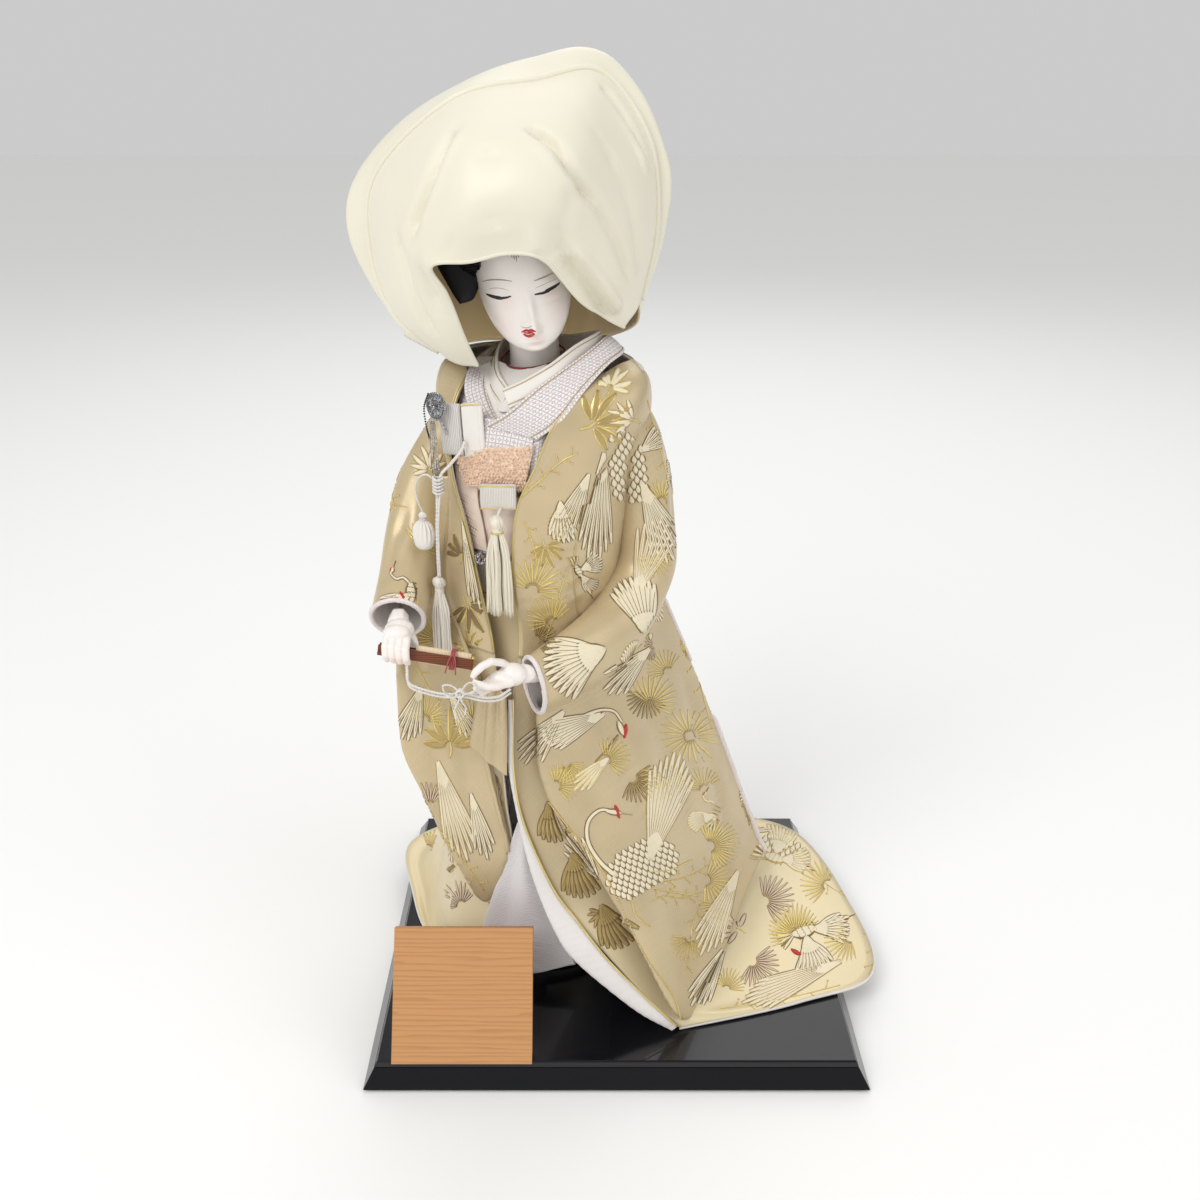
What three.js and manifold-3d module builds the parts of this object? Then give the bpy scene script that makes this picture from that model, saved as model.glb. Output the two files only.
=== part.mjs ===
// Bride doll on a lacquered board, with a loose name plaque.
// Millimetres, Z up. X runs to the right and Y away from whoever stands in front of the board.
// The middle of the board's underside is the working origin. The last lines move the whole
// object so that the middle of its bounding box stands at X = Y = 0 and it rests on Z = 0.

import * as THREE from "three";
import { mergeVertices } from "three/addons/utils/BufferGeometryUtils.js";
import Module from "manifold-3d";

const kernel = await Module();
kernel.setup();

// Driving dimensions
const GAP = 0.35; // air between pieces that touch on the real object
const BOARD_W = 300; // lacquered board, along X, at its foot
const BOARD_D = 262; // and along Y
const BOARD_H = 17; // up to the top face
const BOARD_BEVEL = 7.5; // how far the sides lean in
const PANEL_T = 3.6;
const RAIL_W = 22;
const PAD_R = 9;
const PAD_T = 2;
const TURN = 26; // degrees that the doll is turned to the left of the board's front
const DOLL_X = -47; // the doll's upright axis
const DOLL_Y = -2;
const LEG_TOP = 150; // where the legs enter the body core
const PIN_R = 1.5; // steel pins that hold the doll on the board
const WIRE_R = 1.3; // the arm wire
const PEG_R = 4; // the neck peg
const CLOTH = 1.6; // wall of a garment, cloth and its paper backing together
const SHOULDER_UP = 389; // the arm wire crosses the body here
const HEAD_AT = [-51, -22, SHOULDER_UP + 69];
const HEAD_PITCH = 13;
const HEAD_ROLL = -9.5;
const HEAD_YAW = 6;
const PLAQUE_W = 83;
const PLAQUE_H = 78;
const PLAQUE_T = 8;
const PLAQUE_LEAN = 33;
const PLAQUE_AT = [-91.5, -126]; // middle of its lower front edge

const FLOOR = BOARD_H + GAP; // where things stand on the board

// Materials
function material(color, roughness, metalness = 0) {
  return new THREE.MeshStandardMaterial({ color, roughness, metalness });
}

const LACQUER = material(0x0b0a0c, 0.12);
const FELT = material(0x26262a, 0.95);
const STEEL = material(0xb8bcc0, 0.35, 1);
const WOOD = material(0xcaa46b, 0.6);
const CEDAR = material(0xc08448, 0.6);
const STRAW = material(0xbfa468, 0.95);
const COTTON = material(0xeeeae0, 0.95);
const PORCELAIN = material(0xf6f0ea, 0.3);
const HAIR = material(0x0a0a0c, 0.4);
const SATIN = material(0xf2ecd8, 0.45);
const WHITE_SILK = material(0xf0ebe0, 0.6);
const SILVER_SILK = material(0xe8e2dc, 0.5);
const BROCADE = material(0xc8ab70, 0.45);
const OBI_SILK = material(0xc9b28c, 0.6);
const PINK_SILK = material(0xf0d0b4, 0.9);
const SILVER = material(0xc9cbd0, 0.3, 1);
const BAMBOO = material(0x4a2413, 0.3);
const PAPER = material(0xe8d8bc, 0.8);
const RED_CORD = material(0xb0382e, 0.7);

// Small helpers
const rad = THREE.MathUtils.degToRad;
const V = (x, y, z) => new THREE.Vector3(x, y, z);
const vec = (p) => (p.isVector3 ? p : V(...p));
const clamp = (x, low, high) => Math.min(high, Math.max(low, x));
const bump = (x, middle, width) => Math.exp(-(((x - middle) / width) ** 2));
const mix = (a, b, t) => a + (b - a) * t;

// A point given in the doll's own frame: to its left, forwards, and up from the board's foot.
function onDoll(left, front, up) {
  const c = Math.cos(rad(TURN));
  const s = Math.sin(rad(TURN));
  return V(DOLL_X + left * c - front * s, DOLL_Y - left * s - front * c, up);
}

// Smooth line through a list of points, as a function of 0 to 1.
function through(points) {
  const line = points.map(vec);
  return (t) => {
    const at = clamp(t, 0, 1) * (line.length - 1);
    const i = Math.min(Math.floor(at), line.length - 2);
    const f = at - i;
    const p1 = line[i];
    const p2 = line[i + 1];
    const p0 = i > 0 ? line[i - 1] : p1.clone().multiplyScalar(2).sub(p2);
    const p3 = i + 2 < line.length ? line[i + 2] : p2.clone().multiplyScalar(2).sub(p1);
    const spline = (a, b, c, d) =>
      b + 0.5 * f * (c - a + f * (2 * a - 5 * b + 4 * c - d + f * (3 * (b - c) + d - a)));
    return V(
      spline(p0.x, p1.x, p2.x, p3.x),
      spline(p0.y, p1.y, p2.y, p3.y),
      spline(p0.z, p1.z, p2.z, p3.z),
    );
  };
}

// Smooth surface through rows of points, as a function of (along a row, across the rows).
function surface(rows) {
  const lines = rows.map(through);
  return (u, v) => through(lines.map((line) => line(u)))(v);
}

// Triangles of a closed body, turned so that they face out.
function body(points, triangles) {
  let volume = 0;
  for (const [a, b, c] of triangles) {
    volume += points[a].dot(points[b].clone().cross(points[c]));
  }
  const index = triangles.flatMap(([a, b, c]) => (volume > 0 ? [a, b, c] : [a, c, b]));
  const g = new THREE.BufferGeometry();
  g.setAttribute(
    "position",
    new THREE.Float32BufferAttribute(points.flatMap((p) => [p.x, p.y, p.z]), 3),
  );
  g.setIndex(index);
  return g;
}

// Body through a row of closed loops, with flat ends.
function loft(loops) {
  const n = loops[0].length;
  const points = loops.flat();
  const triangles = [];
  for (let k = 0; k < loops.length - 1; k++) {
    for (let i = 0; i < n; i++) {
      const a = k * n + i;
      const b = k * n + ((i + 1) % n);
      triangles.push([a, b, b + n], [a, b + n, a + n]);
    }
  }
  for (const [k, flip] of [[0, true], [loops.length - 1, false]]) {
    const middle = V(0, 0, 0);
    loops[k].forEach((p) => middle.add(p));
    points.push(middle.divideScalar(n));
    const m = points.length - 1;
    for (let i = 0; i < n; i++) {
      const a = k * n + i;
      const b = k * n + ((i + 1) % n);
      triangles.push(flip ? [m, b, a] : [m, a, b]);
    }
  }
  return body(points, triangles);
}

// Sheet with a wall, from a function of (u, v) that gives its middle surface. Its edges can be
// drawn out by a margin, for the room that a sheet needs in its neighbours.
function sheet(at, nu, nv, wall = CLOTH, margin = 0) {
  const middle = [];
  for (let j = 0; j <= nv; j++) {
    for (let i = 0; i <= nu; i++) middle.push(at(i / nu, j / nv));
  }
  const pick = (i, j) => middle[clamp(j, 0, nv) * (nu + 1) + clamp(i, 0, nu)];
  const draw = (p, next) => p.add(p.clone().sub(next).setLength(margin));
  if (margin > 0) {
    for (let j = 0; j <= nv; j++) {
      draw(pick(0, j), pick(1, j));
      draw(pick(nu, j), pick(nu - 1, j));
    }
    for (let i = 0; i <= nu; i++) {
      draw(pick(i, 0), pick(i, 1));
      draw(pick(i, nv), pick(i, nv - 1));
    }
  }
  const points = [];
  for (const side of [0.5, -0.5]) {
    for (let j = 0; j <= nv; j++) {
      for (let i = 0; i <= nu; i++) {
        const along = pick(i + 1, j).clone().sub(pick(i - 1, j));
        const across = pick(i, j + 1).clone().sub(pick(i, j - 1));
        const normal = along.cross(across).normalize();
        points.push(pick(i, j).clone().addScaledVector(normal, side * wall));
      }
    }
  }
  const far = (nu + 1) * (nv + 1);
  const id = (i, j) => j * (nu + 1) + i;
  const triangles = [];
  const quad = (a, b, c, d) => triangles.push([a, b, c], [a, c, d]);
  for (let j = 0; j < nv; j++) {
    for (let i = 0; i < nu; i++) {
      const q = [id(i, j), id(i + 1, j), id(i + 1, j + 1), id(i, j + 1)];
      quad(...q);
      quad(...[q[0], q[3], q[2], q[1]].map((k) => k + far));
    }
  }
  const rim = [];
  for (let i = 0; i < nu; i++) rim.push([id(i, 0), id(i + 1, 0)]);
  for (let j = 0; j < nv; j++) rim.push([id(nu, j), id(nu, j + 1)]);
  for (let i = nu; i > 0; i--) rim.push([id(i, nv), id(i - 1, nv)]);
  for (let j = nv; j > 0; j--) rim.push([id(0, j), id(0, j - 1)]);
  for (const [a, b] of rim) quad(b, a, a + far, b + far);
  return body(points, triangles);
}

// Loops of an oval tube along a line. radii(t) gives [level, upright] half sizes.
function ovals(points, radii, steps, sides, from = 0, to = 1) {
  const line = through(points);
  const loops = [];
  let level = null;
  for (let k = 0; k <= steps; k++) {
    const t = mix(from, to, k / steps);
    const ahead = line(Math.min(t + 0.02, 1)).sub(line(Math.max(t - 0.02, 0))).normalize();
    const flat = V(-ahead.y, ahead.x, 0);
    const sure = clamp((flat.length() - 0.25) / 0.5, 0, 1);
    if (level === null) level = flat.length() > 0.1 ? flat.clone() : V(1, 0, 0);
    if (flat.dot(level) < 0) flat.negate();
    level.lerp(flat.normalize(), 0.4 * sure);
    level.addScaledVector(ahead, -level.dot(ahead)).normalize();
    const upright = ahead.clone().cross(level).normalize();
    const [rl, ru] = radii(t);
    const loop = [];
    for (let i = 0; i < sides; i++) {
      const w = (2 * Math.PI * i) / sides;
      loop.push(
        line(t).addScaledVector(level, rl * Math.cos(w)).addScaledVector(upright, ru * Math.sin(w)),
      );
    }
    loops.push(loop);
  }
  return loops;
}

function tube(points, radius, steps, sides = 8) {
  return loft(ovals(points, () => [radius, radius], steps, sides));
}

// Booleans
function solid(geometry) {
  const g = geometry.clone();
  g.deleteAttribute("normal");
  g.deleteAttribute("uv");
  const m = mergeVertices(g, 1e-4);
  return new kernel.Manifold(
    new kernel.Mesh({
      numProp: 3,
      vertProperties: new Float32Array(m.attributes.position.array),
      triVerts: new Uint32Array(m.index.array),
    }),
  );
}

function shape(manifold) {
  const parts = manifold.decompose().sort((a, b) => b.volume() - a.volume());
  const mesh = parts[0].getMesh();
  const g = new THREE.BufferGeometry();
  g.setAttribute("position", new THREE.Float32BufferAttribute(mesh.vertProperties, 3));
  g.setIndex(Array.from(mesh.triVerts));
  return g;
}

// The largest piece that is left of a after cutting the others away.
function cut(a, ...others) {
  return shape(others.reduce((m, g) => m.subtract(solid(g)), solid(a)));
}

function join(a, ...others) {
  return shape(others.reduce((m, g) => m.add(solid(g)), solid(a)));
}

function block(w, d, h, x, y, z) {
  return new THREE.BoxGeometry(w, d, h).translate(x, y, z);
}

function ball(rx, ry, rz, at, wide = 16, high = 12) {
  return mergeVertices(
    new THREE.SphereGeometry(1, wide, high).deleteAttribute("uv").deleteAttribute("normal"),
    1e-4,
  ).scale(rx, ry, rz).translate(...at);
}

// Upright round bar
function bar(radius, z0, z1, at, sides = 16) {
  return new THREE.CylinderGeometry(radius, radius, z1 - z0, sides)
    .rotateX(Math.PI / 2)
    .translate(at.x, at.y, (z0 + z1) / 2);
}

// Rod along a line that narrows at both ends
function finger(points, radius, steps = 5) {
  const half = (t) => radius * Math.min(1, 0.6 + 4 * Math.min(t, 1 - t));
  return loft(ovals(points, (t) => [half(t), half(t)], steps, 6));
}

const group = new THREE.Group();

function add(name, geometry, mat) {
  const mesh = new THREE.Mesh(geometry, mat);
  mesh.name = name;
  group.add(mesh);
  return geometry;
}

// Garment outlines. Each table is a net of points on the middle of the cloth.
// Hood, front sheet: from the edge over the face outwards, left bottom to right bottom
const BRIM = [
  [[-75, -32, 410], [-81, -44, 430], [-87, -55, 451], [-92, -62, 465], [-73, -67, 468],
    [-54, -70, 472], [-37, -68, 468], [-21, -52, 447], [-8, -38, 436], [2, -22, 428]],
  [[-83, -28, 410], [-95, -36, 430], [-102, -42, 453], [-103, -50, 475], [-75, -72, 494],
    [-50, -76, 501], [-28, -72, 496], [-10, -52, 471], [-1, -40, 450], [4, -22, 431]],
  [[-91, -20, 411], [-109, -24, 430], [-118, -25, 459], [-114, -30, 490], [-81, -52, 519],
    [-48, -55, 527], [-18, -48, 525], [3, -34, 497], [9, -26, 468], [8, -17, 435]],
  [[-97, -12, 413], [-120, -8, 430], [-131, -4, 465], [-125, -6, 502], [-83, -22, 537],
    [-42, -18, 546], [-11, -8, 549], [13, -6, 519], [18, -6, 482], [11, -10, 440]],
];

// Hood, crown: from just behind the front sheet's outer edge to the back of the head
const CROWN = [
  [[-101, 6, 409], [-133, 8, 446], [-145, 12, 484], [-128, 14, 512], [-96, 14, 537],
    [-46, 14, 556], [-5, 8, 555], [22, 4, 509], [21, 2, 472], [9, 0, 426]],
  [[-122, 36, 412], [-118, 36, 465], [-108, 36, 499], [-92, 36, 523], [-72, 36, 534],
    [-52, 36, 534], [-32, 36, 523], [-16, 36, 499], [-6, 36, 465], [-2, 36, 412]],
  [[-110, 56, 406], [-107, 56, 448], [-99, 56, 475], [-86, 56, 493], [-70, 56, 503],
    [-54, 56, 503], [-38, 56, 493], [-25, 56, 475], [-17, 56, 448], [-14, 56, 406]],
  [[-100, 66, 402], [-98, 66, 425], [-91, 66, 441], [-81, 66, 451], [-69, 66, 456], [-55, 66, 456],
    [-43, 66, 451], [-33, 66, 441], [-26, 66, 425], [-24, 66, 402]],
  [[-95, 69, 400], [-93, 69, 401], [-87, 69, 402], [-78, 69, 403], [-68, 69, 403], [-56, 69, 403],
    [-46, 69, 403], [-37, 69, 402], [-31, 69, 401], [-29, 69, 400]],
];

// Outer robe: from the neck to the hem, left front edge round the back to the right one
const ROBE = [
  [[-4, -26, 407], [6, -14, 408], [3, 2, 408], [-5, 16, 408], [-17, 27, 408], [-38, 36, 408],
    [-59, 37, 408], [-75, 31, 408], [-84, 23, 408], [-89, 14, 408], [-88, 8, 408], [-81, -10, 401]],
  [[-19, -44, 399], [9, -34, 400], [15, -17, 400], [10, 2, 400], [-2, 20, 400], [-29, 37, 400],
    [-60, 43, 400], [-82, 37, 400], [-94, 26, 400], [-98, 14, 400], [-97, 4, 400], [-88, -20, 388]],
  [[-34, -52, 385], [0, -46, 384], [14, -29, 384], [16, -8, 384], [6, 13, 384], [-21, 36, 384],
    [-56, 45, 384], [-82, 39, 384], [-96, 27, 384], [-101, 11, 384], [-100, -3, 384],
    [-92, -27, 368]],
  [[-45, -54, 361], [-15, -48, 360], [4, -32, 360], [10, -10, 360], [5, 14, 360], [-18, 38, 360],
    [-51, 46, 360], [-77, 38, 360], [-91, 23, 360], [-97, 4, 360], [-95, -11, 360], [-90, -31, 347]],
  [[-55, -54, 337], [-27, -51, 330], [-4, -34, 330], [7, -10, 330], [5, 18, 330], [-16, 45, 330],
    [-49, 51, 330], [-76, 38, 330], [-91, 18, 330], [-95, -4, 330], [-94, -25, 330], [-83, -36, 319]],
  [[-58, -55, 303], [-30, -49, 296], [-7, -32, 296], [4, -6, 296], [2, 23, 296], [-19, 49, 296],
    [-53, 51, 296], [-79, 33, 296], [-91, 10, 296], [-96, -12, 296], [-98, -30, 296],
    [-77, -42, 289]],
  [[-55, -53, 260], [-27, -46, 262], [-6, -27, 262], [3, 1, 262], [-1, 29, 262], [-26, 52, 262],
    [-60, 48, 262], [-84, 26, 262], [-93, 3, 262], [-95, -17, 262], [-95, -34, 262], [-71, -48, 258]],
  [[-60, -56, 223], [-27, -46, 232], [-6, -27, 232], [4, 1, 232], [0, 29, 232], [-24, 53, 232],
    [-59, 49, 232], [-84, 27, 232], [-94, 4, 232], [-93, -18, 232], [-89, -36, 232], [-69, -52, 228]],
  [[-62, -60, 181], [-24, -47, 200], [-3, -27, 200], [7, 1, 200], [4, 30, 200], [-20, 56, 200],
    [-57, 52, 200], [-84, 31, 200], [-96, 8, 200], [-93, -17, 200], [-84, -33, 200], [-68, -55, 196]],
  [[-57, -62, 149], [-18, -49, 168], [3, -28, 168], [13, 2, 168], [11, 33, 168], [-12, 60, 168],
    [-54, 58, 168], [-84, 37, 168], [-99, 14, 168], [-96, -13, 168], [-87, -32, 168],
    [-65, -56, 155]],
  [[-40, -72, 107], [-6, -54, 128], [15, -28, 128], [27, 3, 128], [27, 38, 128], [1, 70, 128],
    [-47, 68, 128], [-85, 50, 128], [-105, 25, 128], [-102, -6, 128], [-92, -30, 128],
    [-63, -56, 121]],
  [[-19, -83, 81], [17, -63, 78], [38, -29, 78], [52, 6, 78], [57, 47, 78], [26, 85, 78],
    [-36, 86, 78], [-85, 71, 78], [-116, 44, 78], [-112, 5, 78], [-101, -27, 78], [-70, -55, 92]],
  [[21, -95, 35], [52, -76, 24], [74, -30, 24], [92, 10, 24], [104, 62, 24], [60, 108, 24],
    [-20, 112, 24], [-86, 102, 24], [-132, 72, 24], [-126, 22, 24], [-114, -22, 24], [-82, -50, 35]],
  [[39, -99, 19], [116, -77, 19], [167, -51, 19], [167, 16, 19], [140, 104, 19], [70, 128, 19],
    [-20, 128, 19], [-95, 124, 19], [-150, 90, 19], [-141, 30, 19], [-122, -18, 19], [-86, -46, 19]],
];

// Left sleeve's bag: from the arm down, open rear edge to wrist edge
const BAG_LEFT = [
  [[21, 18, 279], [14, 0, 267], [2, -24, 265], [-16, -46, 257], [-32, -62, 255], [-43, -74, 240]],
  [[57, 38, 186], [36, 12, 208], [14, -18, 221], [-7, -44, 223], [-26, -64, 218], [-43, -74, 211]],
  [[77, 46, 131], [55, 14, 151], [30, -20, 169], [7, -48, 178], [-16, -67, 180], [-43, -75, 185]],
  [[94, 50, 83], [73, 16, 97], [50, -22, 109], [25, -54, 121], [0, -72, 131], [-35, -76, 159]],
  [[106, 52, 52], [88, 18, 49], [68, -22, 50], [45, -58, 59], [18, -79, 96], [-19, -80, 135]],
  [[112, 51, 40], [95, 16, 32], [73, -40, 28], [57, -71, 27], [40, -101, 27], [5, -88, 89]],
];

// Right sleeve's bag: from the arm down, wrist edge to open rear edge
const BAG_RIGHT = [
  [[-122, -60, 264], [-118, -46, 257], [-112, -34, 262], [-106, -30, 274], [-101, -30, 287]],
  [[-125, -62, 233], [-114, -58, 224], [-102, -54, 222], [-89, -52, 228], [-80, -52, 234]],
  [[-125, -62, 194], [-112, -60, 186], [-99, -57, 180], [-86, -56, 183], [-76, -57, 187]],
  [[-115, -62, 163], [-105, -60, 155], [-93, -58, 148], [-80, -58, 147], [-69, -60, 147]],
  [[-102, -60, 122], [-95, -58, 115], [-87, -57, 111], [-77, -57, 111], [-65, -60, 122]],
  [[-88, -56, 84], [-85, -55, 79], [-81, -55, 77], [-77, -55, 80], [-69, -56, 95]],
];

// Padded white hem on the robe's left front edge
const HEM = [
  [[-59, -61, 226], [-60, -63, 183], [-55, -65, 146], [-39, -75, 108], [-23, -83, 87],
    [-5, -91, 65], [18, -97, 41], [37, -101, 22]],
  [[-62, -62, 227], [-63, -64, 183], [-58, -66, 145], [-48, -77, 108], [-37, -86, 82],
    [-23, -92, 63], [9, -99, 35], [34, -102, 20]],
];

// Piece of the robe's front that the left hand gathers up
const FOLD = [
  [[-78, -58, 234], [-71, -63, 235], [-63, -64, 233]],
  [[-82, -60, 215], [-73, -66, 209], [-63, -66, 206]],
  [[-85, -61, 197], [-75, -65, 188], [-64, -66, 179]],
];

// The legs' places, and the sandals' soles
const LEGS = [onDoll(13, 4, 0), onDoll(-13, 4, 0)];
const SOLE_T = 5;

// Board: a panel on four mitred rails, on felt pads
function makeBoard() {
  const top = BOARD_H - PANEL_T - GAP;
  const profile = [[0, PAD_T], [BOARD_BEVEL - 1.2, top], [RAIL_W, top], [RAIL_W, PAD_T]];
  const rail = (w, d) => {
    const end = (s) =>
      profile.map(([inset, z]) => V(s * (w / 2 - inset - GAP / 2), inset - d / 2, z));
    return loft([end(-1), end(1)]);
  };
  add("stand_rail_front", rail(BOARD_W, BOARD_D), LACQUER);
  add("stand_rail_back", rail(BOARD_W, BOARD_D).rotateZ(Math.PI), LACQUER);
  add("stand_rail_left", rail(BOARD_D, BOARD_W).rotateZ(-Math.PI / 2), LACQUER);
  add("stand_rail_right", rail(BOARD_D, BOARD_W).rotateZ(Math.PI / 2), LACQUER);

  const slab = [
    [BOARD_BEVEL - 0.9, BOARD_H - PANEL_T],
    [BOARD_BEVEL, BOARD_H - 0.9],
    [BOARD_BEVEL + 0.9, BOARD_H],
  ].map(([inset, z]) => {
    const x = BOARD_W / 2 - inset;
    const y = BOARD_D / 2 - inset;
    return [V(-x, -y, z), V(x, -y, z), V(x, y, z), V(-x, y, z)];
  });
  const holes = LEGS.map((at) => bar(PIN_R + GAP, 0, BOARD_H + 5, at));
  add("stand_panel", cut(loft(slab), ...holes), LACQUER);

  let n = 1;
  for (const x of [-1, 1]) {
    for (const y of [-1, 1]) {
      const at = V(x * (BOARD_W / 2 - 12), y * (BOARD_D / 2 - 12), 0);
      add("foot_pad_" + n, bar(PAD_R, 0, PAD_T - GAP, at, 14), FELT);
      n += 1;
    }
  }
}

// Legs in white socks on sandals, pinned through the board

function makeLegs() {
  LEGS.forEach((at, i) => {
    const side = ["left", "right"][i];
    const toe = onDoll(i ? -14 : 14, 12, 0);
    const turn = -rad(TURN);
    const sole = new THREE.CylinderGeometry(1, 0.94, SOLE_T, 16)
      .rotateX(Math.PI / 2)
      .scale(10, 24, 1)
      .rotateZ(turn)
      .translate(toe.x, toe.y, FLOOR + SOLE_T / 2);
    const pin = (r) => bar(r, 0, LEG_TOP + 25, at, 12);
    add("sandal_" + side, cut(sole, pin(PIN_R + GAP)), WHITE_SILK);

    const z0 = FLOOR + SOLE_T + GAP;
    const foot = ball(8.5, 20, 11, [0, 0, 0], 12, 8).rotateZ(turn).translate(toe.x, toe.y, z0 + 3);
    const shin = loft(
      [[z0 + 1, 8], [z0 + 14, 8.5], [90, 11], [LEG_TOP, 12]].map(([z, r]) => {
        const loop = [];
        for (let k = 0; k < 10; k++) {
          const w = (2 * Math.PI * k) / 10;
          loop.push(V(at.x + r * Math.cos(w), at.y + r * Math.sin(w), z));
        }
        return loop;
      }),
    );
    const below = block(90, 90, 40, toe.x, toe.y, z0 - 20);
    add("leg_" + side, cut(join(foot, shin), below, pin(PIN_R + GAP)), PORCELAIN);

    const under = BOARD_H - PANEL_T - GAP;
    const screw = join(bar(PIN_R, under - 1, LEG_TOP + 20, at, 12), bar(3.4, under - 3, under, at, 12));
    add("leg_pin_" + side, screw, STEEL);
  });
}

// An oval ring of the doll's body at one height: [up, half width, front, back, shift to the left]
function ringPoint([up, w, f, g, shift = 0], degrees) {
  const s = Math.sin(rad(degrees));
  const c = Math.cos(rad(degrees));
  return onDoll(shift + w * s, (c > 0 ? f : g) * c, up);
}

// Garment tube through such rings. turns(v) gives the first and the last angle at a height.
function wrap(rings, turns, nu, nv, wall, grow = 0) {
  const at = (u, v) => {
    const [from, to] = turns(v);
    const line = through(rings.map((r) => ringPoint(r.map((q, k) =>
      (k > 0 && k < 4 ? q + grow * u : q)), mix(from, to, u))));
    return line(v);
  };
  return sheet(at, nu, nv, wall);
}

const TORSO = [
  [LEG_TOP + GAP, 30, 27, 24, 3], [176, 35.8, 33, 31, 3], [200, 36.5, 34, 32, 3],
  [260, 36.5, 34.5, 33, 3], [320, 37.4, 36.5, 32.4, 3], [SHOULDER_UP - 37, 37, 35, 31, 3],
  [SHOULDER_UP - 13, 34, 27, 26, 2], [SHOULDER_UP + 1, 26, 22, 20, 3],
  [SHOULDER_UP + 9, 19, 16, 15, 3],
];
const NECK_UP = SHOULDER_UP + 9; // top of the body core
const PEG_FOOT = SHOULDER_UP - 17;
const NECK_AT = onDoll(3, 3, 0);
const WIRE = [
  [-53, -85.5, 256], [-38, -73, 251], [-18, -58, 254], [1, -35, 263], [16, -13, 288],
  [19, -9, 322], [14, -14, 356], onDoll(38, -1, SHOULDER_UP - 1), onDoll(3, -3, SHOULDER_UP - 3),
  onDoll(-30, -1, SHOULDER_UP - 1), [-91, 12, 372], [-109, 3, 342], [-117, -12, 312],
  [-118, -34, 293], [-119.5, -52, 285], [-119.5, -68, 280],
];
const wireTube = (radius) => tube(WIRE, radius, 38, 5);

function makeCore() {
  const loops = TORSO.map((r) => {
    const loop = [];
    for (let k = 0; k < 18; k++) loop.push(ringPoint(r, (-360 * k) / 18));
    return loop;
  });
  const pegHole = bar(PEG_R + GAP, PEG_FOOT - 2, NECK_UP + 12, NECK_AT, 12);
  const pins = LEGS.map((at) => bar(PIN_R + GAP, 100, LEG_TOP + 22, at, 12));
  const wireWay = wireTube(WIRE_R + GAP);
  add("body_core", cut(loft(loops), pegHole, wireWay, ...pins), STRAW);
  add("arm_wire", cut(wireTube(WIRE_R), bar(PEG_R + 1.2, PEG_FOOT - 1, NECK_UP + 14, NECK_AT, 12)), STEEL);
}

// The crown starts just inside the front sheet.
const HOOD_HEART = V(-55, 8, 480);

function crownSurface() {
  const brim = surface(BRIM);
  const tucked = [0.76, 1].map((v) => CROWN[0].map((_, i) => {
    const u = i / (CROWN[0].length - 1);
    const along = brim(Math.min(u + 0.02, 1), v).sub(brim(Math.max(u - 0.02, 0), v));
    const normal = along.cross(brim(u, v).sub(brim(u, v - 0.04))).normalize();
    if (normal.dot(HOOD_HEART.clone().sub(brim(u, v))) < 0) normal.negate();
    return brim(u, v).addScaledVector(normal, CLOTH + 4 * GAP);
  }));
  return surface([...tucked, ...CROWN]);
}

// Head: rows of [up, half width, front, back] from the chin to the crown
const HEAD_ROWS = [
  [-36, 4, -22, -14], [-34.5, 8, -25, -9], [-31, 14, -26.3, -2], [-25, 18.8, -27, 8],
  [-17, 22.2, -27.6, 17], [-8, 24.2, -28, 24], [1, 25, -28.5, 28], [11, 24.6, -28.5, 29.5],
  [20, 22, -26.5, 28], [28, 17, -20.5, 22], [33, 9.5, -11, 12], [35, 3, -4, 4],
];
const EYE_UP = -5.5;
const MOUTH_UP = -27.5;

function facePoint(w, v) {
  const rows = through(HEAD_ROWS.map(([up, half, front, back]) => V(half, front, back)))(v);
  const up = through(HEAD_ROWS.map((r) => V(0, 0, r[0])))(v).z;
  const s = Math.sin(w);
  const c = Math.cos(w);
  const middle = (rows.y + rows.z) / 2;
  const deep = (rows.z - rows.y) / 2;
  const p = V(rows.x * Math.sign(s) * Math.abs(s) ** 0.92, middle - deep * c, up);
  if (c > 0) {
    const x = p.x;
    const side = Math.abs(x);
    let out = 0;
    out += 4.2 * bump(x, 0, 2.6) * bump(up, -21.5, 3.2);
    out += 2.2 * bump(x, 0, 2.8) * bump(up, -13, 8);
    out += 0.9 * bump(side, 2.8, 1.6) * bump(up, -22.5, 1.8);
    out -= 1.3 * bump(side, 11, 6) * bump(up, EYE_UP + 1.5, 3.6);
    out += 0.8 * bump(side, 11.5, 5) * bump(up, EYE_UP - 0.5, 2.2);
    out += 0.5 * bump(side, 11, 7) * bump(up, 1.8, 2.4);
    out += 1.3 * bump(x, 0, 4.2) * bump(up, MOUTH_UP, 2.3);
    out -= 0.5 * bump(x, 0, 4) * bump(up, MOUTH_UP - 4, 1.4);
    out += 0.9 * bump(x, 0, 5) * bump(up, -33.5, 2.6);
    p.y -= out * clamp(c * 1.6, 0, 1);
  }
  return p;
}

// From the head's own frame to its place, looking down and leaning
function poseHead(g) {
  return g
    .rotateX(rad(HEAD_PITCH))
    .rotateY(rad(HEAD_ROLL))
    .rotateZ(rad(HEAD_YAW))
    .translate(...HEAD_AT);
}

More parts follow.
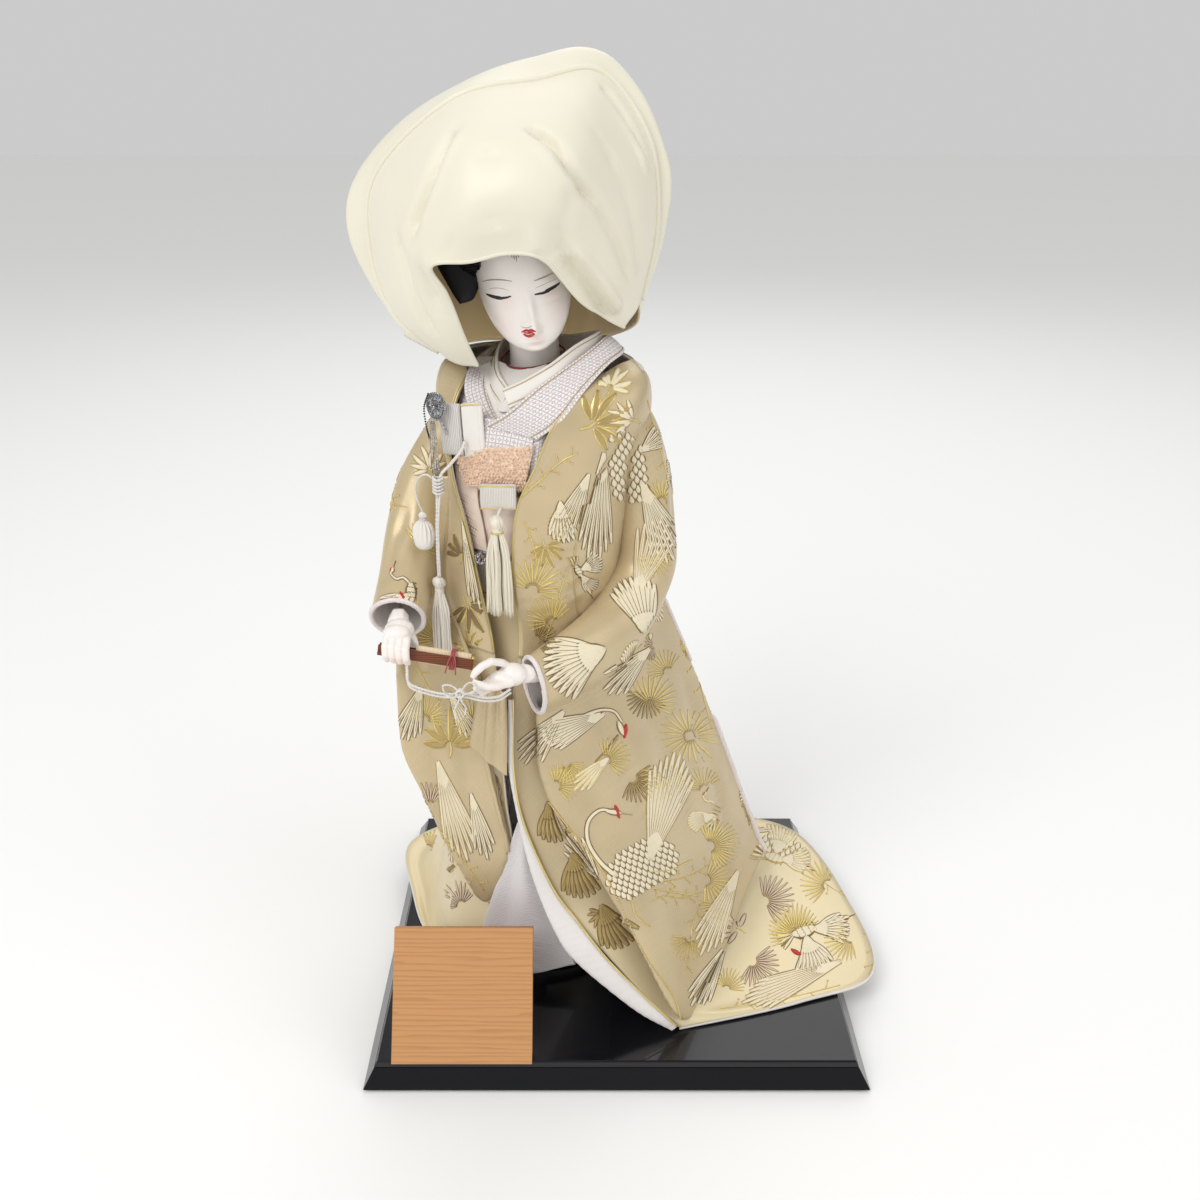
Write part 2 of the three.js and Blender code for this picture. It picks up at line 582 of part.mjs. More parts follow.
function makeHead() {
  const loops = [];
  for (let j = 0; j <= 18; j++) {
    const loop = [];
    for (let i = 0; i < 20; i++) {
      const even = (2 * Math.PI * i) / 20;
      loop.push(facePoint(even - 0.45 * Math.sin(even), j / 18));
    }
    loops.push(loop);
  }
  const skull = poseHead(loft(loops));
  const neckRow = (z, r, x = 0, y = 0) => {
    const loop = [];
    for (let k = 0; k < 14; k++) {
      const w = (2 * Math.PI * k) / 14;
      loop.push(V(NECK_AT.x + x + r * Math.cos(w), NECK_AT.y + y + r * Math.sin(w), z));
    }
    return loop;
  };
  const neck = loft([
    neckRow(NECK_UP + GAP, 12), neckRow(NECK_UP + 7, 11), neckRow(NECK_UP + 18, 10.6, -1, -1),
    neckRow(NECK_UP + 38, 11.5, -3, -5),
  ]);
  const pegHole = bar(PEG_R + GAP, NECK_UP - 8, NECK_UP + 18, NECK_AT, 12);
  add("head", cut(join(skull, neck), pegHole), PORCELAIN);
  add("head_peg", bar(PEG_R, PEG_FOOT, NECK_UP + 17, NECK_AT, 12), WOOD);

  const cord = new THREE.TorusGeometry(13, 0.7, 6, 20)
    .deleteAttribute("uv")
    .rotateX(rad(20))
    .rotateZ(rad(-TURN))
    .translate(NECK_AT.x, NECK_AT.y - 0.6, NECK_UP + 10);
  add("neck_cord", cord, RED_CORD);

  // Wig, cut away before the face and under the jaw
  const skullRoom = poseHead(loft(loops.map((l) => l.map((p) => p.clone().multiplyScalar(1.02)))));
  const wings = ball(40, 28, 26, [0, 6, 17], 16, 10);
  const back = ball(27, 33, 36, [0, 7, 6], 14, 10);
  const window = ball(23, 30, 30, [0, -26, -11], 16, 10);
  const jaw = block(100, 100, 40, 0, 0, -32);
  const wig = cut(poseHead(join(wings, back)), skullRoom, poseHead(join(window, jaw)));
  add("hair_cap", wig, HAIR);

  const knot = poseHead(join(
    ball(13, 25, 32, [0, 20, 60], 12, 8),
    ball(8, 9, 12, [0, 26, 42], 8, 6),
  ));
  const wigRoom = poseHead(join(ball(40.4, 28.4, 26.4, [0, 6, 17], 16, 10),
    ball(27.4, 33.4, 36.4, [0, 7, 6], 14, 10)));
  const brimRoom = sheet(surface(BRIM), 20, 6, CLOTH + 2 * GAP);
  const crownRoom = sheet(crownSurface(), 20, 10, CLOTH + 2 * GAP);
  const hood = [surface(BRIM), crownSurface()];
  const shrunk = (p) => p.sub(HOOD_HEART).multiplyScalar(0.975).add(HOOD_HEART).toArray();
  const under = hood.flatMap((at) => [0.05, 0.2, 0.35, 0.5, 0.65, 0.8, 0.95].flatMap((u) =>
    [0.1, 0.4, 0.7, 1].map((v) => shrunk(at(u, v)))));
  const inside = shape(solid(knot).intersect(kernel.Manifold.hull(under)));
  const shifted = [brimRoom.clone().translate(0, GAP, 0), crownRoom.clone().translate(0, -GAP, 0)];
  add("hair_knot", cut(inside, wigRoom, brimRoom, crownRoom, ...shifted), HAIR);
}

// Hood: a front sheet folded over a crown, like the hood of a pram
function makeHood() {
  add("hood_brim", sheet(surface(BRIM), 20, 6), SATIN);
  add("hood_crown", sheet(crownSurface(), 20, 10), SATIN);
}

// Hands
const RIGHT_GRIP = V(-116, -84.5, 273.5);
const FAN_FROM = V(-128.5, -84, 270.3);
const FAN_TO = V(-78, -86.5, 262.5);

function fanPlace(g) {
  const along = FAN_TO.clone().sub(FAN_FROM).normalize();
  const up = V(0, 0.25, 1).projectOnPlane(along).normalize();
  const across = up.clone().cross(along);
  const m = new THREE.Matrix4().makeBasis(along, across, up).setPosition(FAN_FROM);
  return g.applyMatrix4(m);
}

function makeFan() {
  const long = FAN_TO.distanceTo(FAN_FROM);
  const rivetHole = () =>
    new THREE.CylinderGeometry(0.8 + GAP, 0.8 + GAP, 12, 12).translate(3.5, 0, 0);
  const guard = (y) => cut(block(long, 1.3, 5.6, long / 2, y, 0), rivetHole());
  add("fan_guard_front", fanPlace(guard(-2.35)), BAMBOO);
  add("fan_guard_back", fanPlace(guard(2.35)), BAMBOO);
  const rib = cut(block(19, 2.7, 4.8, 9.8, 0, 0), rivetHole());
  add("fan_ribs", fanPlace(rib), BAMBOO);
  add("fan_leaf", fanPlace(block(long - 20.5, 2.7, 8.4, 20 + (long - 20.5) / 2, 0, 0.6)), PAPER);
  const rivet = new THREE.CylinderGeometry(0.8, 0.8, 6.6, 12).translate(3.5, 0, 0);
  add("fan_rivet", fanPlace(rivet), STEEL);
  const tie = cut(block(1.6, 8.4, 11, 40, 0, 0.6), block(4, 6.7, 9.3, 40, 0, 0.6));
  add("fan_tie", fanPlace(tie), RED_CORD);
}

function makeHands() {
  const wireWay = wireTube(WIRE_R + GAP);
  // Right hand: a loose fist round the fan, fingers pointing down
  const right = [
    finger([[-120, -62, 281], [-119.5, -68, 280], [-118.5, -76, 278.5]], 5.4, 4),
    ball(8.2, 8, 6.4, [-118, -77, 277.5], 12, 8),
  ];
  for (let k = 0; k < 4; k++) {
    const x = -123.6 + 3.6 * k;
    const z = 279 - 0.7 * k;
    right.push(finger([[x + 0.6, -80, z], [x, -90.5, z - 2.5], [x, -91.5, z - 10], [x + 0.5, -86.5, z - 14.2]], 2));
  }
  right.push(finger([[-113, -74, 276], [-109.6, -79.5, 270], [-110.4, -85, 264.5]], 2.2));
  const room = fanPlace(block(120, 7.2, 10.4, 20, 0, 0.4));
  add("hand_right", cut(join(...right), room, wireWay), PORCELAIN);

  // Left hand: thumb and first finger make a ring, the others lie side by side
  const left = [
    finger([[-41, -76, 252], [-48, -82, 254], [-54, -87.5, 256.5]], 4.8, 4),
    ball(7.4, 6.4, 6.2, [-57, -90, 258], 12, 8),
    finger([[-57, -88, 261], [-66, -95, 268.5], [-73.5, -100, 267], [-77.5, -102.5, 262.5]], 2.1),
    finger([[-56.5, -93, 256.5], [-63.5, -100.5, 256.5], [-70.5, -104, 258], [-77, -104, 261]], 2.2),
  ];
  for (let k = 0; k < 3; k++) {
    left.push(finger([
      [-58.5, -91 + 2 * k, 257.5 - 2.4 * k],
      [-70.5, -95.5 + 2.4 * k, 255.5 - 3 * k],
      [-77.5 + 1.5 * k, -97.5 + 2.2 * k, 253 - 3 * k],
    ], 2));
  }
  add("hand_left", cut(join(...left), wireWay), PORCELAIN);
}

// Sleeves: a tube round the arm and the long bag that hangs from it, one hollow piece
const ARM_LEFT = [
  [-16, -14, 388], [-4, -20, 386], [10, -14, 360], [16, -8, 321], [15, -12, 285],
  [0, -34, 262], [-19, -58, 253], [-37, -72, 247], [-51, -82, 245],
];
const ARM_LEFT_R = [[13, 13], [15, 15], [16, 16], [17, 17], [19, 19], [18, 20], [15, 21], [12, 20], [9, 17]];
const ARM_RIGHT = [
  [-82, 10, 382], [-93, 9, 366], [-111, 2, 336], [-117, -12, 310], [-119, -32, 291],
  [-121, -52, 281], [-121.5, -64, 276],
];
const ARM_RIGHT_R = [[12, 12], [14, 14], [15, 15], [16, 16], [16, 16], [15, 15], [15, 14]];

function armSleeve(points, radii, less, from, to) {
  const half = through(radii.map(([a, b]) => V(a, b, 0)));
  return loft(ovals(points, (t) => [half(t).x - less, half(t).y - less], 12, 11, from, to));
}

// A bag with a front and a back cloth, deep mm thick in its middle, seen side given by the net
function bag(net, inward, deep, less, span) {
  const at = surface(net);
  const [u0, u1, v0, v1] = span;
  const n = 7;
  const points = [];
  for (const side of [0, 1]) {
    for (let j = 0; j <= n; j++) {
      for (let i = 0; i <= n; i++) {
        const u = mix(u0, u1, i / n);
        const v = mix(v0, v1, j / n);
        const swell = deep * (0.3 + 0.7 * Math.sin(Math.PI * clamp(v, 0, 1) ** 0.6));
        const depth = side ? Math.max(swell - less, less + 0.6) : less;
        points.push(at(u, v).addScaledVector(inward, depth));
      }
    }
  }
  const far = (n + 1) ** 2;
  const id = (i, j) => j * (n + 1) + i;
  const triangles = [];
  const quad = (a, b, c, d) => triangles.push([a, b, c], [a, c, d]);
  for (let j = 0; j < n; j++) {
    for (let i = 0; i < n; i++) {
      const q = [id(i, j), id(i + 1, j), id(i + 1, j + 1), id(i, j + 1)];
      quad(...q);
      quad(...[q[0], q[3], q[2], q[1]].map((k) => k + far));
    }
  }
  for (let i = 0; i < n; i++) {
    quad(id(i + 1, 0), id(i, 0), id(i, 0) + far, id(i + 1, 0) + far);
    quad(id(i, n), id(i + 1, n), id(i + 1, n) + far, id(i, n) + far);
    quad(id(0, i), id(0, i + 1), id(0, i + 1) + far, id(0, i) + far);
    quad(id(n, i + 1), id(n, i), id(n, i) + far, id(n, i + 1) + far);
  }
  return body(points, triangles);
}

// The same net with one side edge drawn out, for the hollow of a bag that is open there
function drawnOut(net, first) {
  return net.map((row) => {
    const line = row.map(vec);
    const [a, b] = first ? [0, 1] : [line.length - 1, line.length - 2];
    line[a] = line[a].clone().lerp(line[b], -0.3);
    return line;
  });
}

function sleeve(points, radii, cuffEnd, net, inward, deep, openFirst, room) {
  const outer = join(
    armSleeve(points, radii, 0, 0, 1),
    bag(net, inward, deep, 0, [0, 1, 0, 1]),
  );
  const way = [...points.slice(0, -1), cuffEnd];
  const inner = join(
    armSleeve(way, radii, CLOTH, 0, 1),
    bag(drawnOut(net, openFirst), inward, deep, CLOTH, openFirst ? [0, 0.97, 0, 0.97] : [0.03, 1, 0, 0.97]),
  );
  return cut(outer, inner, room, room.clone().translate(0, 0, GAP), room.clone().translate(0, -GAP, 0));
}

const robeSheet = (wall, margin) => sheet(surface(ROBE), 20, 14, wall, margin);

function makeRobeAndSleeves() {
  const robe = robeSheet(CLOTH);
  const robeRoom = robeSheet(CLOTH + 2 * GAP, GAP);
  add("robe", cut(
    robe,
    armSleeve(ARM_LEFT, ARM_LEFT_R, 2.4, 0, 0.45),
    armSleeve(ARM_RIGHT, ARM_RIGHT_R, 2.4, 0, 0.45),
  ), BROCADE);
  add("sleeve_left", sleeve(
    ARM_LEFT, ARM_LEFT_R, [-61, -90, 244.5], BAG_LEFT, V(-0.58, 0.73, -0.36), 7, true, robeRoom,
  ), BROCADE);
  add("sleeve_right", sleeve(
    ARM_RIGHT, ARM_RIGHT_R, [-122, -72, 273], BAG_RIGHT, V(0.2, 0.98, 0), 6, false, robeRoom,
  ), BROCADE);
  add("robe_hem", cut(sheet(surface(HEM), 20, 2, 3), robeRoom), WHITE_SILK);
  add("front_fold", sheet(surface(FOLD), 5, 5, 1.4), BROCADE);
}

// Arms wound with cotton on the wire, inside the sleeves
function makeArmPads() {
  const wireWay = wireTube(WIRE_R + 0.6);
  const pad = (points) => cut(tube(points, 4.6, 9, 8), wireWay);
  add("arm_pad_left", pad(WIRE.slice(1, 6)), COTTON);
  add("arm_pad_right", pad(WIRE.slice(11, 15)), COTTON);
}

// Kimono, left front over right, parting below the knee, and the white skirt under it
const KIMONO = [
  [24, 46, 46, 54, 3], [80, 43, 43, 47, 3], [128, 41, 41, 41, 3], [200, 39.5, 39.5, 38, 3],
  [262, 39, 37.8, 37, 3], [320, 39, 37.8, 34, 3], [352, 39, 37.8, 33, 3], [374, 37, 32, 30, 2],
];
const SKIRT = [
  [19, 42, 43, 50, 3], [60, 40, 40, 44, 3], [110, 38, 38, 38, 3], [150, 37.4, 36, 34, 3],
  [182, 37.6, 35.2, 33.2, 3],
];

function makeUnderlayers() {
  const part = (v) => 32 * clamp((0.42 - v) / 0.42, 0, 1) ** 0.8;
  const turns = (v) => [4 - part(v), -364 + part(v)];
  add("kimono", wrap(KIMONO, turns, 26, 6, 1.3, 2), SILVER_SILK);
  add("underskirt", wrap(SKIRT, () => [-176, 176], 22, 3, 1.2), WHITE_SILK);
}

// The tie-dyed scarf's net: [up at the doll's right, up at its left] from the top edge down
const SCARF_T = 5;
const SCARF = [[363.5, 371.5], [354, 359], [345.5, 347]].map(([right, left], k) =>
  [0, 0.25, 0.5, 0.75, 1].map((t) => {
    const a = mix(-24.5, 23, t) * (1 - 0.12 * k);
    return onDoll(a, 45.6 - 5 * (a / 27) ** 2 + (k === 1 ? 0.8 : 0), mix(right, left, t));
  }));

// Sash, its bow at the back, the tied-dyed scarf above it and the beaded cord over it
function makeObi() {
  add("obi", wrap([[300, 43.5, 43, 40.5, 3], [322, 43.5, 43, 40, 3], [342, 43.5, 42.8, 39.5, 3]],
    () => [-178.5, 178.5], 26, 2, 2.6), OBI_SILK);
  const bow = [292, 320, 344].map((up) => [-22, -11, 0, 11, 22].map((left) =>
    onDoll(left + 3, -44.9 + 0.008 * left * left, up)));
  add("obi_bow", sheet(surface(bow), 6, 3, 5), OBI_SILK);
  add("obi_scarf", sheet(surface(SCARF), 9, 3, SCARF_T), PINK_SILK);
  const ring = [];
  for (let k = 0; k <= 8; k++) ring.push(ringPoint([307, 46.8, 46.3, 44, 3], -26 + 6.5 * k));
  const knot = ball(4, 3, 3.2, onDoll(-8, 49, 305).toArray(), 10, 6);
  add("obi_cord", join(tube(ring, 1.5, 14, 6), knot), SILVER);
}

// Collars: rows from the front, up round the nape and down again under the start
const UNDER_COLLAR = [
  [[4, 41, 399], [14, 37, 404], [26, 29, 412], [34, 16, 420], [39, 2, 424], [32, -14, 422],
    [14, -22, 417], [-6, -20, 416], [-18, -10, 416], [-17, 5, 415], [-12, 19, 411],
    [-5, 30, 405], [5, 36, 398]],
  [[9, 43, 391], [19, 39, 396], [31, 31, 403], [37, 16, 411], [41, 1, 415], [34, -15, 413],
    [15, -24, 408], [-7, -22, 407], [-20, -11, 407], [-19, 6, 406], [-15, 21, 402],
    [-8, 32, 396], [2, 38, 389]],
];
const FIGURED_COLLAR = [
  [[-4, 45, 380], [10, 45, 389], [24, 37, 402], [39, 20, 415], [44, 2, 422], [36, -18, 419],
    [16, -27, 413], [-8, -26, 412], [-24, -14, 412], [-23, 5, 410], [-19, 20, 405],
    [-13, 33, 394], [-6, 39.5, 385]],
  [[24, 43, 376], [36.5, 39.5, 386], [45, 28, 401], [50, 12, 411], [51, -4, 414], [42, -22, 412],
    [18, -33, 405], [-12, -32, 404], [-35, -16, 405], [-36, 6, 401], [-33, 22, 392],
    [-27, 32.5, 380], [-18, 37.5, 377]],
];

function makeCollars() {
  const band = (table) => surface(table.map((row) => row.map((p) => onDoll(...p))));
  add("under_collar", sheet(band(UNDER_COLLAR), 26, 2, 1.3), WHITE_SILK);
  const figured = sheet(band(FIGURED_COLLAR), 26, 3, 1.3);
  const underRoom = sheet(band(UNDER_COLLAR), 26, 2, 1.3 + 2 * GAP, GAP);
  add("figured_collar", cut(figured, underRoom, robeSheet(CLOTH + 2 * GAP, GAP)), SILVER_SILK);
}

// Tassel: a knob and a flared skirt, hanging from its own top
function tassel(at, knob, long, wide, deep) {
  const [a, b, up] = at;
  const rows = [
    [0, 0.35, 0.35], [-1, 0.8, 0.8], [-3.2, 1, 1], [-5.6, 0.85, 0.85], [-7.2, 0.62, 0.62],
    [-9, 0.8, 0.8],
  ].map(([z, w, d]) => [z, w * knob, d * knob]);
  rows.push([-16, mix(knob, wide, 0.45), mix(knob, deep, 0.45)]);
  rows.push([-long * 0.7, wide * 0.92, deep * 0.9]);
  rows.push([-long, wide, deep]);
  return loft(rows.map(([z, w, d]) => {
    const loop = [];
    for (let k = 0; k < 14; k++) {
      const t = (2 * Math.PI * k) / 14;
      loop.push(onDoll(a + w * Math.cos(t), b + d * Math.sin(t), up + z));
    }
    return loop;
  }));
}

// Dagger bag tucked into the sash, with its tassel
const DAGGER_TASSEL = [8, 58.2, 335];
const WALLET_TASSEL = [-27, 64, 296];
const SACHET = [-38, 60, 331];

function makeDagger() {
  const outline = [[-2.2, -6.5], [-1.2, -7.4], [1.2, -7.4], [2.2, -6.5], [2.2, 6.5], [1.2, 7.4],
    [-1.2, 7.4], [-2.2, 6.5]];
  const bag = (grow) => loft([[-6 - grow, 0.8], [-4.6, 1], [14.6, 1], [16 + grow, 0.8]].map(([a, s]) =>
    outline.map(([b, z]) => onDoll(
      a, 51 + b * s + grow * Math.sign(b), 343 + 0.14 * a + z * s + grow * Math.sign(z)))));
  add("dagger_bag", bag(0), WHITE_SILK);
  const neck = tube([onDoll(8, 51.4, 338.5), onDoll(8, 54, 335.4), onDoll(8, 58, 333.2)], 0.9, 5, 8);
  add("dagger_tassel", cut(join(tassel(DAGGER_TASSEL, 3.6, 57, 8.4, 3.6), neck), bag(GAP)), COTTON);
}

// Paper wallet in the bosom with its ornament, cord, tassel and sachet
function makeWallet() {
  const card = (a0, a1, front, tall, lean) => [0, 1].map((k) =>
    [0, 0.5, 1].map((t) => {
      const a = mix(a0, a1, t);
      return onDoll(a, front - 0.004 * (a + 18) ** 2 - (k ? 0 : 2.2), 372 + tall * k + lean * t - (k ? 0 : 11));
    }));
  const scarfSide = sheet(surface(SCARF), 9, 3, SCARF_T + 2 * GAP, GAP);
  const scarfRoom = join(scarfSide, scarfSide.clone().translate(0, 0, GAP));
  add("wallet", cut(sheet(surface(card(-31.5, -18.2, 48.4, 18, 1)), 5, 4, 4), scarfRoom), WHITE_SILK);
  add("wallet_cover", cut(sheet(surface(card(-17.6, -5, 48.2, 19, 2)), 5, 4, 2.6), scarfRoom), WHITE_SILK);
  const head = ball(6.2, 3, 7.8, [0, 0, 0], 12, 6)
    .rotateZ(-rad(TURN))
    .translate(...onDoll(-29.5, 54, SHOULDER_UP + 0.5).toArray());
  const stem = finger([onDoll(-28.5, 53.2, 384), onDoll(-26, 50.3, 374)], 0.8, 3);
  add("pin_head", join(head, stem), SILVER);
  const chain = loft([[381, 1.2, 1.4], [378, 2.4, 1.2], [366, 3, 1.1], [354, 2.2, 1.1]].map(([z, w, d]) => {
    const loop = [];
    for (let k = 0; k < 10; k++) {
      const t = (2 * Math.PI * k) / 10;
      loop.push(onDoll(-31 + w * Math.cos(t), 54.8 + d * Math.sin(t), z));
    }
    return loop;
  }));
  add("pin_chains", chain, SILVER);
  const cord = [[-15, 49.7, 371.5], [-17, 51.2, 366], [-22, 54, 359], [-27, 58, 351], [-28, 61, 330], [-27.5, 63, 312],
    [-27, 64, 296.6]].map((p) => onDoll(...p));
  add("wallet_cord", tube(cord, 1.1, 18, 6), COTTON);
  add("wallet_tassel", tassel(WALLET_TASSEL, 3.1, 46, 5.8, 3.6), COTTON);
  const loop = [[-29.2, 58.6, 350], [-34, 61, 353.5], [-39.5, 61.5, 349], [-40.5, 61, 340],
    [-38, 60, 331.6]];
  add("sachet_cord", tube(loop.map((p) => onDoll(...p)), 0.6, 14, 6), COTTON);
  const [a, b, up] = SACHET;
  const pouch = loft([[0, 0.9], [-2.5, 1.7], [-4, 1.2], [-6.5, 4], [-12, 6], [-18, 5.8], [-21.5, 3]]
    .map(([z, r]) => {
      const ring = [];
      for (let k = 0; k < 14; k++) {
        const t = (2 * Math.PI * k) / 14;
        ring.push(onDoll(a + r * Math.cos(t), b + 0.75 * r * Math.sin(t), up + z));
      }
      return ring;
    }));
  add("sachet", pouch, WHITE_SILK);
}

// The fan's cord, from the right hand to the left wrist
const HAND_CORD = [
  [-112.4, -94.4, 265.2], [-111.4, -96.8, 256.5], [-102, -99.5, 253.5], [-91, -104.5, 254],
  [-82, -108.8, 257], [-72, -109, 254.5], [-64, -104.5, 252.4], [-58, -98.3, 253.4],
];

function makeHandCord() {
  add("hand_cord", tube(HAND_CORD, 0.9, 18, 6), COTTON);
}

// Plaque: a bare board sawn level at its foot, with a wedge glued behind it
function makePlaque() {
  const s = Math.sin(rad(PLAQUE_LEAN));
  const c = Math.cos(rad(PLAQUE_LEAN));
  const [x, y] = PLAQUE_AT;
  const face = (t) => [y + PLAQUE_H * t * s, FLOOR + PLAQUE_H * t * c];
  const [yTop, zTop] = face(1);
  const across = (points, w) => [-w / 2, w / 2].map((dx) => points.map(([py, pz]) => V(x + dx, py, pz)));
  const back = PLAQUE_T / c;
  add("plaque", loft(across([
    [y, FLOOR], [yTop, zTop], [yTop + PLAQUE_T * c, zTop - PLAQUE_T * s], [y + back, FLOOR],
  ], PLAQUE_W)), CEDAR);
  const at = (t) => [y + back + GAP / c + PLAQUE_H * t * s, FLOOR + PLAQUE_H * t * c];
  const [yProp, zProp] = at(0.62);
  add("plaque_prop", loft(across([at(0), [yProp, zProp], [yProp + 5, zProp - 3], [yProp + 9, FLOOR]], 26)), CEDAR);
}

makeBoard();
makeLegs();
makeCore();
makeHead();
makeHood();
makeFan();
makeHands();
makeArmPads();
makeRobeAndSleeves();
makeUnderlayers();
makeObi();
makeCollars();
makeDagger();
makeWallet();
makeHandCord();
makePlaque();

const box = new THREE.Box3().setFromObject(group, true);
group.position.set(-(box.min.x + box.max.x) / 2, -(box.min.y + box.max.y) / 2, -box.min.z);

export default group;
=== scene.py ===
# Bride doll in a white silk hood and a crane brocade robe, on a black lacquered board.
# Metres, Z up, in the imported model's own frame. The tables of points are in millimetres,
# measured from the middle of the board's foot, as in the part's source.

import math

import bmesh
import bpy
import numpy as np
from mathutils import Matrix, Vector
from mathutils.bvhtree import BVHTree

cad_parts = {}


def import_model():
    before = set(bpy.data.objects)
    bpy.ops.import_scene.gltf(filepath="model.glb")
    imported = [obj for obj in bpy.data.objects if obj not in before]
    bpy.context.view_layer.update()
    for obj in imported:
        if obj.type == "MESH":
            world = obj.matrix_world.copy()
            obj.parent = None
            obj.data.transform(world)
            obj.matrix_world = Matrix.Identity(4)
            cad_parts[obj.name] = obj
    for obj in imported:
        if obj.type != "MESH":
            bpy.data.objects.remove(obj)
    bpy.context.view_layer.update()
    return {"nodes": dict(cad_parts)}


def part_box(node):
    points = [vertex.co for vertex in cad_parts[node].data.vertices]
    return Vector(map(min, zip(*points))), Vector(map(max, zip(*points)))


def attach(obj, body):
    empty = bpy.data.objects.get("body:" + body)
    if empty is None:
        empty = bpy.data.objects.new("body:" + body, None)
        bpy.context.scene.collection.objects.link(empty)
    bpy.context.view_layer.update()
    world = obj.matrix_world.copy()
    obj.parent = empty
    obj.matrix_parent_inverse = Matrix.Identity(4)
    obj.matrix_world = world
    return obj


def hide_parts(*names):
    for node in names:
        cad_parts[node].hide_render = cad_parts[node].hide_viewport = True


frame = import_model()

# The working origin is the middle of the board's panel, at the floor
panel_low, panel_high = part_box("stand_panel")
ORIGIN = np.array([
    (panel_low[0] + panel_high[0]) * 500,
    (panel_low[1] + panel_high[1]) * 500,
    0.0,
])

TURN = math.radians(26)  # the doll's turn to the left of the board's front
DOLL = np.array([-47.0, -2.0])  # its upright axis
DOLL_BODY = "stand_and_doll"
HEAD_BODY = "head_and_hood"
CLOTH = 1.3  # cloth with its paper backing


def world(points):
    """Millimetres from the board's middle to metres in the model's frame."""
    return (np.asarray(points, float) + ORIGIN) / 1000


def local(points):
    """Metres in the model's frame to millimetres from the board's middle."""
    return np.asarray(points, float) * 1000 - ORIGIN


def on_doll(left, front, up):
    """A point in the doll's own frame, in millimetres."""
    c = math.cos(TURN)
    s = math.sin(TURN)
    return np.array([
        DOLL[0] + left * c - front * s,
        DOLL[1] - left * s - front * c,
        up,
    ])


def doll_rows(rows):
    """Rows of points given in the doll's own frame."""
    return np.array([[on_doll(*p) for p in row] for row in rows])


# Camera, fitted to the board's corners. Places in the picture are pixels (across, down) of its
# 1200 by 1200 frame.
EYE = np.array([-17.5, -634.0, 547.0])
PITCH = math.radians(24.3)
FOCAL = 1155.0  # in the picture's pixels
MIDDLE_ACROSS = 587.0  # place in the picture that the camera aims at
MIDDLE_DOWN = 600.0
PICTURE_SIDE = 1200
SENSOR = 36  # width, in millimetres
AIM = np.array([0, math.cos(PITCH), -math.sin(PITCH)])
AIM_UP = np.array([0, math.sin(PITCH), math.cos(PITCH)])
AIM_RIGHT = np.array([1.0, 0, 0])


def make_camera():
    data = bpy.data.cameras.new("camera")
    data.lens = FOCAL * SENSOR / PICTURE_SIDE
    data.sensor_width = SENSOR
    data.shift_x = 0.0108
    camera = bpy.data.objects.new("camera", data)
    camera.location = world(EYE)
    camera.rotation_euler = (math.pi / 2 - PITCH, 0, 0)
    bpy.context.collection.objects.link(camera)
    bpy.context.scene.camera = camera


def sight(across, down):
    """Direction from the camera through a place of the picture."""
    ray = AIM + AIM_RIGHT * (across - MIDDLE_ACROSS) / FOCAL - AIM_UP * (down - MIDDLE_DOWN) / FOCAL
    return ray / np.linalg.norm(ray)


def seen(rows):
    """Points seen at places (across, down) of the picture, each at its depth y."""
    grid = []
    for row in rows:
        rays = [(sight(across, down), depth) for across, down, depth in row]
        grid.append([EYE + ray * ((depth - EYE[1]) / ray[1]) for ray, depth in rays])
    return np.array(grid)


make_camera()


# Shape helpers

def spline(points, at):
    """Smooth line through points, read at values of 0 to 1."""
    points = np.asarray(points, float)
    at = np.clip(at, 0, 1) * (len(points) - 1)
    i = np.minimum(at.astype(int), len(points) - 2)
    ends = np.concatenate([[2 * points[0] - points[1]], points, [2 * points[-1] - points[-2]]])
    a, b, c, d = ends[i], ends[i + 1], ends[i + 2], ends[i + 3]
    f = (at - i).reshape((-1,) + (1,) * (points.ndim - 1))
    return b + 0.5 * f * (c - a + f * (2 * a - 5 * b + 4 * c - d + f * (3 * (b - c) + d - a)))


def net(rows, across, down):
    """Smooth surface through rows of points, as a grid of down + 1 rows."""
    rows = np.asarray(rows, float)
    lines = spline(rows.transpose(1, 0, 2), np.linspace(0, 1, across + 1))
    return spline(lines.transpose(1, 0, 2), np.linspace(0, 1, down + 1))


def unit(vectors):
    length = np.linalg.norm(vectors, axis=-1, keepdims=True)
    return vectors / np.maximum(length, 1e-9)


def normals_of(grid):
    along = np.gradient(grid, axis=1)
    across = np.gradient(grid, axis=0)
    return unit(np.cross(along, across))


def facing(grid, heart):
    """Normals of a grid, turned away from a point inside."""
    n = normals_of(grid)
    out = np.sign((n * (grid - np.asarray(heart, float))).sum(-1).mean() or 1)
    return n * out


def press(grid, n, creases):
    """Folds: each crease is (line of points, width, depth), in millimetres; depth > 0 is inward."""
    out = grid.copy()
    for points, width, depth in creases:
        line = spline(np.asarray(points, float), np.linspace(0, 1, 24))
        gap = grid[:, :, None, :] - line
        square = (gap ** 2).sum(-1)
        near = square.argmin(-1)
        t = near / 23
        fade = np.clip(np.minimum(t, 1 - t) * 5 + 0.15, 0, 1)
        out -= n * (depth * fade * np.exp(-square.min(-1) / width ** 2))[..., None]
    return out


def wave(grid, n, seed, size, height):
    """Broad soft unevenness of hand-dressed cloth."""
    random = np.random.default_rng(seed)
    total = np.zeros(grid.shape[:2])
    for _ in range(9):
        direction = unit(random.normal(size=3))
        pitch = size * random.uniform(0.7, 1.6)
        total += np.sin(grid @ direction * (math.tau / pitch) + random.uniform(0, 6.3))
    return grid + n * (height * total / 3)[..., None]


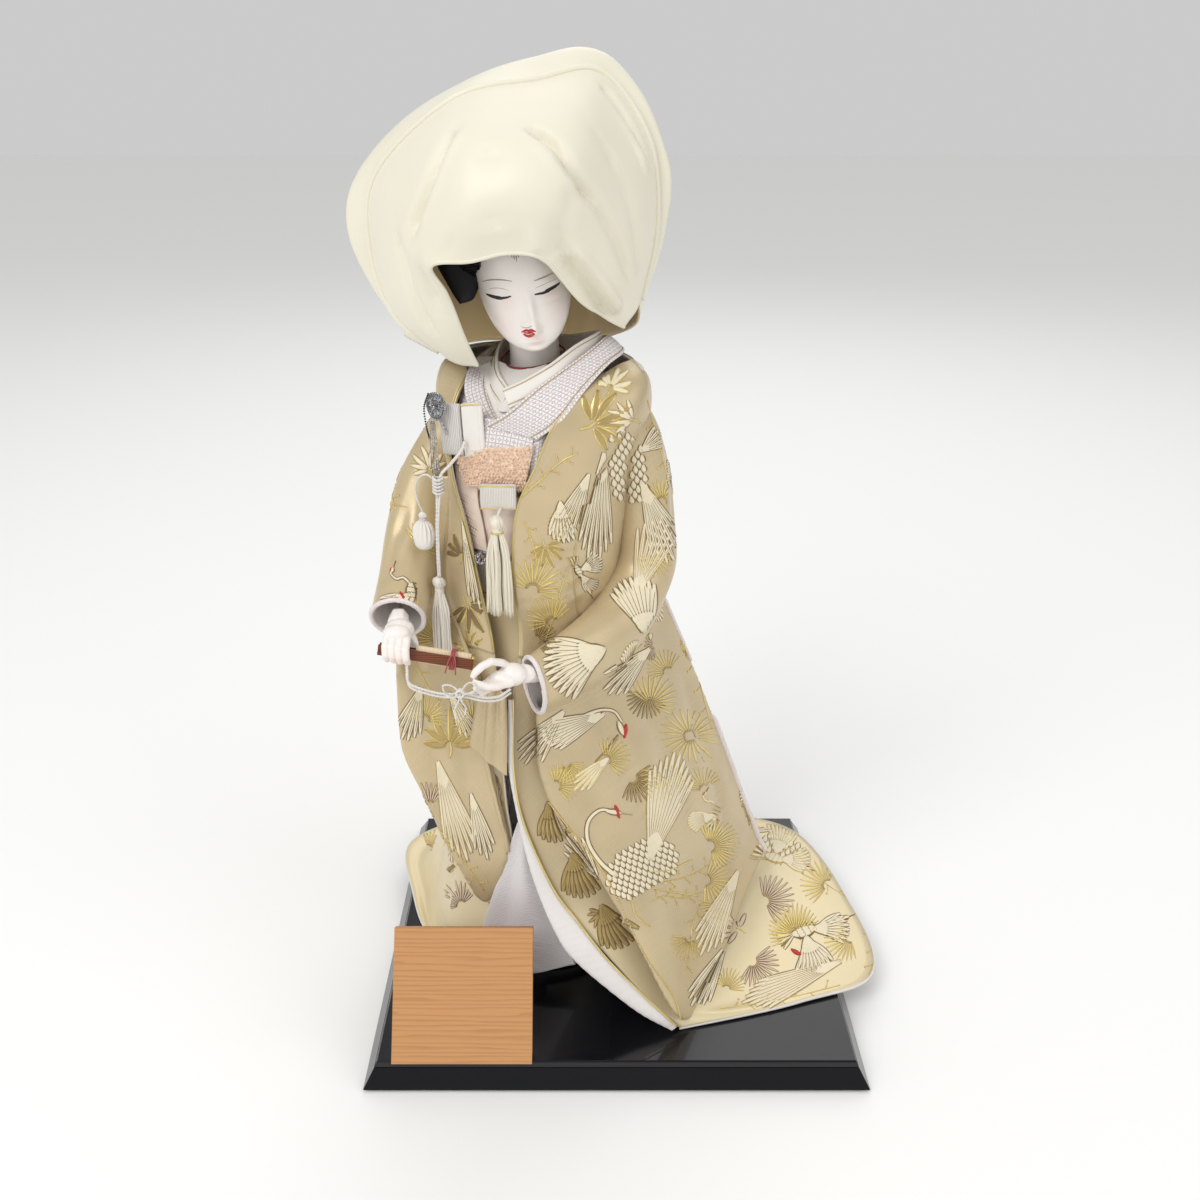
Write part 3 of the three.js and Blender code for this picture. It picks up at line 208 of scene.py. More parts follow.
def grid_faces(down, across, closed=False):
    """Quads of a grid of down by across points."""
    j, i = np.meshgrid(np.arange(down - 1), np.arange(across - (0 if closed else 1)), indexing="ij")
    k = (i + 1) % across
    quads = np.stack([j * across + i, j * across + k, (j + 1) * across + k, (j + 1) * across + i], -1)
    return quads.reshape(-1, 4)


def grid_lengths(grid):
    """Distances over a grid, in metres, as a flat layout of the cloth."""
    along = np.linalg.norm(np.diff(grid, axis=1), axis=-1)
    across = np.linalg.norm(np.diff(grid, axis=0), axis=-1)
    u = np.concatenate([np.zeros((grid.shape[0], 1)), along.cumsum(1)], 1)
    v = np.concatenate([np.zeros((1, grid.shape[1])), across.cumsum(0)], 0)
    u = u - u[:, [grid.shape[1] // 2]]
    return np.stack([u, v], -1).reshape(-1, 2) / 1000


def mesh_piece(name, points, faces, finish, body=DOLL_BODY, layout=None, picks=None):
    """One object from points in millimetres. finish is a material or a list of them."""
    data = bpy.data.meshes.new(name)
    data.from_pydata(world(points).tolist(), [], [list(map(int, f)) for f in faces])
    for one in finish if isinstance(finish, (list, tuple)) else [finish]:
        data.materials.append(one)
    data.polygons.foreach_set("use_smooth", np.ones(len(data.polygons), bool))
    if picks is not None:
        data.polygons.foreach_set("material_index", np.asarray(picks, np.int32))
    if layout is not None:
        loops = np.empty(len(data.loops), np.int32)
        data.loops.foreach_get("vertex_index", loops)
        uv = data.uv_layers.new(name="flat")
        uv.data.foreach_set("uv", np.asarray(layout, np.float32)[loops].ravel())
    data.update()
    piece = bpy.data.objects.new(name, data)
    bpy.context.collection.objects.link(piece)
    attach(piece, body)
    return piece


class Heap:
    """Many small shapes gathered into one mesh."""

    def __init__(self):
        self.points = []
        self.faces = []
        self.flat = []
        self.count = 0

    def add(self, grid, closed=False, flat=None):
        down, across = grid.shape[:2]
        self.points.append(grid.reshape(-1, 3))
        self.faces.append(grid_faces(down, across, closed) + self.count)
        self.flat.append(grid_lengths(grid) if flat is None else flat.reshape(-1, 2))
        self.count += down * across

    def strand(self, points, radius, steps, **options):
        """Add a tube with pointed ends."""
        self.add(capped(rope(points, radius, steps, **options)[0]), closed=True)

    def ring(self, points, radius, steps, **options):
        """Add a tube whose line comes back to its start."""
        self.add(rope(points, radius, steps, **options)[0], closed=True)

    def put(self, name, finish, body=DOLL_BODY):
        return mesh_piece(name, np.concatenate(self.points), np.concatenate(self.faces), finish,
                          body, np.concatenate(self.flat))


def frames_along(line):
    """Tangent and two side directions, carried along a line without twisting."""
    tangent = unit(np.gradient(line, axis=0))
    side = np.array([0, 0, 1.0])
    if abs(tangent[0] @ side) > 0.9:
        side = np.array([1.0, 0.2, 0])
    sides = []
    for t in tangent:
        side = unit(side - t * (side @ t))
        sides.append(side)
    sides = np.array(sides)
    return tangent, sides, np.cross(tangent, sides)


def rope(points, radius, steps, sides=10, lobes=0, pitch=6.0, taper=None, smooth=True):
    """Tube along a line; with lobes it is a twisted cord of that many strands."""
    line = spline(points, np.linspace(0, 1, steps)) if smooth else np.asarray(points, float)
    _, a, b = frames_along(line)
    far = np.concatenate([[0], np.linalg.norm(np.diff(line, axis=0), axis=1).cumsum()])
    w = np.linspace(0, math.tau, sides, endpoint=False)
    turn = w[None] + (far / pitch * math.tau)[:, None] * (1 if lobes else 0)
    reach = np.full((steps if smooth else len(line), sides), float(radius))
    if lobes:
        reach = radius * (0.74 + 0.26 * np.abs(np.cos(w[None] * lobes / 2)))
        reach = np.repeat(reach, len(line), 0)
    if taper is not None:
        reach = reach * taper(np.linspace(0, 1, len(line)))[:, None]
    ring = a[:, None] * np.cos(turn)[..., None] + b[:, None] * np.sin(turn)[..., None]
    grid = line[:, None] + ring * reach[..., None]
    flat = np.stack(np.broadcast_arrays(w[None] * radius / 1000, far[:, None] / 1000), -1)
    return grid, flat


def capped(grid):
    """The same tube with both ends drawn to a point."""
    first = np.repeat(grid[:1].mean(1, keepdims=True), grid.shape[1], 1)
    last = np.repeat(grid[-1:].mean(1, keepdims=True), grid.shape[1], 1)
    return np.concatenate([first, grid, last])


def tube_piece(name, points, radius, steps, finish, body=DOLL_BODY, **options):
    heap = Heap()
    heap.strand(points, radius, steps, **options)
    return heap.put(name, finish, body)


def closed_piece(name, grid, finish, body=DOLL_BODY):
    """One closed form from a grid whose rows go round it."""
    heap = Heap()
    heap.add(grid, closed=True)
    return heap.put(name, finish, body)


def circle(steps, place):
    """Points round a circle and back to the first; place gives one from its cosine and sine."""
    return [place(math.cos(t), math.sin(t)) for t in np.linspace(0, math.tau, steps)]


def hoop(steps, place):
    """Points round a circle, without the first one again."""
    return [place(math.cos(t), math.sin(t)) for t in np.linspace(0, math.tau, steps, endpoint=False)]


def add_wall(piece, wall, offset=0.0, lining=0):
    """Give a sheet its thickness, in millimetres."""
    solid = piece.modifiers.new("wall", "SOLIDIFY")
    solid.thickness = wall / 1000
    solid.offset = offset
    solid.use_even_offset = False
    solid.material_offset = lining
    solid.material_offset_rim = lining
    return piece


def cloth(name, grid, wall, finish, body=DOLL_BODY, lining=None,
          outward=None, node=None):
    """A sheet of cloth from a grid, laid out flat by its own lengths; it may replace a node."""
    if outward is not None:
        n = normals_of(grid)
        if (n * (grid - np.asarray(outward, float))).sum(-1).mean() < 0:
            grid = grid[:, ::-1]
    down, across = grid.shape[:2]
    looks = [finish] if lining is None else [finish, lining]
    piece = mesh_piece(name, grid.reshape(-1, 3), grid_faces(down, across), looks, body,
                       grid_lengths(grid))
    add_wall(piece, wall, 0.0, 0 if lining is None else 1)
    if node:
        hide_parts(node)
    return piece


def tree_of(piece):
    """Search tree of a piece's own mesh, in millimetres."""
    data = piece.data
    points = local(np.array([v.co for v in data.vertices]))
    return BVHTree.FromPolygons(points.tolist(), [tuple(f.vertices) for f in data.polygons])


# Finishes

class Desk:
    """Short hand for laying out shader nodes."""

    def __init__(self, tree):
        self.tree = tree

    def node(self, kind, **settings):
        n = self.tree.nodes.new(kind)
        for key, value in settings.items():
            setattr(n, key, value)
        return n

    def feed(self, socket, value):
        if isinstance(value, bpy.types.NodeSocket):
            self.tree.links.new(value, socket)
        elif value is not None:
            if getattr(socket, "type", "") == "RGBA" and len(value) == 3:
                value = (*value, 1)
            socket.default_value = value

    def math(self, how, a, b=None, c=None):
        n = self.node("ShaderNodeMath", operation=how)
        for k, value in enumerate((a, b, c)):
            self.feed(n.inputs[k], value)
        return n.outputs[0]

    def vector(self, how, a, b=None, scale=None):
        n = self.node("ShaderNodeVectorMath", operation=how)
        self.feed(n.inputs[0], a)
        self.feed(n.inputs[1], b)
        if scale is not None:
            self.feed(n.inputs["Scale"], scale)
        return n.outputs["Value"] if how in ("DISTANCE", "LENGTH", "DOT_PRODUCT") else n.outputs[0]

    def blend(self, a, b, share, how="MIX"):
        n = self.node("ShaderNodeMix", data_type="RGBA", blend_type=how)
        self.feed(n.inputs[0], share)
        self.feed(n.inputs[6], a)
        self.feed(n.inputs[7], b)
        return n.outputs[2]

    def cycle(self, turns):
        """A sine that repeats once per unit."""
        return self.math("SINE", self.math("MULTIPLY", turns, 6.283))

    def noise(self, at, scale, detail=3.0, rough=0.55):
        n = self.node("ShaderNodeTexNoise")
        self.feed(n.inputs["Vector"], at)
        self.feed(n.inputs["Scale"], scale)
        self.feed(n.inputs["Detail"], detail)
        self.feed(n.inputs["Roughness"], rough)
        return n.outputs[0]

    def step(self, value, low, high):
        n = self.node("ShaderNodeMapRange", interpolation_type="SMOOTHSTEP")
        for k, one in enumerate((value, low, high, 0.0, 1.0)):
            self.feed(n.inputs[k], one)
        return n.outputs[0]

    def split(self, at):
        n = self.node("ShaderNodeSeparateXYZ")
        self.feed(n.inputs[0], at)
        return n.outputs[0], n.outputs[1], n.outputs[2]

    def use(self, effect, **values):
        n = self.node("ShaderNodeGroup", node_tree=effect)
        for key, value in values.items():
            self.feed(n.inputs[key.replace("_", " ")], value)
        return n.outputs


def effect(name, inputs, outputs, lay_out):
    """A shared effect as a node group. lay_out(desk, inputs) gives the output values."""
    tree = bpy.data.node_groups.new(name, "ShaderNodeTree")
    for label, value in inputs:
        kind = "NodeSocketVector" if value is None else "NodeSocketFloat"
        socket = tree.interface.new_socket(name=label, in_out="INPUT", socket_type=kind)
        if value is not None:
            socket.default_value = value
    for label in outputs:
        tree.interface.new_socket(name=label, in_out="OUTPUT", socket_type="NodeSocketFloat")
    desk = Desk(tree)
    start = desk.node("NodeGroupInput")
    end = desk.node("NodeGroupOutput")
    made = lay_out(desk, {label: start.outputs[label] for label, _ in inputs})
    for label, value in zip(outputs, made):
        desk.feed(end.inputs[label], value)
    return tree


def lay_weave(d, given):
    x, y, z = d.split(d.vector("SCALE", given["At"], scale=given["Threads"]))
    warp = d.cycle(d.math("ADD", x, z))
    weft = d.cycle(d.math("SUBTRACT", y, z))
    over = d.math("MULTIPLY", warp, weft)
    slub = d.noise(given["At"], 900.0, 2.0)
    height = d.math("ADD", d.math("MULTIPLY", over, 0.5), d.math("MULTIPLY", slub, 0.6))
    return height, d.step(over, -0.4, 0.6)


def lay_satin(d, given):
    x, y, z = d.split(d.vector("SCALE", given["At"], scale=given["Threads"]))
    twill = d.cycle(d.math("ADD", d.math("ADD", x, y), z))
    streak = d.noise(given["At"], 260.0, 4.0, 0.7)
    cloud = d.noise(given["At"], 22.0, 2.0)
    height = d.math("ADD", d.math("MULTIPLY", twill, 0.04), d.math("MULTIPLY", streak, 0.8))
    return height, cloud


def lay_ribs(d, given):
    x, y, _ = d.split(d.vector("SCALE", given["At"], scale=given["Ribs"]))
    wobble = d.math("MULTIPLY", d.noise(given["At"], 120.0), 0.5)
    rib = d.cycle(d.math("ADD", y, wobble))
    cross = d.math("SINE", d.math("MULTIPLY", x, 15.0))
    height = d.math("ADD", rib, d.math("MULTIPLY", cross, 0.25))
    return height, d.step(rib, -0.8, 0.4)


def lay_crepe(d, given):
    cell = d.node("ShaderNodeTexVoronoi", feature="SMOOTH_F1")
    d.feed(cell.inputs["Vector"], given["At"])
    d.feed(cell.inputs["Scale"], given["Grain"])
    pucker = cell.outputs["Distance"]
    fine = d.noise(given["At"], 1500.0, 2.0)
    return d.math("ADD", pucker, d.math("MULTIPLY", fine, 0.4)), d.step(pucker, 0.1, 0.6)


def lay_rosettes(d, given):
    x, y, _ = d.split(d.vector("SCALE", given["At"], scale=given["Squares"]))
    a = d.math("SUBTRACT", d.math("FRACT", x), 0.5)
    b = d.math("SUBTRACT", d.math("FRACT", y), 0.5)
    edge = d.math("MAXIMUM", d.math("ABSOLUTE", a), d.math("ABSOLUTE", b))
    line = d.step(edge, 0.40, 0.45)
    reach = d.math("SQRT", d.math("ADD", d.math("MULTIPLY", a, a), d.math("MULTIPLY", b, b)))
    turn = d.math("ARCTAN2", b, a)
    petal = d.math("MULTIPLY_ADD", d.math("COSINE", d.math("MULTIPLY", turn, 4.0)), 0.09, 0.24)
    flower = d.math("SUBTRACT", 1.0, d.step(d.math("SUBTRACT", reach, petal), -0.04, 0.04))
    heart = d.math("SUBTRACT", 1.0, d.step(reach, 0.05, 0.09))
    shape = d.math("MAXIMUM", line, d.math("SUBTRACT", flower, heart))
    return shape, shape


def lay_lattice(d, given):
    x, y, z = d.split(d.vector("SCALE", given["At"], scale=given["Cells"]))
    a = d.math("ADD", d.math("ADD", x, y), d.math("MULTIPLY", z, 0.6))
    b = d.math("SUBTRACT", d.math("SUBTRACT", x, y), d.math("MULTIPLY", z, 0.6))
    fold = [d.math("ABSOLUTE", d.math("SUBTRACT", d.math("FRACT", one), 0.5)) for one in (a, b)]
    line = d.math("MAXIMUM", d.step(fold[0], 0.36, 0.42), d.step(fold[1], 0.36, 0.42))
    dot = d.math("SUBTRACT", 1.0, d.step(d.math("ADD", fold[0], fold[1]), 0.14, 0.22))
    patch = d.step(d.noise(given["At"], 34.0, 2.0), 0.42, 0.58)
    return (d.math("MULTIPLY", d.math("MAXIMUM", line, dot), patch),)


def lay_grain(d, given):
    x, y, z = d.split(given["At"])
    n = d.node("ShaderNodeCombineXYZ")
    d.feed(n.inputs[0], d.math("MULTIPLY", x, 0.06))
    d.feed(n.inputs[1], y)
    d.feed(n.inputs[2], z)
    bend = d.noise(n.outputs[0], 30.0, 3.0)
    uneven = d.noise(n.outputs[0], 160.0, 2.0)
    place = d.math("ADD", z, d.math("MULTIPLY", bend, 0.012))
    rings = d.math("MULTIPLY_ADD", place, given["Rings"], d.math("MULTIPLY", uneven, 2.4))
    saw = d.math("FRACT", rings)
    late = d.step(saw, 0.35, 0.95)
    fibre = d.noise(n.outputs[0], 1400.0, 2.0)
    return d.math("MULTIPLY", late, d.math("SUBTRACT", 1.0, d.step(saw, 0.95, 1.0))), fibre


def lay_strands(d, given):
    x, y, z = d.split(given["At"])
    n = d.node("ShaderNodeCombineXYZ")
    d.feed(n.inputs[0], d.math("MULTIPLY", x, given["Across"]))
    d.feed(n.inputs[1], d.math("MULTIPLY", y, given["Along"]))
    d.feed(n.inputs[2], d.math("MULTIPLY", z, given["Across"]))
    return d.noise(n.outputs[0], 1.0, 3.0, 0.7), d.noise(n.outputs[0], 0.2, 2.0)


WEAVE = effect("plain_weave", [("At", None), ("Threads", 1200.0)], ["Height", "Mask"], lay_weave)
SATIN = effect("satin_face", [("At", None), ("Threads", 1500.0)], ["Height", "Cloud"], lay_satin)
RIBS = effect("ribbed_silk", [("At", None), ("Ribs", 700.0)], ["Height", "Mask"], lay_ribs)
CREPE = effect("crinkled_crepe", [("At", None), ("Grain", 700.0)], ["Height", "Mask"], lay_crepe)
ROSETTES = effect("rosette_squares", [("At", None), ("Squares", 240.0)], ["Height", "Mask"],
                  lay_rosettes)
LATTICE = effect("brocade_ground", [("At", None), ("Cells", 180.0)], ["Mask"], lay_lattice)
GRAIN = effect("straight_grain", [("At", None), ("Rings", 900.0)], ["Late", "Fibre"], lay_grain)
STRANDS = effect("laid_strands", [("At", None), ("Across", 2600.0), ("Along", 60.0)],
                 ["Height", "Tone"],
                 lay_strands)


class Finish:
    """One material: its desk, its shader and its coordinates."""

    def __init__(self, name, roughness=0.6, metallic=0.0, sheen=0.0, coat=0.0, specular=0.5,
                 coat_roughness=0.1, from_layout=False):
        self.material = bpy.data.materials.new(name)
        self.material.use_nodes = True
        self.desk = Desk(self.material.node_tree)
        self.shader = self.material.node_tree.nodes["Principled BSDF"]
        self.set("Roughness", roughness)
        self.set("Metallic", metallic)
        self.set("Specular IOR Level", specular)
        if sheen:
            self.set("Sheen Weight", sheen)
            self.set("Sheen Roughness", 0.35)
        if coat:
            self.set("Coat Weight", coat)
            self.set("Coat Roughness", coat_roughness)
        coordinates = self.desk.node("ShaderNodeTexCoord")
        self.at = coordinates.outputs["UV" if from_layout else "Object"]

    def set(self, socket, value):
        self.desk.feed(self.shader.inputs[socket], value)

    def raise_by(self, height, distance):
        """Surface relief of that many millimetres."""
        bump = self.desk.node("ShaderNodeBump")
        bump.inputs["Strength"].default_value = 1.0
        bump.inputs["Distance"].default_value = distance / 1000
        self.desk.feed(bump.inputs["Height"], height)
        self.desk.feed(self.shader.inputs["Normal"], bump.outputs[0])


def woven(name, light, dark, threads=1200.0, relief=0.06, roughness=0.65, sheen=0.2, from_layout=False):
    f = Finish(name, roughness, sheen=sheen, specular=0.3, from_layout=from_layout)
    out = f.desk.use(WEAVE, At=f.at, Threads=threads)
    cloud = f.desk.noise(f.at, 60.0)
    tone = f.desk.math("MULTIPLY_ADD", cloud, 0.5, f.desk.math("MULTIPLY", out["Mask"], 0.5))
    f.set("Base Color", f.desk.blend(dark, light, tone))
    f.raise_by(out["Height"], relief)
    return f.material


def satin(name, light, dark, roughness=0.42, sheen=0.25):
    f = Finish(name, roughness, sheen=sheen, specular=0.45)
    out = f.desk.use(SATIN, At=f.at, Threads=1500.0)
    f.set("Base Color", f.desk.blend(dark, light, out["Cloud"]))
    f.set("Roughness", f.desk.math("MULTIPLY_ADD", out["Cloud"], 0.16, roughness - 0.08))
    f.raise_by(out["Height"], 0.03)
    return f.material


def brocade(name, ground, figure, shade, cells=180.0, train=None, pattern=0.12):
    f = Finish(name, 0.4, metallic=0.18, sheen=0.25, specular=0.55)
    d = f.desk
    face = d.use(SATIN, At=f.at, Threads=1600.0)
    mask = d.use(LATTICE, At=f.at, Cells=cells)["Mask"]
    base = d.blend(shade, ground, d.step(face["Cloud"], 0.3, 0.65))
    colour = d.blend(base, figure, d.math("MULTIPLY", mask, pattern))
    # painted light: below about 0.1 m, where the train lies on the floor open to the lamps, the colour
    # is painted paler and creamier
    if train is not None:
        height_up = d.split(f.at)[2]
        low = d.math("SUBTRACT", 1.0, d.step(d.math("MULTIPLY_ADD", face["Cloud"], 0.03, height_up),
                                             0.05, 0.15))
        colour = d.blend(colour, train, d.math("MULTIPLY", low, 0.8))
    f.set("Base Color", colour)
    f.set("Roughness", d.math("MULTIPLY_ADD", face["Cloud"], 0.14, 0.27))
    height = d.math("ADD", face["Height"], d.math("MULTIPLY", mask, 2.5 * pattern))
    f.raise_by(height, 0.05)
    return f.material


def ribbed(name, light, dark, ribs, relief, roughness=0.6):
    f = Finish(name, roughness, sheen=0.2, specular=0.3, from_layout=True)
    out = f.desk.use(RIBS, At=f.at, Ribs=ribs)
    f.set("Base Color", f.desk.blend(dark, light, out["Mask"]))
    f.raise_by(out["Height"], relief)
    return f.material


def thread(name, light, dark, metallic=0.0, roughness=0.5, across=2600.0, along=60.0):
    f = Finish(name, roughness, metallic=metallic, sheen=0.15, specular=0.45, from_layout=True)
    out = f.desk.use(STRANDS, At=f.at, Across=across, Along=along)
    f.set("Base Color", f.desk.blend(dark, light, f.desk.step(out["Height"], 0.3, 0.7)))
    f.raise_by(out["Height"], 0.08)
    return f.material


def lacquer():
    f = Finish("black_lacquer", 0.16, coat=0.4, coat_roughness=0.05, specular=0.3)
    d = f.desk
    dust = d.step(d.noise(f.at, 1800.0, 2.0), 0.68, 0.8)
    smear = d.noise(f.at, 14.0, 4.0, 0.7)
    f.set("Base Color", d.blend((0.006, 0.006, 0.008), (0.05, 0.05, 0.052),
                                d.math("MULTIPLY", dust, 0.35)))
    f.set("Roughness", d.math("MULTIPLY_ADD", smear, 0.2, 0.1))
    f.raise_by(d.noise(f.at, 70.0, 2.0), 0.02)
    return f.material


def cedar():
    f = Finish("bare_cedar", 0.62, specular=0.35)
    d = f.desk
    out = d.use(GRAIN, At=f.at, Rings=420.0)
    late = d.math("MULTIPLY", out["Late"], d.math("MULTIPLY_ADD", d.noise(f.at, 25.0, 2.0), 0.6, 0.25))
    base = d.blend((0.54, 0.265, 0.10), (0.36, 0.145, 0.048), late)
    f.set("Base Color", d.blend(base, (0.63, 0.35, 0.16), d.math("MULTIPLY", out["Fibre"], 0.4)))
    f.raise_by(d.math("SUBTRACT", out["Fibre"], late), 0.04)
    return f.material


def plain_wood(name, light, dark, roughness=0.5, coat=0.0):
    f = Finish(name, roughness, coat=coat)
    out = f.desk.use(GRAIN, At=f.at, Rings=900.0)
    f.set("Base Color", f.desk.blend(light, dark, out["Late"]))
    f.raise_by(out["Fibre"], 0.03)
    return f.material


def metal(name, light, dark, roughness=0.3):
    f = Finish(name, roughness, metallic=1.0)
    tarnish = f.desk.step(f.desk.noise(f.at, 700.0, 3.0), 0.35, 0.7)
    f.set("Base Color", f.desk.blend(dark, light, tarnish))
    f.set("Roughness", f.desk.math("MULTIPLY_ADD", tarnish, -0.12, roughness + 0.1))
    f.raise_by(f.desk.noise(f.at, 2500.0, 2.0), 0.02)
    return f.material


def shell_white(name, blush_spots=()):
    """Polished shell-white skin; each blush is (point in metres, radius, strength)."""
    f = Finish(name, 0.3, specular=0.5, coat=0.25, coat_roughness=0.25)
    d = f.desk
    tone = d.noise(f.at, 90.0, 3.0)
    colour = d.blend((0.86, 0.80, 0.75), (0.90, 0.855, 0.81), tone)
    for point, radius, strength in blush_spots:
        away = d.vector("DISTANCE", f.at, tuple(point))
        near = d.math("SUBTRACT", 1.0, d.step(away, 0.0, radius))
        colour = d.blend(colour, (0.86, 0.42, 0.38), d.math("MULTIPLY", near, strength))
    f.set("Base Color", colour)
    f.raise_by(d.noise(f.at, 400.0, 2.0), 0.015)
    return f.material


def hair_finish():
    f = Finish("combed_black_hair", 0.36, specular=0.22)
    out = f.desk.use(STRANDS, At=f.at, Across=1900.0, Along=120.0)
    f.set("Base Color", f.desk.blend((0.002, 0.002, 0.003), (0.016, 0.015, 0.017), out["Height"]))
    f.raise_by(out["Height"], 0.12)
    return f.material


def paint(name, colour, roughness=0.45):
    f = Finish(name, roughness)
    tone = f.desk.noise(f.at, 1200.0, 2.0)
    f.set("Base Color", f.desk.blend(tuple(c * 0.75 for c in colour), colour, tone))
    return f.material


def rosette_silk():
    f = Finish("rosette_collar_silk", 0.55, sheen=0.2, specular=0.3, from_layout=True)
    d = f.desk
    out = d.use(ROSETTES, At=f.at, Squares=230.0)
    fine = d.use(WEAVE, At=f.at, Threads=1400.0)
    colour = d.blend((0.84, 0.80, 0.78), (0.50, 0.44, 0.455), d.math("MULTIPLY", out["Mask"], 0.85))
    f.set("Base Color", colour)
    f.raise_by(d.math("SUBTRACT", d.math("MULTIPLY", fine["Height"], 0.3), out["Height"]), 0.12)
    return f.material


LACQUER = lacquer()
CEDAR = cedar()
FELT = woven("black_felt", (0.03, 0.03, 0.034), (0.012, 0.012, 0.014), 700.0, 0.2, 0.95, 0.3)
HOOD_SATIN = satin("ivory_hood_satin", (0.80, 0.765, 0.64), (0.755, 0.71, 0.565), 0.46, 0.3)
CHAMPAGNE = ((0.60, 0.48, 0.285), (0.72, 0.61, 0.40), (0.53, 0.42, 0.25))
ROBE_BROCADE = brocade("champagne_brocade", *CHAMPAGNE)
# the robe's brocade, with painted light on its train
ROBE_SILK_LIT_TRAIN = brocade("champagne_brocade_with_painted_lit_train", *CHAMPAGNE, train=(0.80, 0.69, 0.44))
# painted shade: the hood's inner side is the same ivory satin as its outside, coloured ochre to stand
# for the shade inside the hood
HOOD_INSIDE_SHADE = satin("ochre_painted_shade_hood_inside", (0.74, 0.60, 0.36), (0.64, 0.50, 0.27), 0.5, 0.2)
LINING = woven("white_lining_silk", (0.80, 0.76, 0.71), (0.70, 0.64, 0.60), 1000.0, 0.1, 0.6)
HEM_SILK = woven("white_hem_silk", (0.80, 0.765, 0.73), (0.70, 0.66, 0.64), 800.0, 0.12, 0.6)
FLUFF = woven("fluffy_cuff_wadding", (0.86, 0.80, 0.78), (0.78, 0.68, 0.66), 500.0, 0.35, 0.9, 0.6)
SKIRT_SILK = ribbed("white_skirt_crepe", (0.82, 0.79, 0.78), (0.70, 0.66, 0.68), 850.0, 0.1)
KIMONO_SILK = brocade("silver_beige_kimono", (0.70, 0.64, 0.53), (0.84, 0.80, 0.72),
                      (0.62, 0.56, 0.46), 260.0, pattern=0.7)
OBI_SILK = brocade("flecked_obi_silk", (0.84, 0.70, 0.60), (0.34, 0.22, 0.13), (0.88, 0.74, 0.64),
                   380.0, pattern=0.9)
PLAIN_WHITE = woven("white_collar_silk", (0.84, 0.81, 0.76), (0.76, 0.72, 0.66), 1300.0, 0.05, 0.55,
                    0.25, True)
CREAM_COLLAR = satin("cream_robe_lining", (0.76, 0.70, 0.56), (0.68, 0.61, 0.46))
ROSETTE_SILK = rosette_silk()
WALLET_SILK = ribbed("ribbed_wallet_silk", (0.84, 0.80, 0.75), (0.62, 0.58, 0.56), 900.0, 0.16)
DAGGER_SILK = ribbed("ribbed_dagger_bag", (0.85, 0.80, 0.74), (0.66, 0.60, 0.54), 1000.0, 0.14)
GOLD_THREAD = thread("bright_gold_thread", (0.92, 0.76, 0.30), (0.62, 0.46, 0.14), 0.45, 0.30)
DULL_GOLD = thread("old_gold_thread", (0.60, 0.45, 0.19), (0.36, 0.25, 0.09), 0.4, 0.38)
IVORY_THREAD = thread("ivory_floss", (0.86, 0.78, 0.59), (0.74, 0.64, 0.44), 0.0, 0.38)
PINK_THREAD = thread("pinkish_floss", (0.76, 0.60, 0.46), (0.60, 0.45, 0.33), 0.0, 0.42)
BROWN_THREAD = thread("brown_outline_thread", (0.33, 0.235, 0.12), (0.18, 0.12, 0.055), 0.25, 0.42)
RED_THREAD = thread("red_crown_thread", (0.62, 0.05, 0.02), (0.40, 0.02, 0.01), 0.0, 0.5)
WHITE_CORD = thread("white_silk_cord", (0.84, 0.81, 0.76), (0.66, 0.62, 0.57), 0.0, 0.55, 1500.0, 400.0)
CREAM_FLOSS = thread("cream_tassel_floss", (0.86, 0.81, 0.68), (0.70, 0.63, 0.49), 0.0, 0.5, 3000.0,
                     30.0)
WHITE_FLOSS = thread("white_tassel_floss", (0.82, 0.78, 0.70), (0.64, 0.59, 0.51), 0.0, 0.5, 3000.0,
                     30.0)
RED_CORD = thread("dark_red_cord", (0.36, 0.035, 0.03), (0.16, 0.012, 0.012), 0.0, 0.5, 1500.0, 400.0)
ROSE_CORD = thread("rose_tie_thread", (0.58, 0.14, 0.13), (0.36, 0.06, 0.06), 0.0, 0.5, 1500.0, 400.0)
SILVER = metal("worn_silver", (0.72, 0.72, 0.74), (0.28, 0.28, 0.29), 0.26)
STEEL = metal("plain_steel", (0.56, 0.57, 0.58), (0.34, 0.34, 0.35), 0.38)
DARK_BEADS = metal("dark_bead_chain", (0.10, 0.10, 0.11), (0.03, 0.03, 0.035), 0.3)
FAN_WOOD = plain_wood("lacquered_bamboo", (0.20, 0.055, 0.018), (0.10, 0.024, 0.008), 0.3, 0.5)
PEG_WOOD = plain_wood("peg_wood", (0.60, 0.42, 0.22), (0.46, 0.30, 0.14))
STRAW = ribbed("bound_straw", (0.52, 0.40, 0.18), (0.30, 0.21, 0.08), 500.0, 0.5, 0.9)
FAN_PAPER = woven("gilt_edged_paper", (0.80, 0.66, 0.47), (0.68, 0.53, 0.34), 500.0, 0.04, 0.7)
FAN_GOLD = metal("gilt_fan_end", (0.80, 0.60, 0.26), (0.56, 0.38, 0.13), 0.34)
HAIR = hair_finish()
LASH = paint("lash_black", (0.02, 0.017, 0.016))
BROW = paint("soft_brow_grey", (0.42, 0.36, 0.33))
# grey of the painted lid lines, also used for the painted shade under the nose
LID_AND_NOSE_SHADE = paint("lid_line_and_nose_shade_grey", (0.50, 0.42, 0.38))
LIP = paint("lip_red", (0.62, 0.03, 0.02), 0.35)
HAIR_STROKES = paint("painted_hairline", (0.10, 0.08, 0.075))


def finish_node(node, material):
    """Give a carried-over solid its finish."""
    solid = frame["nodes"][node]
    solid.data.materials.clear()
    solid.data.materials.append(material)
    return solid


def soften(solid, width):
    """Worn edges on a carried-over solid, in millimetres."""
    bevel = solid.modifiers.new("worn_edges", "BEVEL")
    bevel.width = width / 1000
    bevel.segments = 2
    bevel.limit_method = "ANGLE"
    bevel.angle_limit = math.radians(35)


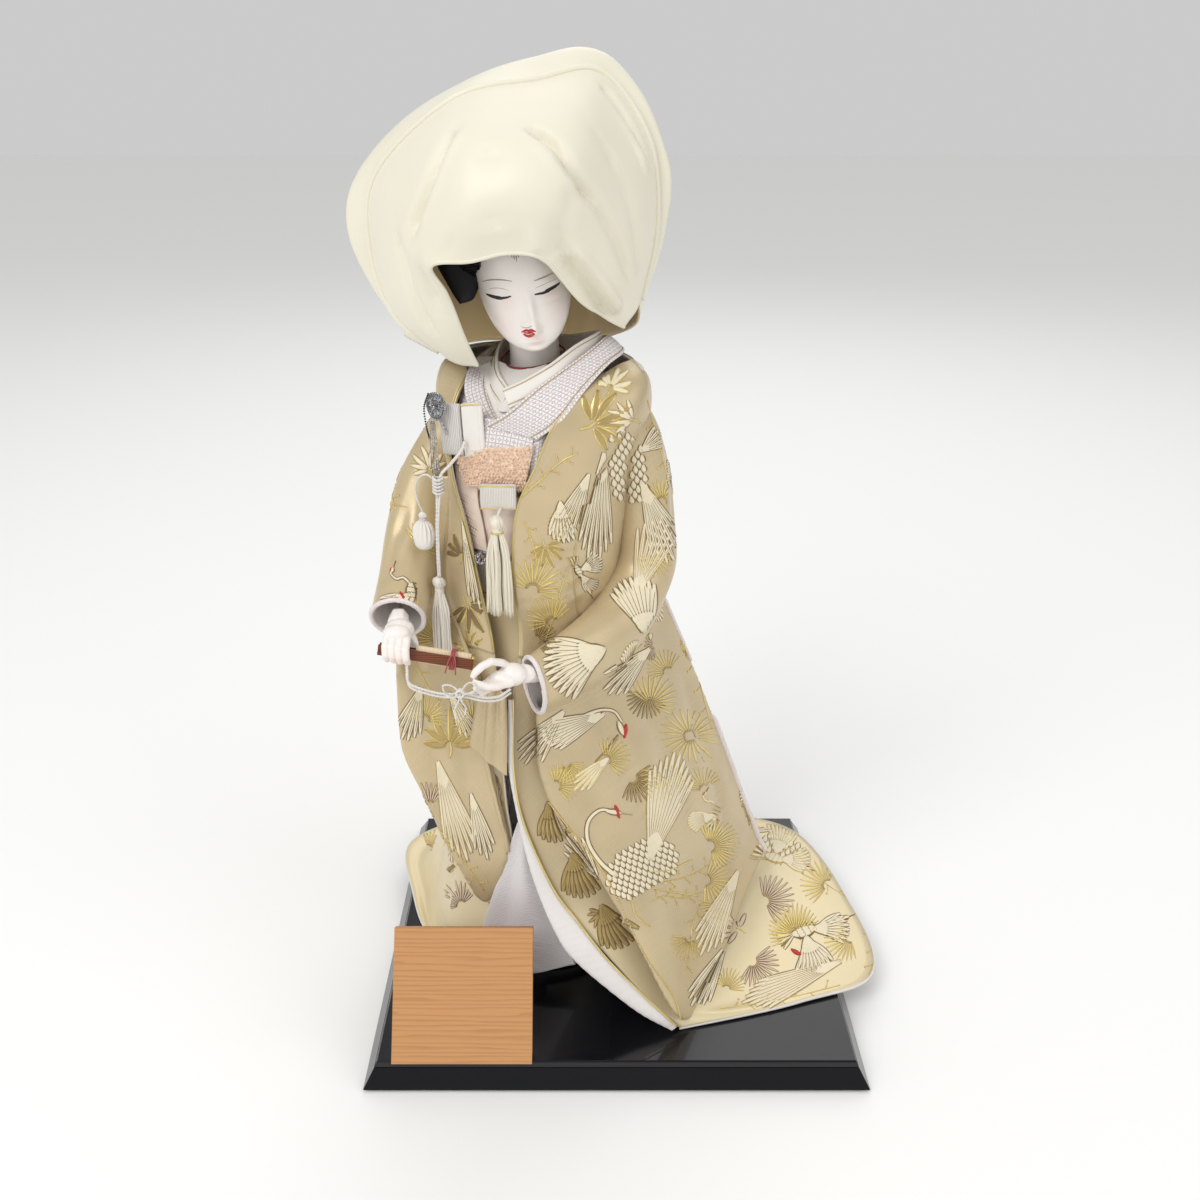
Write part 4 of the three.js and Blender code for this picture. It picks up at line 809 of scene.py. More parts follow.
def remeshed(source, voxel, rounds, grow=0.0):
    """An object's mesh rebuilt evenly, swollen and smoothed, in millimetres; the object goes."""
    remesh = source.modifiers.new("even", "REMESH")
    remesh.mode = "VOXEL"
    remesh.voxel_size = voxel / 1000
    if grow:
        swell = source.modifiers.new("swell", "DISPLACE")
        swell.mid_level = 0
        swell.strength = grow / 1000
    smooth = source.modifiers.new("smooth", "SMOOTH")
    smooth.factor = 0.5
    smooth.iterations = rounds
    bpy.context.view_layer.update()
    made = bpy.data.meshes.new_from_object(
        source.evaluated_get(bpy.context.evaluated_depsgraph_get()))
    bpy.data.objects.remove(source)
    return made


def rounded_copy(name, node, finish, voxel, rounds, body, grow=0.0, flesh=()):
    """A finer, softened copy of a solid that it replaces, in millimetres.

    Flesh is balls added to the solid first.
    """
    data = frame["nodes"][node].data.copy()
    if flesh:
        whole = bmesh.new()
        whole.from_mesh(data)
        for place, reach in flesh:
            size = Matrix.LocRotScale(Vector(world(place)), None, Vector(reach) / 1000)
            bmesh.ops.create_icosphere(whole, subdivisions=3, radius=1.0, matrix=size)
        whole.to_mesh(data)
        whole.free()
    copy = bpy.data.objects.new(name, data)
    bpy.context.collection.objects.link(copy)
    fine = remeshed(copy, voxel, rounds, grow)
    fine.materials.clear()
    fine.materials.append(finish)
    fine.polygons.foreach_set("use_smooth", np.ones(len(fine.polygons), bool))
    piece = bpy.data.objects.new(name, fine)
    bpy.context.collection.objects.link(piece)
    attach(piece, body)
    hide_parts(node)
    return piece


# Cords come first: the fan's cord, the wallet's cord and the sachet's loop

HAND_CORD = [
    [-112.4, -94.4, 265.2], [-111.4, -96.8, 256.5], [-102, -99.5, 253.5], [-91, -104.5, 254],
    [-82, -108.8, 257], [-72, -109, 254.5], [-64, -104.5, 252.4], [-58, -98.3, 253.4],
]

WALLET_CORD = [on_doll(*p) for p in [
    [-15, 49.7, 371.5], [-17, 51.2, 366], [-22, 54, 359], [-27, 58, 351], [-28, 61, 330],
    [-27.5, 63, 312], [-27, 64, 296.6]]]
SACHET_CORD = [on_doll(*p) for p in [
    [-29.2, 58.6, 350], [-34, 61, 353.5], [-39.5, 61.5, 349], [-40.5, 61, 340], [-38, 60, 331.6]]]


def cord_piece(name, points, radius, steps, pieces=(), node=None, exit_at=0, **facts):
    """A twisted cord along a smooth line through its points."""
    line = spline(points, np.linspace(0, 1, steps))
    heap = Heap()
    grid, flat = rope(line, radius, steps, sides=12, lobes=3, pitch=radius * 7, smooth=False)
    heap.add(grid, closed=True, flat=flat)
    piece = heap.put(name, WHITE_CORD)
    if node:
        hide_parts(node)
    return piece


def shifted(points, by):
    return [np.asarray(p, float) + by for p in points]


def make_hand_cord():
    """Double cord from the right fist to the left wrist, tied in a bow near the left hand."""
    second = tube_piece("hand_cord_second_strand", shifted(HAND_CORD, (0.3, -0.6, -1.7)), 0.72, 90,
                        WHITE_CORD, lobes=3, pitch=5.5, sides=12)
    at = np.array([-83.0, -110.0, 257.5])
    bow = Heap()
    for k, (side, rise) in enumerate(((-1, 5.0), (1, 6.5), (-1, -1.5), (1, 1.0))):
        loop = [at, at + (side * 4, -1.2 - 0.4 * k, rise), at + (side * 8.5, -1, rise * 0.7 + 1.5),
                at + (side * 7.5, 0, rise * 0.2 - 1), at + (side * 1.5, 0.5, -0.5)]
        bow.strand(loop, 0.6, 26, sides=8, lobes=3, pitch=4.5)
    for x, z in ((-2.5, -15.0), (2.0, -12.5)):
        tail = [at, at + (x * 0.4, -2, -4), at + (x * 1.3, -1.5, z * 0.6), at + (x, -1, z)]
        bow.strand(tail, 0.62, 20, sides=8, lobes=3, pitch=4.5)
    for tilt in (-1, 0, 1):
        bow.ring(circle(13, lambda c, s: at + (1.9 * c + 0.1 * tilt, 0.9 * tilt, 1.9 * s)),
                 0.62, 26, sides=8)
    knot = bow.put("hand_cord_bow", WHITE_CORD)
    cord_piece("hand_cord_silk", HAND_CORD, 0.8, 110, [second, knot], "hand_cord", far_end="object",
               lay="hanging")


def make_wallet_cord():
    """Cord from the paper wallet to its tassel, with a wound knot where the sachet's loop starts."""
    second = tube_piece("wallet_cord_second_strand", shifted(WALLET_CORD[3:], (0.9, -0.9, 0)), 0.7, 60,
                        WHITE_CORD, lobes=3, pitch=5, sides=10)
    coil = Heap()
    for k in range(5):
        middle = on_doll(-27.6, 58.6, 351.5 - 1.9 * k)
        coil.ring([middle + (2.6 * math.cos(t), 2.6 * math.sin(t), 0.5 * math.cos(2 * t))
                   for t in np.linspace(0, math.tau, 13)], 0.95, 28, sides=8, lobes=3, pitch=5)
    knot = coil.put("wallet_cord_coil", WHITE_CORD)
    cord_piece("wallet_cord_silk", WALLET_CORD, 0.95, 110, [second, knot], "wallet_cord",
               far_end="object", lay="hanging")


def make_sachet_cord():
    cord_piece("sachet_cord_silk", SACHET_CORD, 0.6, 70, (), "sachet_cord", far_end="object",
               lay="hanging")


make_hand_cord()
make_wallet_cord()
make_sachet_cord()


# Board, pins and inner parts

def make_board():
    for side in ("front", "back", "left", "right"):
        soften(finish_node("stand_rail_" + side, LACQUER), 0.5)
    soften(finish_node("stand_panel", LACQUER), 0.5)
    for k in range(1, 5):
        finish_node("foot_pad_%d" % k, FELT)
    for side in ("left", "right"):
        finish_node("leg_" + side, shell_white("leg_white_" + side))
        finish_node("leg_pin_" + side, STEEL)
        finish_node("sandal_" + side, PLAIN_WHITE)
    finish_node("body_core", STRAW)
    finish_node("arm_wire", STEEL)
    finish_node("head_peg", PEG_WOOD)
    soften(finish_node("plaque", CEDAR), 0.35)
    soften(finish_node("plaque_prop", PEG_WOOD), 0.3)


def make_arm_pads():
    """Cotton wound on the wire inside each sleeve."""
    for side, points in (
        ("left", [[-38, -73, 251], [-18, -58, 254], [1, -35, 263], [16, -13, 288], [19, -9, 322]]),
        ("right", [[-109, 3, 342], [-117, -12, 312], [-118, -34, 293], [-119.5, -52, 285]]),
    ):
        grid, _ = rope(points, 4.5, 150, sides=18, taper=lambda t: 1 - 0.08 * np.cos(t * 150))
        pad = closed_piece("arm_padding_" + side, capped(grid), FLUFF)
        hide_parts("arm_pad_" + side)


make_board()
make_arm_pads()


# Garment outlines: nets of points (x, y, z) on the middle of the cloth, one row after another.
# The doll's left is on +X, its front on -Y.

# The hood's front sheet: rows from its opening back, each over the head from the doll's right
BRIM = [
    [[-75, -32, 410], [-81, -44, 430], [-87, -55, 451], [-92, -62, 465], [-73, -67, 468],
      [-54, -70, 472], [-37, -68, 468], [-21, -52, 447], [-8, -38, 436], [2, -22, 428]],
    [[-83, -28, 410], [-95, -36, 430], [-102, -42, 453], [-103, -50, 475], [-75, -72, 494],
      [-50, -76, 501], [-28, -72, 496], [-10, -52, 471], [-1, -40, 450], [4, -22, 431]],
    [[-91, -20, 411], [-109, -24, 430], [-118, -25, 459], [-114, -30, 490], [-81, -52, 519],
      [-48, -55, 527], [-18, -48, 525], [3, -34, 497], [9, -26, 468], [8, -17, 435]],
    [[-97, -12, 413], [-120, -8, 430], [-131, -4, 465], [-125, -6, 502], [-83, -22, 537],
      [-42, -18, 546], [-11, -8, 549], [13, -6, 519], [18, -6, 482], [11, -10, 440]],
]

# The hood's back: rows from behind the front sheet down to the nape
CROWN = [
    [[-101, 6, 409], [-133, 8, 446], [-145, 12, 484], [-128, 14, 512], [-96, 14, 537],
      [-46, 14, 556], [-5, 8, 555], [22, 4, 509], [21, 2, 472], [9, 0, 426]],
    [[-122, 36, 412], [-118, 36, 465], [-108, 36, 499], [-92, 36, 523], [-72, 36, 534],
      [-52, 36, 534], [-32, 36, 523], [-16, 36, 499], [-6, 36, 465], [-2, 36, 412]],
    [[-110, 56, 406], [-107, 56, 448], [-99, 56, 475], [-86, 56, 493], [-70, 56, 503],
      [-54, 56, 503], [-38, 56, 493], [-25, 56, 475], [-17, 56, 448], [-14, 56, 406]],
    [[-100, 66, 402], [-98, 66, 425], [-91, 66, 441], [-81, 66, 451], [-69, 66, 456], [-55, 66, 456],
      [-43, 66, 451], [-33, 66, 441], [-26, 66, 425], [-24, 66, 402]],
    [[-95, 69, 400], [-93, 69, 401], [-87, 69, 402], [-78, 69, 403], [-68, 69, 403], [-56, 69, 403],
      [-46, 69, 403], [-37, 69, 402], [-31, 69, 401], [-29, 69, 400]],
]

# Rows around the body from the neck to the trailing hem, from the left front edge to the right
ROBE = [
    [[-4, -26, 407], [6, -14, 408], [3, 2, 408], [-5, 16, 408], [-17, 27, 408], [-38, 36, 408],
      [-59, 37, 408], [-75, 31, 408], [-84, 23, 408], [-89, 14, 408], [-88, 8, 408], [-81, -10, 401]],
    [[-19, -44, 399], [9, -34, 400], [15, -17, 400], [10, 2, 400], [-2, 20, 400], [-29, 37, 400],
      [-60, 43, 400], [-82, 37, 400], [-94, 26, 400], [-98, 14, 400], [-97, 4, 400], [-88, -20, 388]],
    [[-34, -52, 385], [0, -46, 384], [14, -29, 384], [16, -8, 384], [6, 13, 384], [-21, 36, 384],
      [-56, 45, 384], [-82, 39, 384], [-96, 27, 384], [-101, 11, 384], [-100, -3, 384],
      [-92, -27, 368]],
    [[-45, -54, 361], [-15, -48, 360], [4, -32, 360], [10, -10, 360], [5, 14, 360], [-18, 38, 360],
      [-51, 46, 360], [-77, 38, 360], [-91, 23, 360], [-97, 4, 360], [-95, -11, 360], [-90, -31, 347]],
    [[-55, -54, 337], [-27, -51, 330], [-4, -34, 330], [7, -10, 330], [5, 18, 330], [-16, 45, 330],
      [-49, 51, 330], [-76, 38, 330], [-91, 18, 330], [-95, -4, 330], [-94, -25, 330], [-83, -36, 319]],
    [[-58, -55, 303], [-30, -49, 296], [-7, -32, 296], [4, -6, 296], [2, 23, 296], [-19, 49, 296],
      [-53, 51, 296], [-79, 33, 296], [-91, 10, 296], [-96, -12, 296], [-98, -30, 296],
      [-77, -42, 289]],
    [[-55, -53, 260], [-27, -46, 262], [-6, -27, 262], [3, 1, 262], [-1, 29, 262], [-26, 52, 262],
      [-60, 48, 262], [-84, 26, 262], [-93, 3, 262], [-95, -17, 262], [-95, -34, 262], [-71, -48, 258]],
    [[-60, -56, 223], [-27, -46, 232], [-6, -27, 232], [4, 1, 232], [0, 29, 232], [-24, 53, 232],
      [-59, 49, 232], [-84, 27, 232], [-94, 4, 232], [-93, -18, 232], [-89, -36, 232], [-69, -52, 228]],
    [[-62, -60, 181], [-24, -47, 200], [-3, -27, 200], [7, 1, 200], [4, 30, 200], [-20, 56, 200],
      [-57, 52, 200], [-84, 31, 200], [-96, 8, 200], [-93, -17, 200], [-84, -33, 200], [-68, -55, 196]],
    [[-57, -62, 149], [-18, -49, 168], [3, -28, 168], [13, 2, 168], [11, 33, 168], [-12, 60, 168],
      [-54, 58, 168], [-84, 37, 168], [-99, 14, 168], [-96, -13, 168], [-87, -32, 168],
      [-65, -56, 155]],
    [[-40, -72, 107], [-6, -54, 128], [15, -28, 128], [27, 3, 128], [27, 38, 128], [1, 70, 128],
      [-47, 68, 128], [-85, 50, 128], [-105, 25, 128], [-102, -6, 128], [-92, -30, 128],
      [-63, -56, 121]],
    [[-19, -83, 81], [17, -63, 78], [38, -29, 78], [52, 6, 78], [57, 47, 78], [26, 85, 78],
      [-36, 86, 78], [-85, 71, 78], [-116, 44, 78], [-112, 5, 78], [-101, -27, 78], [-70, -55, 92]],
    [[21, -95, 35], [52, -76, 24], [74, -30, 24], [92, 10, 24], [104, 62, 24], [60, 108, 24],
      [-20, 112, 24], [-86, 102, 24], [-132, 72, 24], [-126, 22, 24], [-114, -22, 24], [-82, -50, 35]],
    [[39, -99, 19], [116, -77, 19], [167, -51, 19], [167, 16, 19], [140, 104, 19], [70, 128, 19],
      [-20, 128, 19], [-95, 124, 19], [-150, 90, 19], [-141, 30, 19], [-122, -18, 19], [-86, -46, 19]],
]

# A sleeve's hanging bag: rows from under the arm down, from the body to the opening
BAG_LEFT = [
    [[21, 18, 279], [14, 0, 267], [2, -24, 265], [-16, -46, 257], [-32, -62, 255], [-43, -74, 240]],
    [[57, 38, 186], [36, 12, 208], [14, -18, 221], [-7, -44, 223], [-26, -64, 218], [-43, -74, 211]],
    [[77, 46, 131], [55, 14, 151], [30, -20, 169], [7, -48, 178], [-16, -67, 180], [-43, -75, 185]],
    [[94, 50, 83], [73, 16, 97], [50, -22, 109], [25, -54, 121], [0, -72, 131], [-35, -76, 159]],
    [[106, 52, 52], [88, 18, 49], [68, -22, 50], [45, -58, 59], [18, -79, 96], [-19, -80, 135]],
    [[112, 51, 40], [95, 16, 32], [73, -40, 28], [57, -71, 27], [40, -101, 27], [5, -88, 89]],
]

BAG_RIGHT = [
    [[-122, -60, 264], [-118, -46, 257], [-112, -34, 262], [-106, -30, 274], [-101, -30, 287]],
    [[-125, -62, 233], [-114, -58, 224], [-102, -54, 222], [-89, -52, 228], [-80, -52, 234]],
    [[-125, -62, 194], [-112, -60, 186], [-99, -57, 180], [-86, -56, 183], [-76, -57, 187]],
    [[-115, -62, 163], [-105, -60, 155], [-93, -58, 148], [-80, -58, 147], [-69, -60, 147]],
    [[-102, -60, 122], [-95, -58, 115], [-87, -57, 111], [-77, -57, 111], [-65, -60, 122]],
    [[-88, -56, 84], [-85, -55, 79], [-81, -55, 77], [-77, -55, 80], [-69, -56, 95]],
]

# The padded hem up the robe's front edge: its inner line and its outer one
HEM = [
    [[-59, -61, 226], [-60, -63, 183], [-55, -65, 146], [-39, -75, 108], [-23, -83, 87],
      [-5, -91, 65], [18, -97, 41], [37, -101, 22]],
    [[-62, -62, 227], [-63, -64, 183], [-58, -66, 145], [-48, -77, 108], [-37, -86, 82],
      [-23, -92, 63], [9, -99, 35], [34, -102, 20]],
]

# The robe's gathered front piece under the hand, from top to foot
FOLD = [
    [[-78, -58, 234], [-71, -63, 235], [-63, -64, 233]],
    [[-82, -60, 215], [-73, -66, 209], [-63, -66, 206]],
    [[-85, -61, 197], [-75, -65, 188], [-64, -66, 179]],
]

HOOD_HEART = (-55, 8, 480)  # cloth's outer side faces away from these
ROBE_HEART = (-47, 0, 250)


def crown_rows():
    """The crown's net, started just inside the front sheet's outer edge."""
    columns = len(CROWN[0])
    edge = net(BRIM, columns - 1, 50)
    n = facing(edge, HOOD_HEART)
    return [edge[38] - 1.9 * n[38], edge[50] - 1.7 * n[50]] + [np.array(row, float) for row in CROWN]


# Creases: a line of points, its width, and its depth; a negative one stands out
BRIM_CREASES = [
    ([(-80, -46, 525), (-92, -53, 500), (-104, -48, 476)], 5.0, 2.4),
    ([(-76, -50, 523), (-87, -56, 500), (-97, -54, 478)], 4.0, -1.5),
    ([(-46, -56, 527), (-33, -62, 519), (-25, -66, 507), (-11, -54, 490)], 4.0, 3.2),
    ([(-46, -58, 520), (-31, -66, 510), (-20, -66, 499)], 4.0, -1.6),
    ([(-11, -16, 544), (-4, -16, 536), (4, -16, 525)], 2.4, 1.7),
    ([(4, -16, 525), (8, -16, 517), (11, -15, 509)], 2.2, 1.5),
    ([(-1, -22, 532), (7, -20, 517), (10, -16, 500)], 2.4, -1.2),
    ([(-30, -66, 471), (-17, -52, 453), (-6, -35, 435)], 5.5, 2.6),
    ([(-24, -66, 474), (-10, -50, 455), (-1, -34, 438)], 3.6, -2.0),
    ([(-60, -62, 520), (-62, -70, 500), (-60, -72, 482)], 9.0, 1.0),
    ([(-110, -34, 480), (-108, -38, 452), (-95, -34, 424)], 5.0, 1.6),
    ([(-70, -58, 535), (-84, -60, 520), (-100, -56, 505)], 5.0, 1.2),
    ([(-52, -64, 500), (-44, -70, 484), (-40, -70, 470)], 4.5, -0.9),
    ([(-24, -50, 540), (-10, -46, 525), (0, -40, 505)], 5.0, 1.1),
    ([(-14, -56, 493), (-2, -46, 474), (5, -34, 454)], 4.0, 2.0),
    ([(-26, -64, 504), (-31, -68, 484), (-29, -66, 468)], 6.0, 1.6),
    ([(-86, -50, 505), (-95, -50, 470), (-92, -44, 436)], 6.0, 1.5),
    ([(-2, -14, 530), (7, -12, 508), (12, -10, 480)], 3.0, 2.0),
    ([(-4, -36, 500), (4, -30, 480), (8, -24, 455)], 5.0, 1.3),
    ([(-66, -66, 505), (-74, -66, 488), (-84, -62, 470)], 4.0, 1.0),
]

CROWN_CREASES = [
    ([(-123, 4, 504), (-134, 10, 470), (-118, 4, 435), (-97, -4, 414)], 5.0, 3.2),
    ([(-136, 12, 496), (-136, 16, 462), (-116, 12, 428)], 4.5, 2.8),
    ([(-129, 10, 500), (-137, 13, 466), (-118, 8, 431)], 3.5, -1.8),
    ([(-122, 30, 480), (-112, 40, 440), (-106, 46, 412)], 5.0, 2.6),
    ([(-10, 4, 551), (6, 6, 533), (14, 2, 514)], 3.0, 1.8),
    ([(14, 4, 512), (15, 8, 480), (8, 12, 448)], 5.0, 2.4),
    ([(-20, 34, 500), (-14, 44, 460), (-18, 56, 416)], 5.0, 2.4),
    ([(-70, 38, 530), (-74, 56, 480), (-72, 64, 430)], 7.0, 2.0),
    ([(-48, 40, 524), (-46, 58, 474), (-48, 66, 428)], 6.0, 2.0),
    ([(-95, 40, 505), (-92, 56, 460), (-86, 64, 424)], 5.0, 2.0),
]


def deeper(creases, times):
    """Creases pressed in deeper, and somewhat narrower."""
    return [(line, width * 0.82, depth * times) for line, width, depth in creases]


def make_hood():
    brim = net(BRIM, 170, 90)
    brim = press(brim, facing(brim, HOOD_HEART), deeper(BRIM_CREASES, 2.0))
    brim = wave(brim, facing(brim, HOOD_HEART), 3, 46, 0.55)
    roll = tube_piece("hood_opening_roll", brim[0], 1.15, 171, HOOD_SATIN, HEAD_BODY, smooth=False)
    edge = brim[-1] + facing(brim, HOOD_HEART)[-1] * 0.6
    fold = tube_piece("hood_outer_fold", edge, 1.8, 171, HOOD_SATIN, HEAD_BODY, smooth=False)
    # the sheets' inner sides take the ochre painted shade of the hood's inside
    cloth("hood_front_sheet", brim, 1.5, HOOD_SATIN, HEAD_BODY, HOOD_INSIDE_SHADE, outward=HOOD_HEART,
          node="hood_brim")

    crown = net(crown_rows(), 170, 130)
    crown = press(crown, facing(crown, HOOD_HEART), deeper(CROWN_CREASES, 1.8))
    crown = wave(crown, facing(crown, HOOD_HEART), 5, 46, 0.6)
    hem = tube_piece("hood_back_hem", crown[-1], 0.95, 171, HOOD_SATIN, HEAD_BODY, smooth=False)
    cloth("hood_crown_sheet", crown, 1.4, HOOD_SATIN, HEAD_BODY, HOOD_INSIDE_SHADE, outward=HOOD_HEART,
          node="hood_crown")


make_hood()


# Robe

ROBE_CREASES = [
    ([(-50, -56, 330), (-40, -54, 280), (-38, -56, 220), (-30, -62, 160)], 6.0, 2.4),
    ([(-56, -56, 320), (-50, -58, 260), (-48, -60, 200), (-40, -68, 140)], 4.5, -1.6),
    ([(-36, -52, 340), (-22, -46, 280), (-14, -48, 200), (4, -60, 110), (40, -84, 34)], 8.0, 3.2),
    ([(-10, -36, 330), (-8, -34, 250), (0, -34, 190), (24, -40, 110), (70, -58, 30)], 10.0, 3.0),
    ([(7, -4, 230), (14, -2, 170), (34, 4, 100), (84, 4, 26)], 9.0, 3.0),
    ([(6, 30, 230), (16, 34, 160), (44, 44, 90), (96, 44, 26)], 9.0, 2.6),
    ([(-20, 52, 260), (-10, 60, 170), (12, 76, 90), (50, 104, 26)], 9.0, 3.0),
    ([(-60, 50, 260), (-56, 60, 170), (-46, 80, 90), (-30, 108, 26)], 9.0, 2.6),
    ([(-86, 26, 240), (-88, 38, 160), (-100, 62, 90), (-116, 84, 26)], 8.0, 2.4),
    ([(-94, -6, 240), (-98, -4, 160), (-108, 10, 90), (-130, 26, 26)], 7.0, 2.2),
    ([(-92, -28, 230), (-90, -30, 170), (-98, -24, 100), (-116, -16, 28)], 5.0, 1.8),
]


def make_robe():
    grid = net(ROBE, 190, 230)
    n = facing(grid, ROBE_HEART)
    grid = press(grid, n, ROBE_CREASES)
    grid = wave(grid, n, 11, 70, 0.5)
    if (normals_of(grid) * n).sum(-1).mean() < 0:
        grid = grid[:, ::-1]
    return grid, cloth("robe_cloth", grid, CLOTH, ROBE_SILK_LIT_TRAIN, lining=LINING,
                       node="robe")


robe_grid, robe = make_robe()


def oval_tube(points, radii, steps, sides):
    """The source's oval tube: radii are (level, upright) half sizes along the arm."""
    at = np.linspace(0, 1, steps + 1)
    line = spline(points, at)
    ahead = unit(spline(points, np.minimum(at + 0.02, 1)) - spline(points, np.maximum(at - 0.02, 0)))
    half = spline(radii, at)
    level = None
    w = np.linspace(0, math.tau, sides, endpoint=False)
    rings = []
    for p, t, (wide, tall) in zip(line, ahead, half):
        flat = np.array([-t[1], t[0], 0])
        size = np.linalg.norm(flat)
        sure = min(max((size - 0.25) / 0.5, 0), 1)
        if level is None:
            level = flat.copy()
        if flat @ level < 0:
            flat = -flat
        level = level + (flat / max(size, 1e-9) - level) * 0.4 * sure
        level = unit(level - t * (level @ t))
        upright = unit(np.cross(t, level))
        rings.append(p + np.outer(np.cos(w) * wide, level) + np.outer(np.sin(w) * tall, upright))
    return np.array(rings)


def bag_shell(rows, inward, deep, steps=70):
    """Front and back cloth of a sleeve's bag."""
    front = net(rows, steps, steps)
    v = np.linspace(0, 1, steps + 1)[:, None, None]
    swell = deep * (0.45 + 0.55 * np.sin(math.pi * v ** 0.6))
    n = normals_of(front)
    n = n * np.where((n @ np.asarray(inward, float)) < 0, -1, 1)[..., None]
    behind = unit(n * 0.7 + np.asarray(inward, float) * 0.6)
    return front, front + behind * swell


def sleeve(name, arm, radii, rows, inward, deep, wrist, wrist_axis, open_first, creases, finish):
    """Arm tube and bag joined, with the wrist and the bag's rear edge left open."""
    heap = Heap()
    tube = oval_tube(arm, radii, 60, 40)
    heap.add(capped(tube), closed=True)
    front, back = bag_shell(rows, inward, deep)
    heap.add(np.concatenate([front, back[:, ::-1]], 1), closed=True)
    for row, flip in ((0, 1), (-1, -1)):
        heap.add(np.stack([front[row], back[row]])[::flip])
    data = remeshed(heap.put(name + "_raw", finish), 1.5, 12)
    points = local(np.array([v.co for v in data.vertices]))
    faces = np.array([tuple(f.vertices) for f in data.polygons])
    middle = points[faces].mean(1)
    n = unit(np.cross(points[faces[:, 2]] - points[faces[:, 0]],
                      points[faces[:, 3]] - points[faces[:, 1]]))
    keep = np.ones(len(faces), bool)
    beyond = (middle - wrist) @ np.asarray(wrist_axis, float)
    keep &= ~((beyond > 0) & (np.linalg.norm(middle - wrist, axis=1) < 26))
    column = 0 if open_first else -1
    inner = 6 if open_first else -7
    away = unit((front[:, column] - front[:, inner]) - np.asarray(inward) * (
        (front[:, column] - front[:, inner]) @ np.asarray(inward))[:, None])
    wall = (front[:, column] + back[:, column]) / 2
    low = int(len(wall) * 0.06)
    gap = np.linalg.norm(middle[:, None] - wall[None, low:], axis=-1)
    near = gap.argmin(1)
    keep &= ~((gap.min(1) < deep * 0.62 + 1.0) & ((n * away[low:][near]).sum(1) > 0.6))
    faces = faces[keep]
    used = np.unique(faces)
    order = np.full(len(points), -1)
    order[used] = np.arange(len(used))
    points, faces = points[used], order[faces]
    point_n = np.zeros_like(points)
    for k in range(4):
        np.add.at(point_n, faces[:, k], n[keep])
    point_n = unit(point_n)
    for line, width, depth in creases:
        path = spline(np.asarray(line, float), np.linspace(0, 1, 30))
        square = ((points[:, None] - path) ** 2).sum(-1)
        t = square.argmin(1) / 29
        fade = np.clip(np.minimum(t, 1 - t) * 5 + 0.1, 0, 1)
        points = points - point_n * (depth * fade * np.exp(-square.min(1) / width ** 2))[:, None]
    piece = mesh_piece(name, points, faces, [finish, LINING])
    add_wall(piece, CLOTH, -1.0, 1)
    return piece


# A sleeve along the arm: its middle line, and its half sizes (level, upright)
ARM_LEFT = [
    [-16, -14, 388], [-4, -20, 386], [10, -14, 360], [16, -8, 321], [15, -12, 285],
    [0, -34, 262], [-19, -58, 253], [-37, -72, 247], [-51, -82, 245],
]
ARM_LEFT_R = [[13, 13], [15, 15], [16, 16], [17, 17], [19, 19], [18, 20], [15, 21], [12, 20], [9, 17]]
ARM_RIGHT = [
    [-82, 10, 382], [-93, 9, 366], [-111, 2, 336], [-117, -12, 310], [-119, -32, 291],
    [-121, -52, 281], [-121.5, -64, 276],
]
ARM_RIGHT_R = [[12, 12], [14, 14], [15, 15], [16, 16], [16, 16], [15, 15], [15, 14]]

LEFT_SLEEVE_CREASES = [
    ([(24, -16, 372), (32, -14, 340), (34, -12, 300)], 5.0, 1.6),
    ([(2, -34, 350), (2, -36, 318), (6, -38, 290)], 4.0, 2.2),
    ([(36, -8, 286), (22, -30, 262), (2, -48, 252)], 4.5, 2.4),
    ([(34, -2, 270), (20, -26, 247), (-4, -50, 240)], 4.0, 2.0),
    ([(16, -20, 262), (2, -40, 244), (-20, -62, 236)], 4.0, -1.6),
    ([(10, -28, 236), (26, -22, 190), (48, -20, 120)], 9.0, 2.6),
    ([(-12, -50, 228), (4, -50, 190), (26, -54, 120), (40, -58, 70)], 9.0, 2.6),
    ([(46, 18, 214), (62, 20, 150), (80, 20, 70)], 8.0, 2.4),
    ([(-30, -70, 226), (-24, -71, 190), (-10, -74, 150)], 6.0, 1.6),
    ([(60, -40, 52), (76, -26, 42), (92, -4, 44)], 5.0, 1.8),
]

RIGHT_SLEEVE_CREASES = [
    ([(-108, -18, 362), (-120, -22, 330), (-124, -30, 306)], 4.5, 2.0),
    ([(-124, -20, 330), (-128, -36, 306), (-130, -54, 290)], 4.0, 1.8),
    ([(-110, -28, 312), (-114, -44, 296), (-116, -58, 290)], 4.0, 1.4),
    ([(-112, -58, 250), (-108, -60, 205), (-98, -62, 150)], 6.0, 1.8),
    ([(-96, -54, 236), (-92, -57, 190), (-84, -60, 140)], 5.0, 1.6),
]

left_sleeve = sleeve(
    "left_sleeve_cloth", ARM_LEFT, ARM_LEFT_R, BAG_LEFT, (-0.62, 0.76, -0.2), 7,
    np.array([-46.5, -78.5, 245.5]), unit(np.array([-14, -10, -2.0])), True,
    LEFT_SLEEVE_CREASES, ROBE_BROCADE)
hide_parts("sleeve_left")
right_sleeve = sleeve(
    "right_sleeve_cloth", ARM_RIGHT, ARM_RIGHT_R, BAG_RIGHT, (0.2, 0.98, 0), 6,
    np.array([-121.3, -60.5, 277.5]), unit(np.array([-0.5, -12, -5.0])), False,
    RIGHT_SLEEVE_CREASES, ROBE_BROCADE)
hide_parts("sleeve_right")


# Robe's edges: collar bands, padded hem, gathered front piece, foot

BAND_LENGTH = 112  # rows of the robe's net that the collar bands run down
BANDS = (  # side, columns of the robe's net, its outer column and its inner one
    ("left", slice(-22, None), -1, -22),
    ("right", slice(0, 16), 0, 15),
)


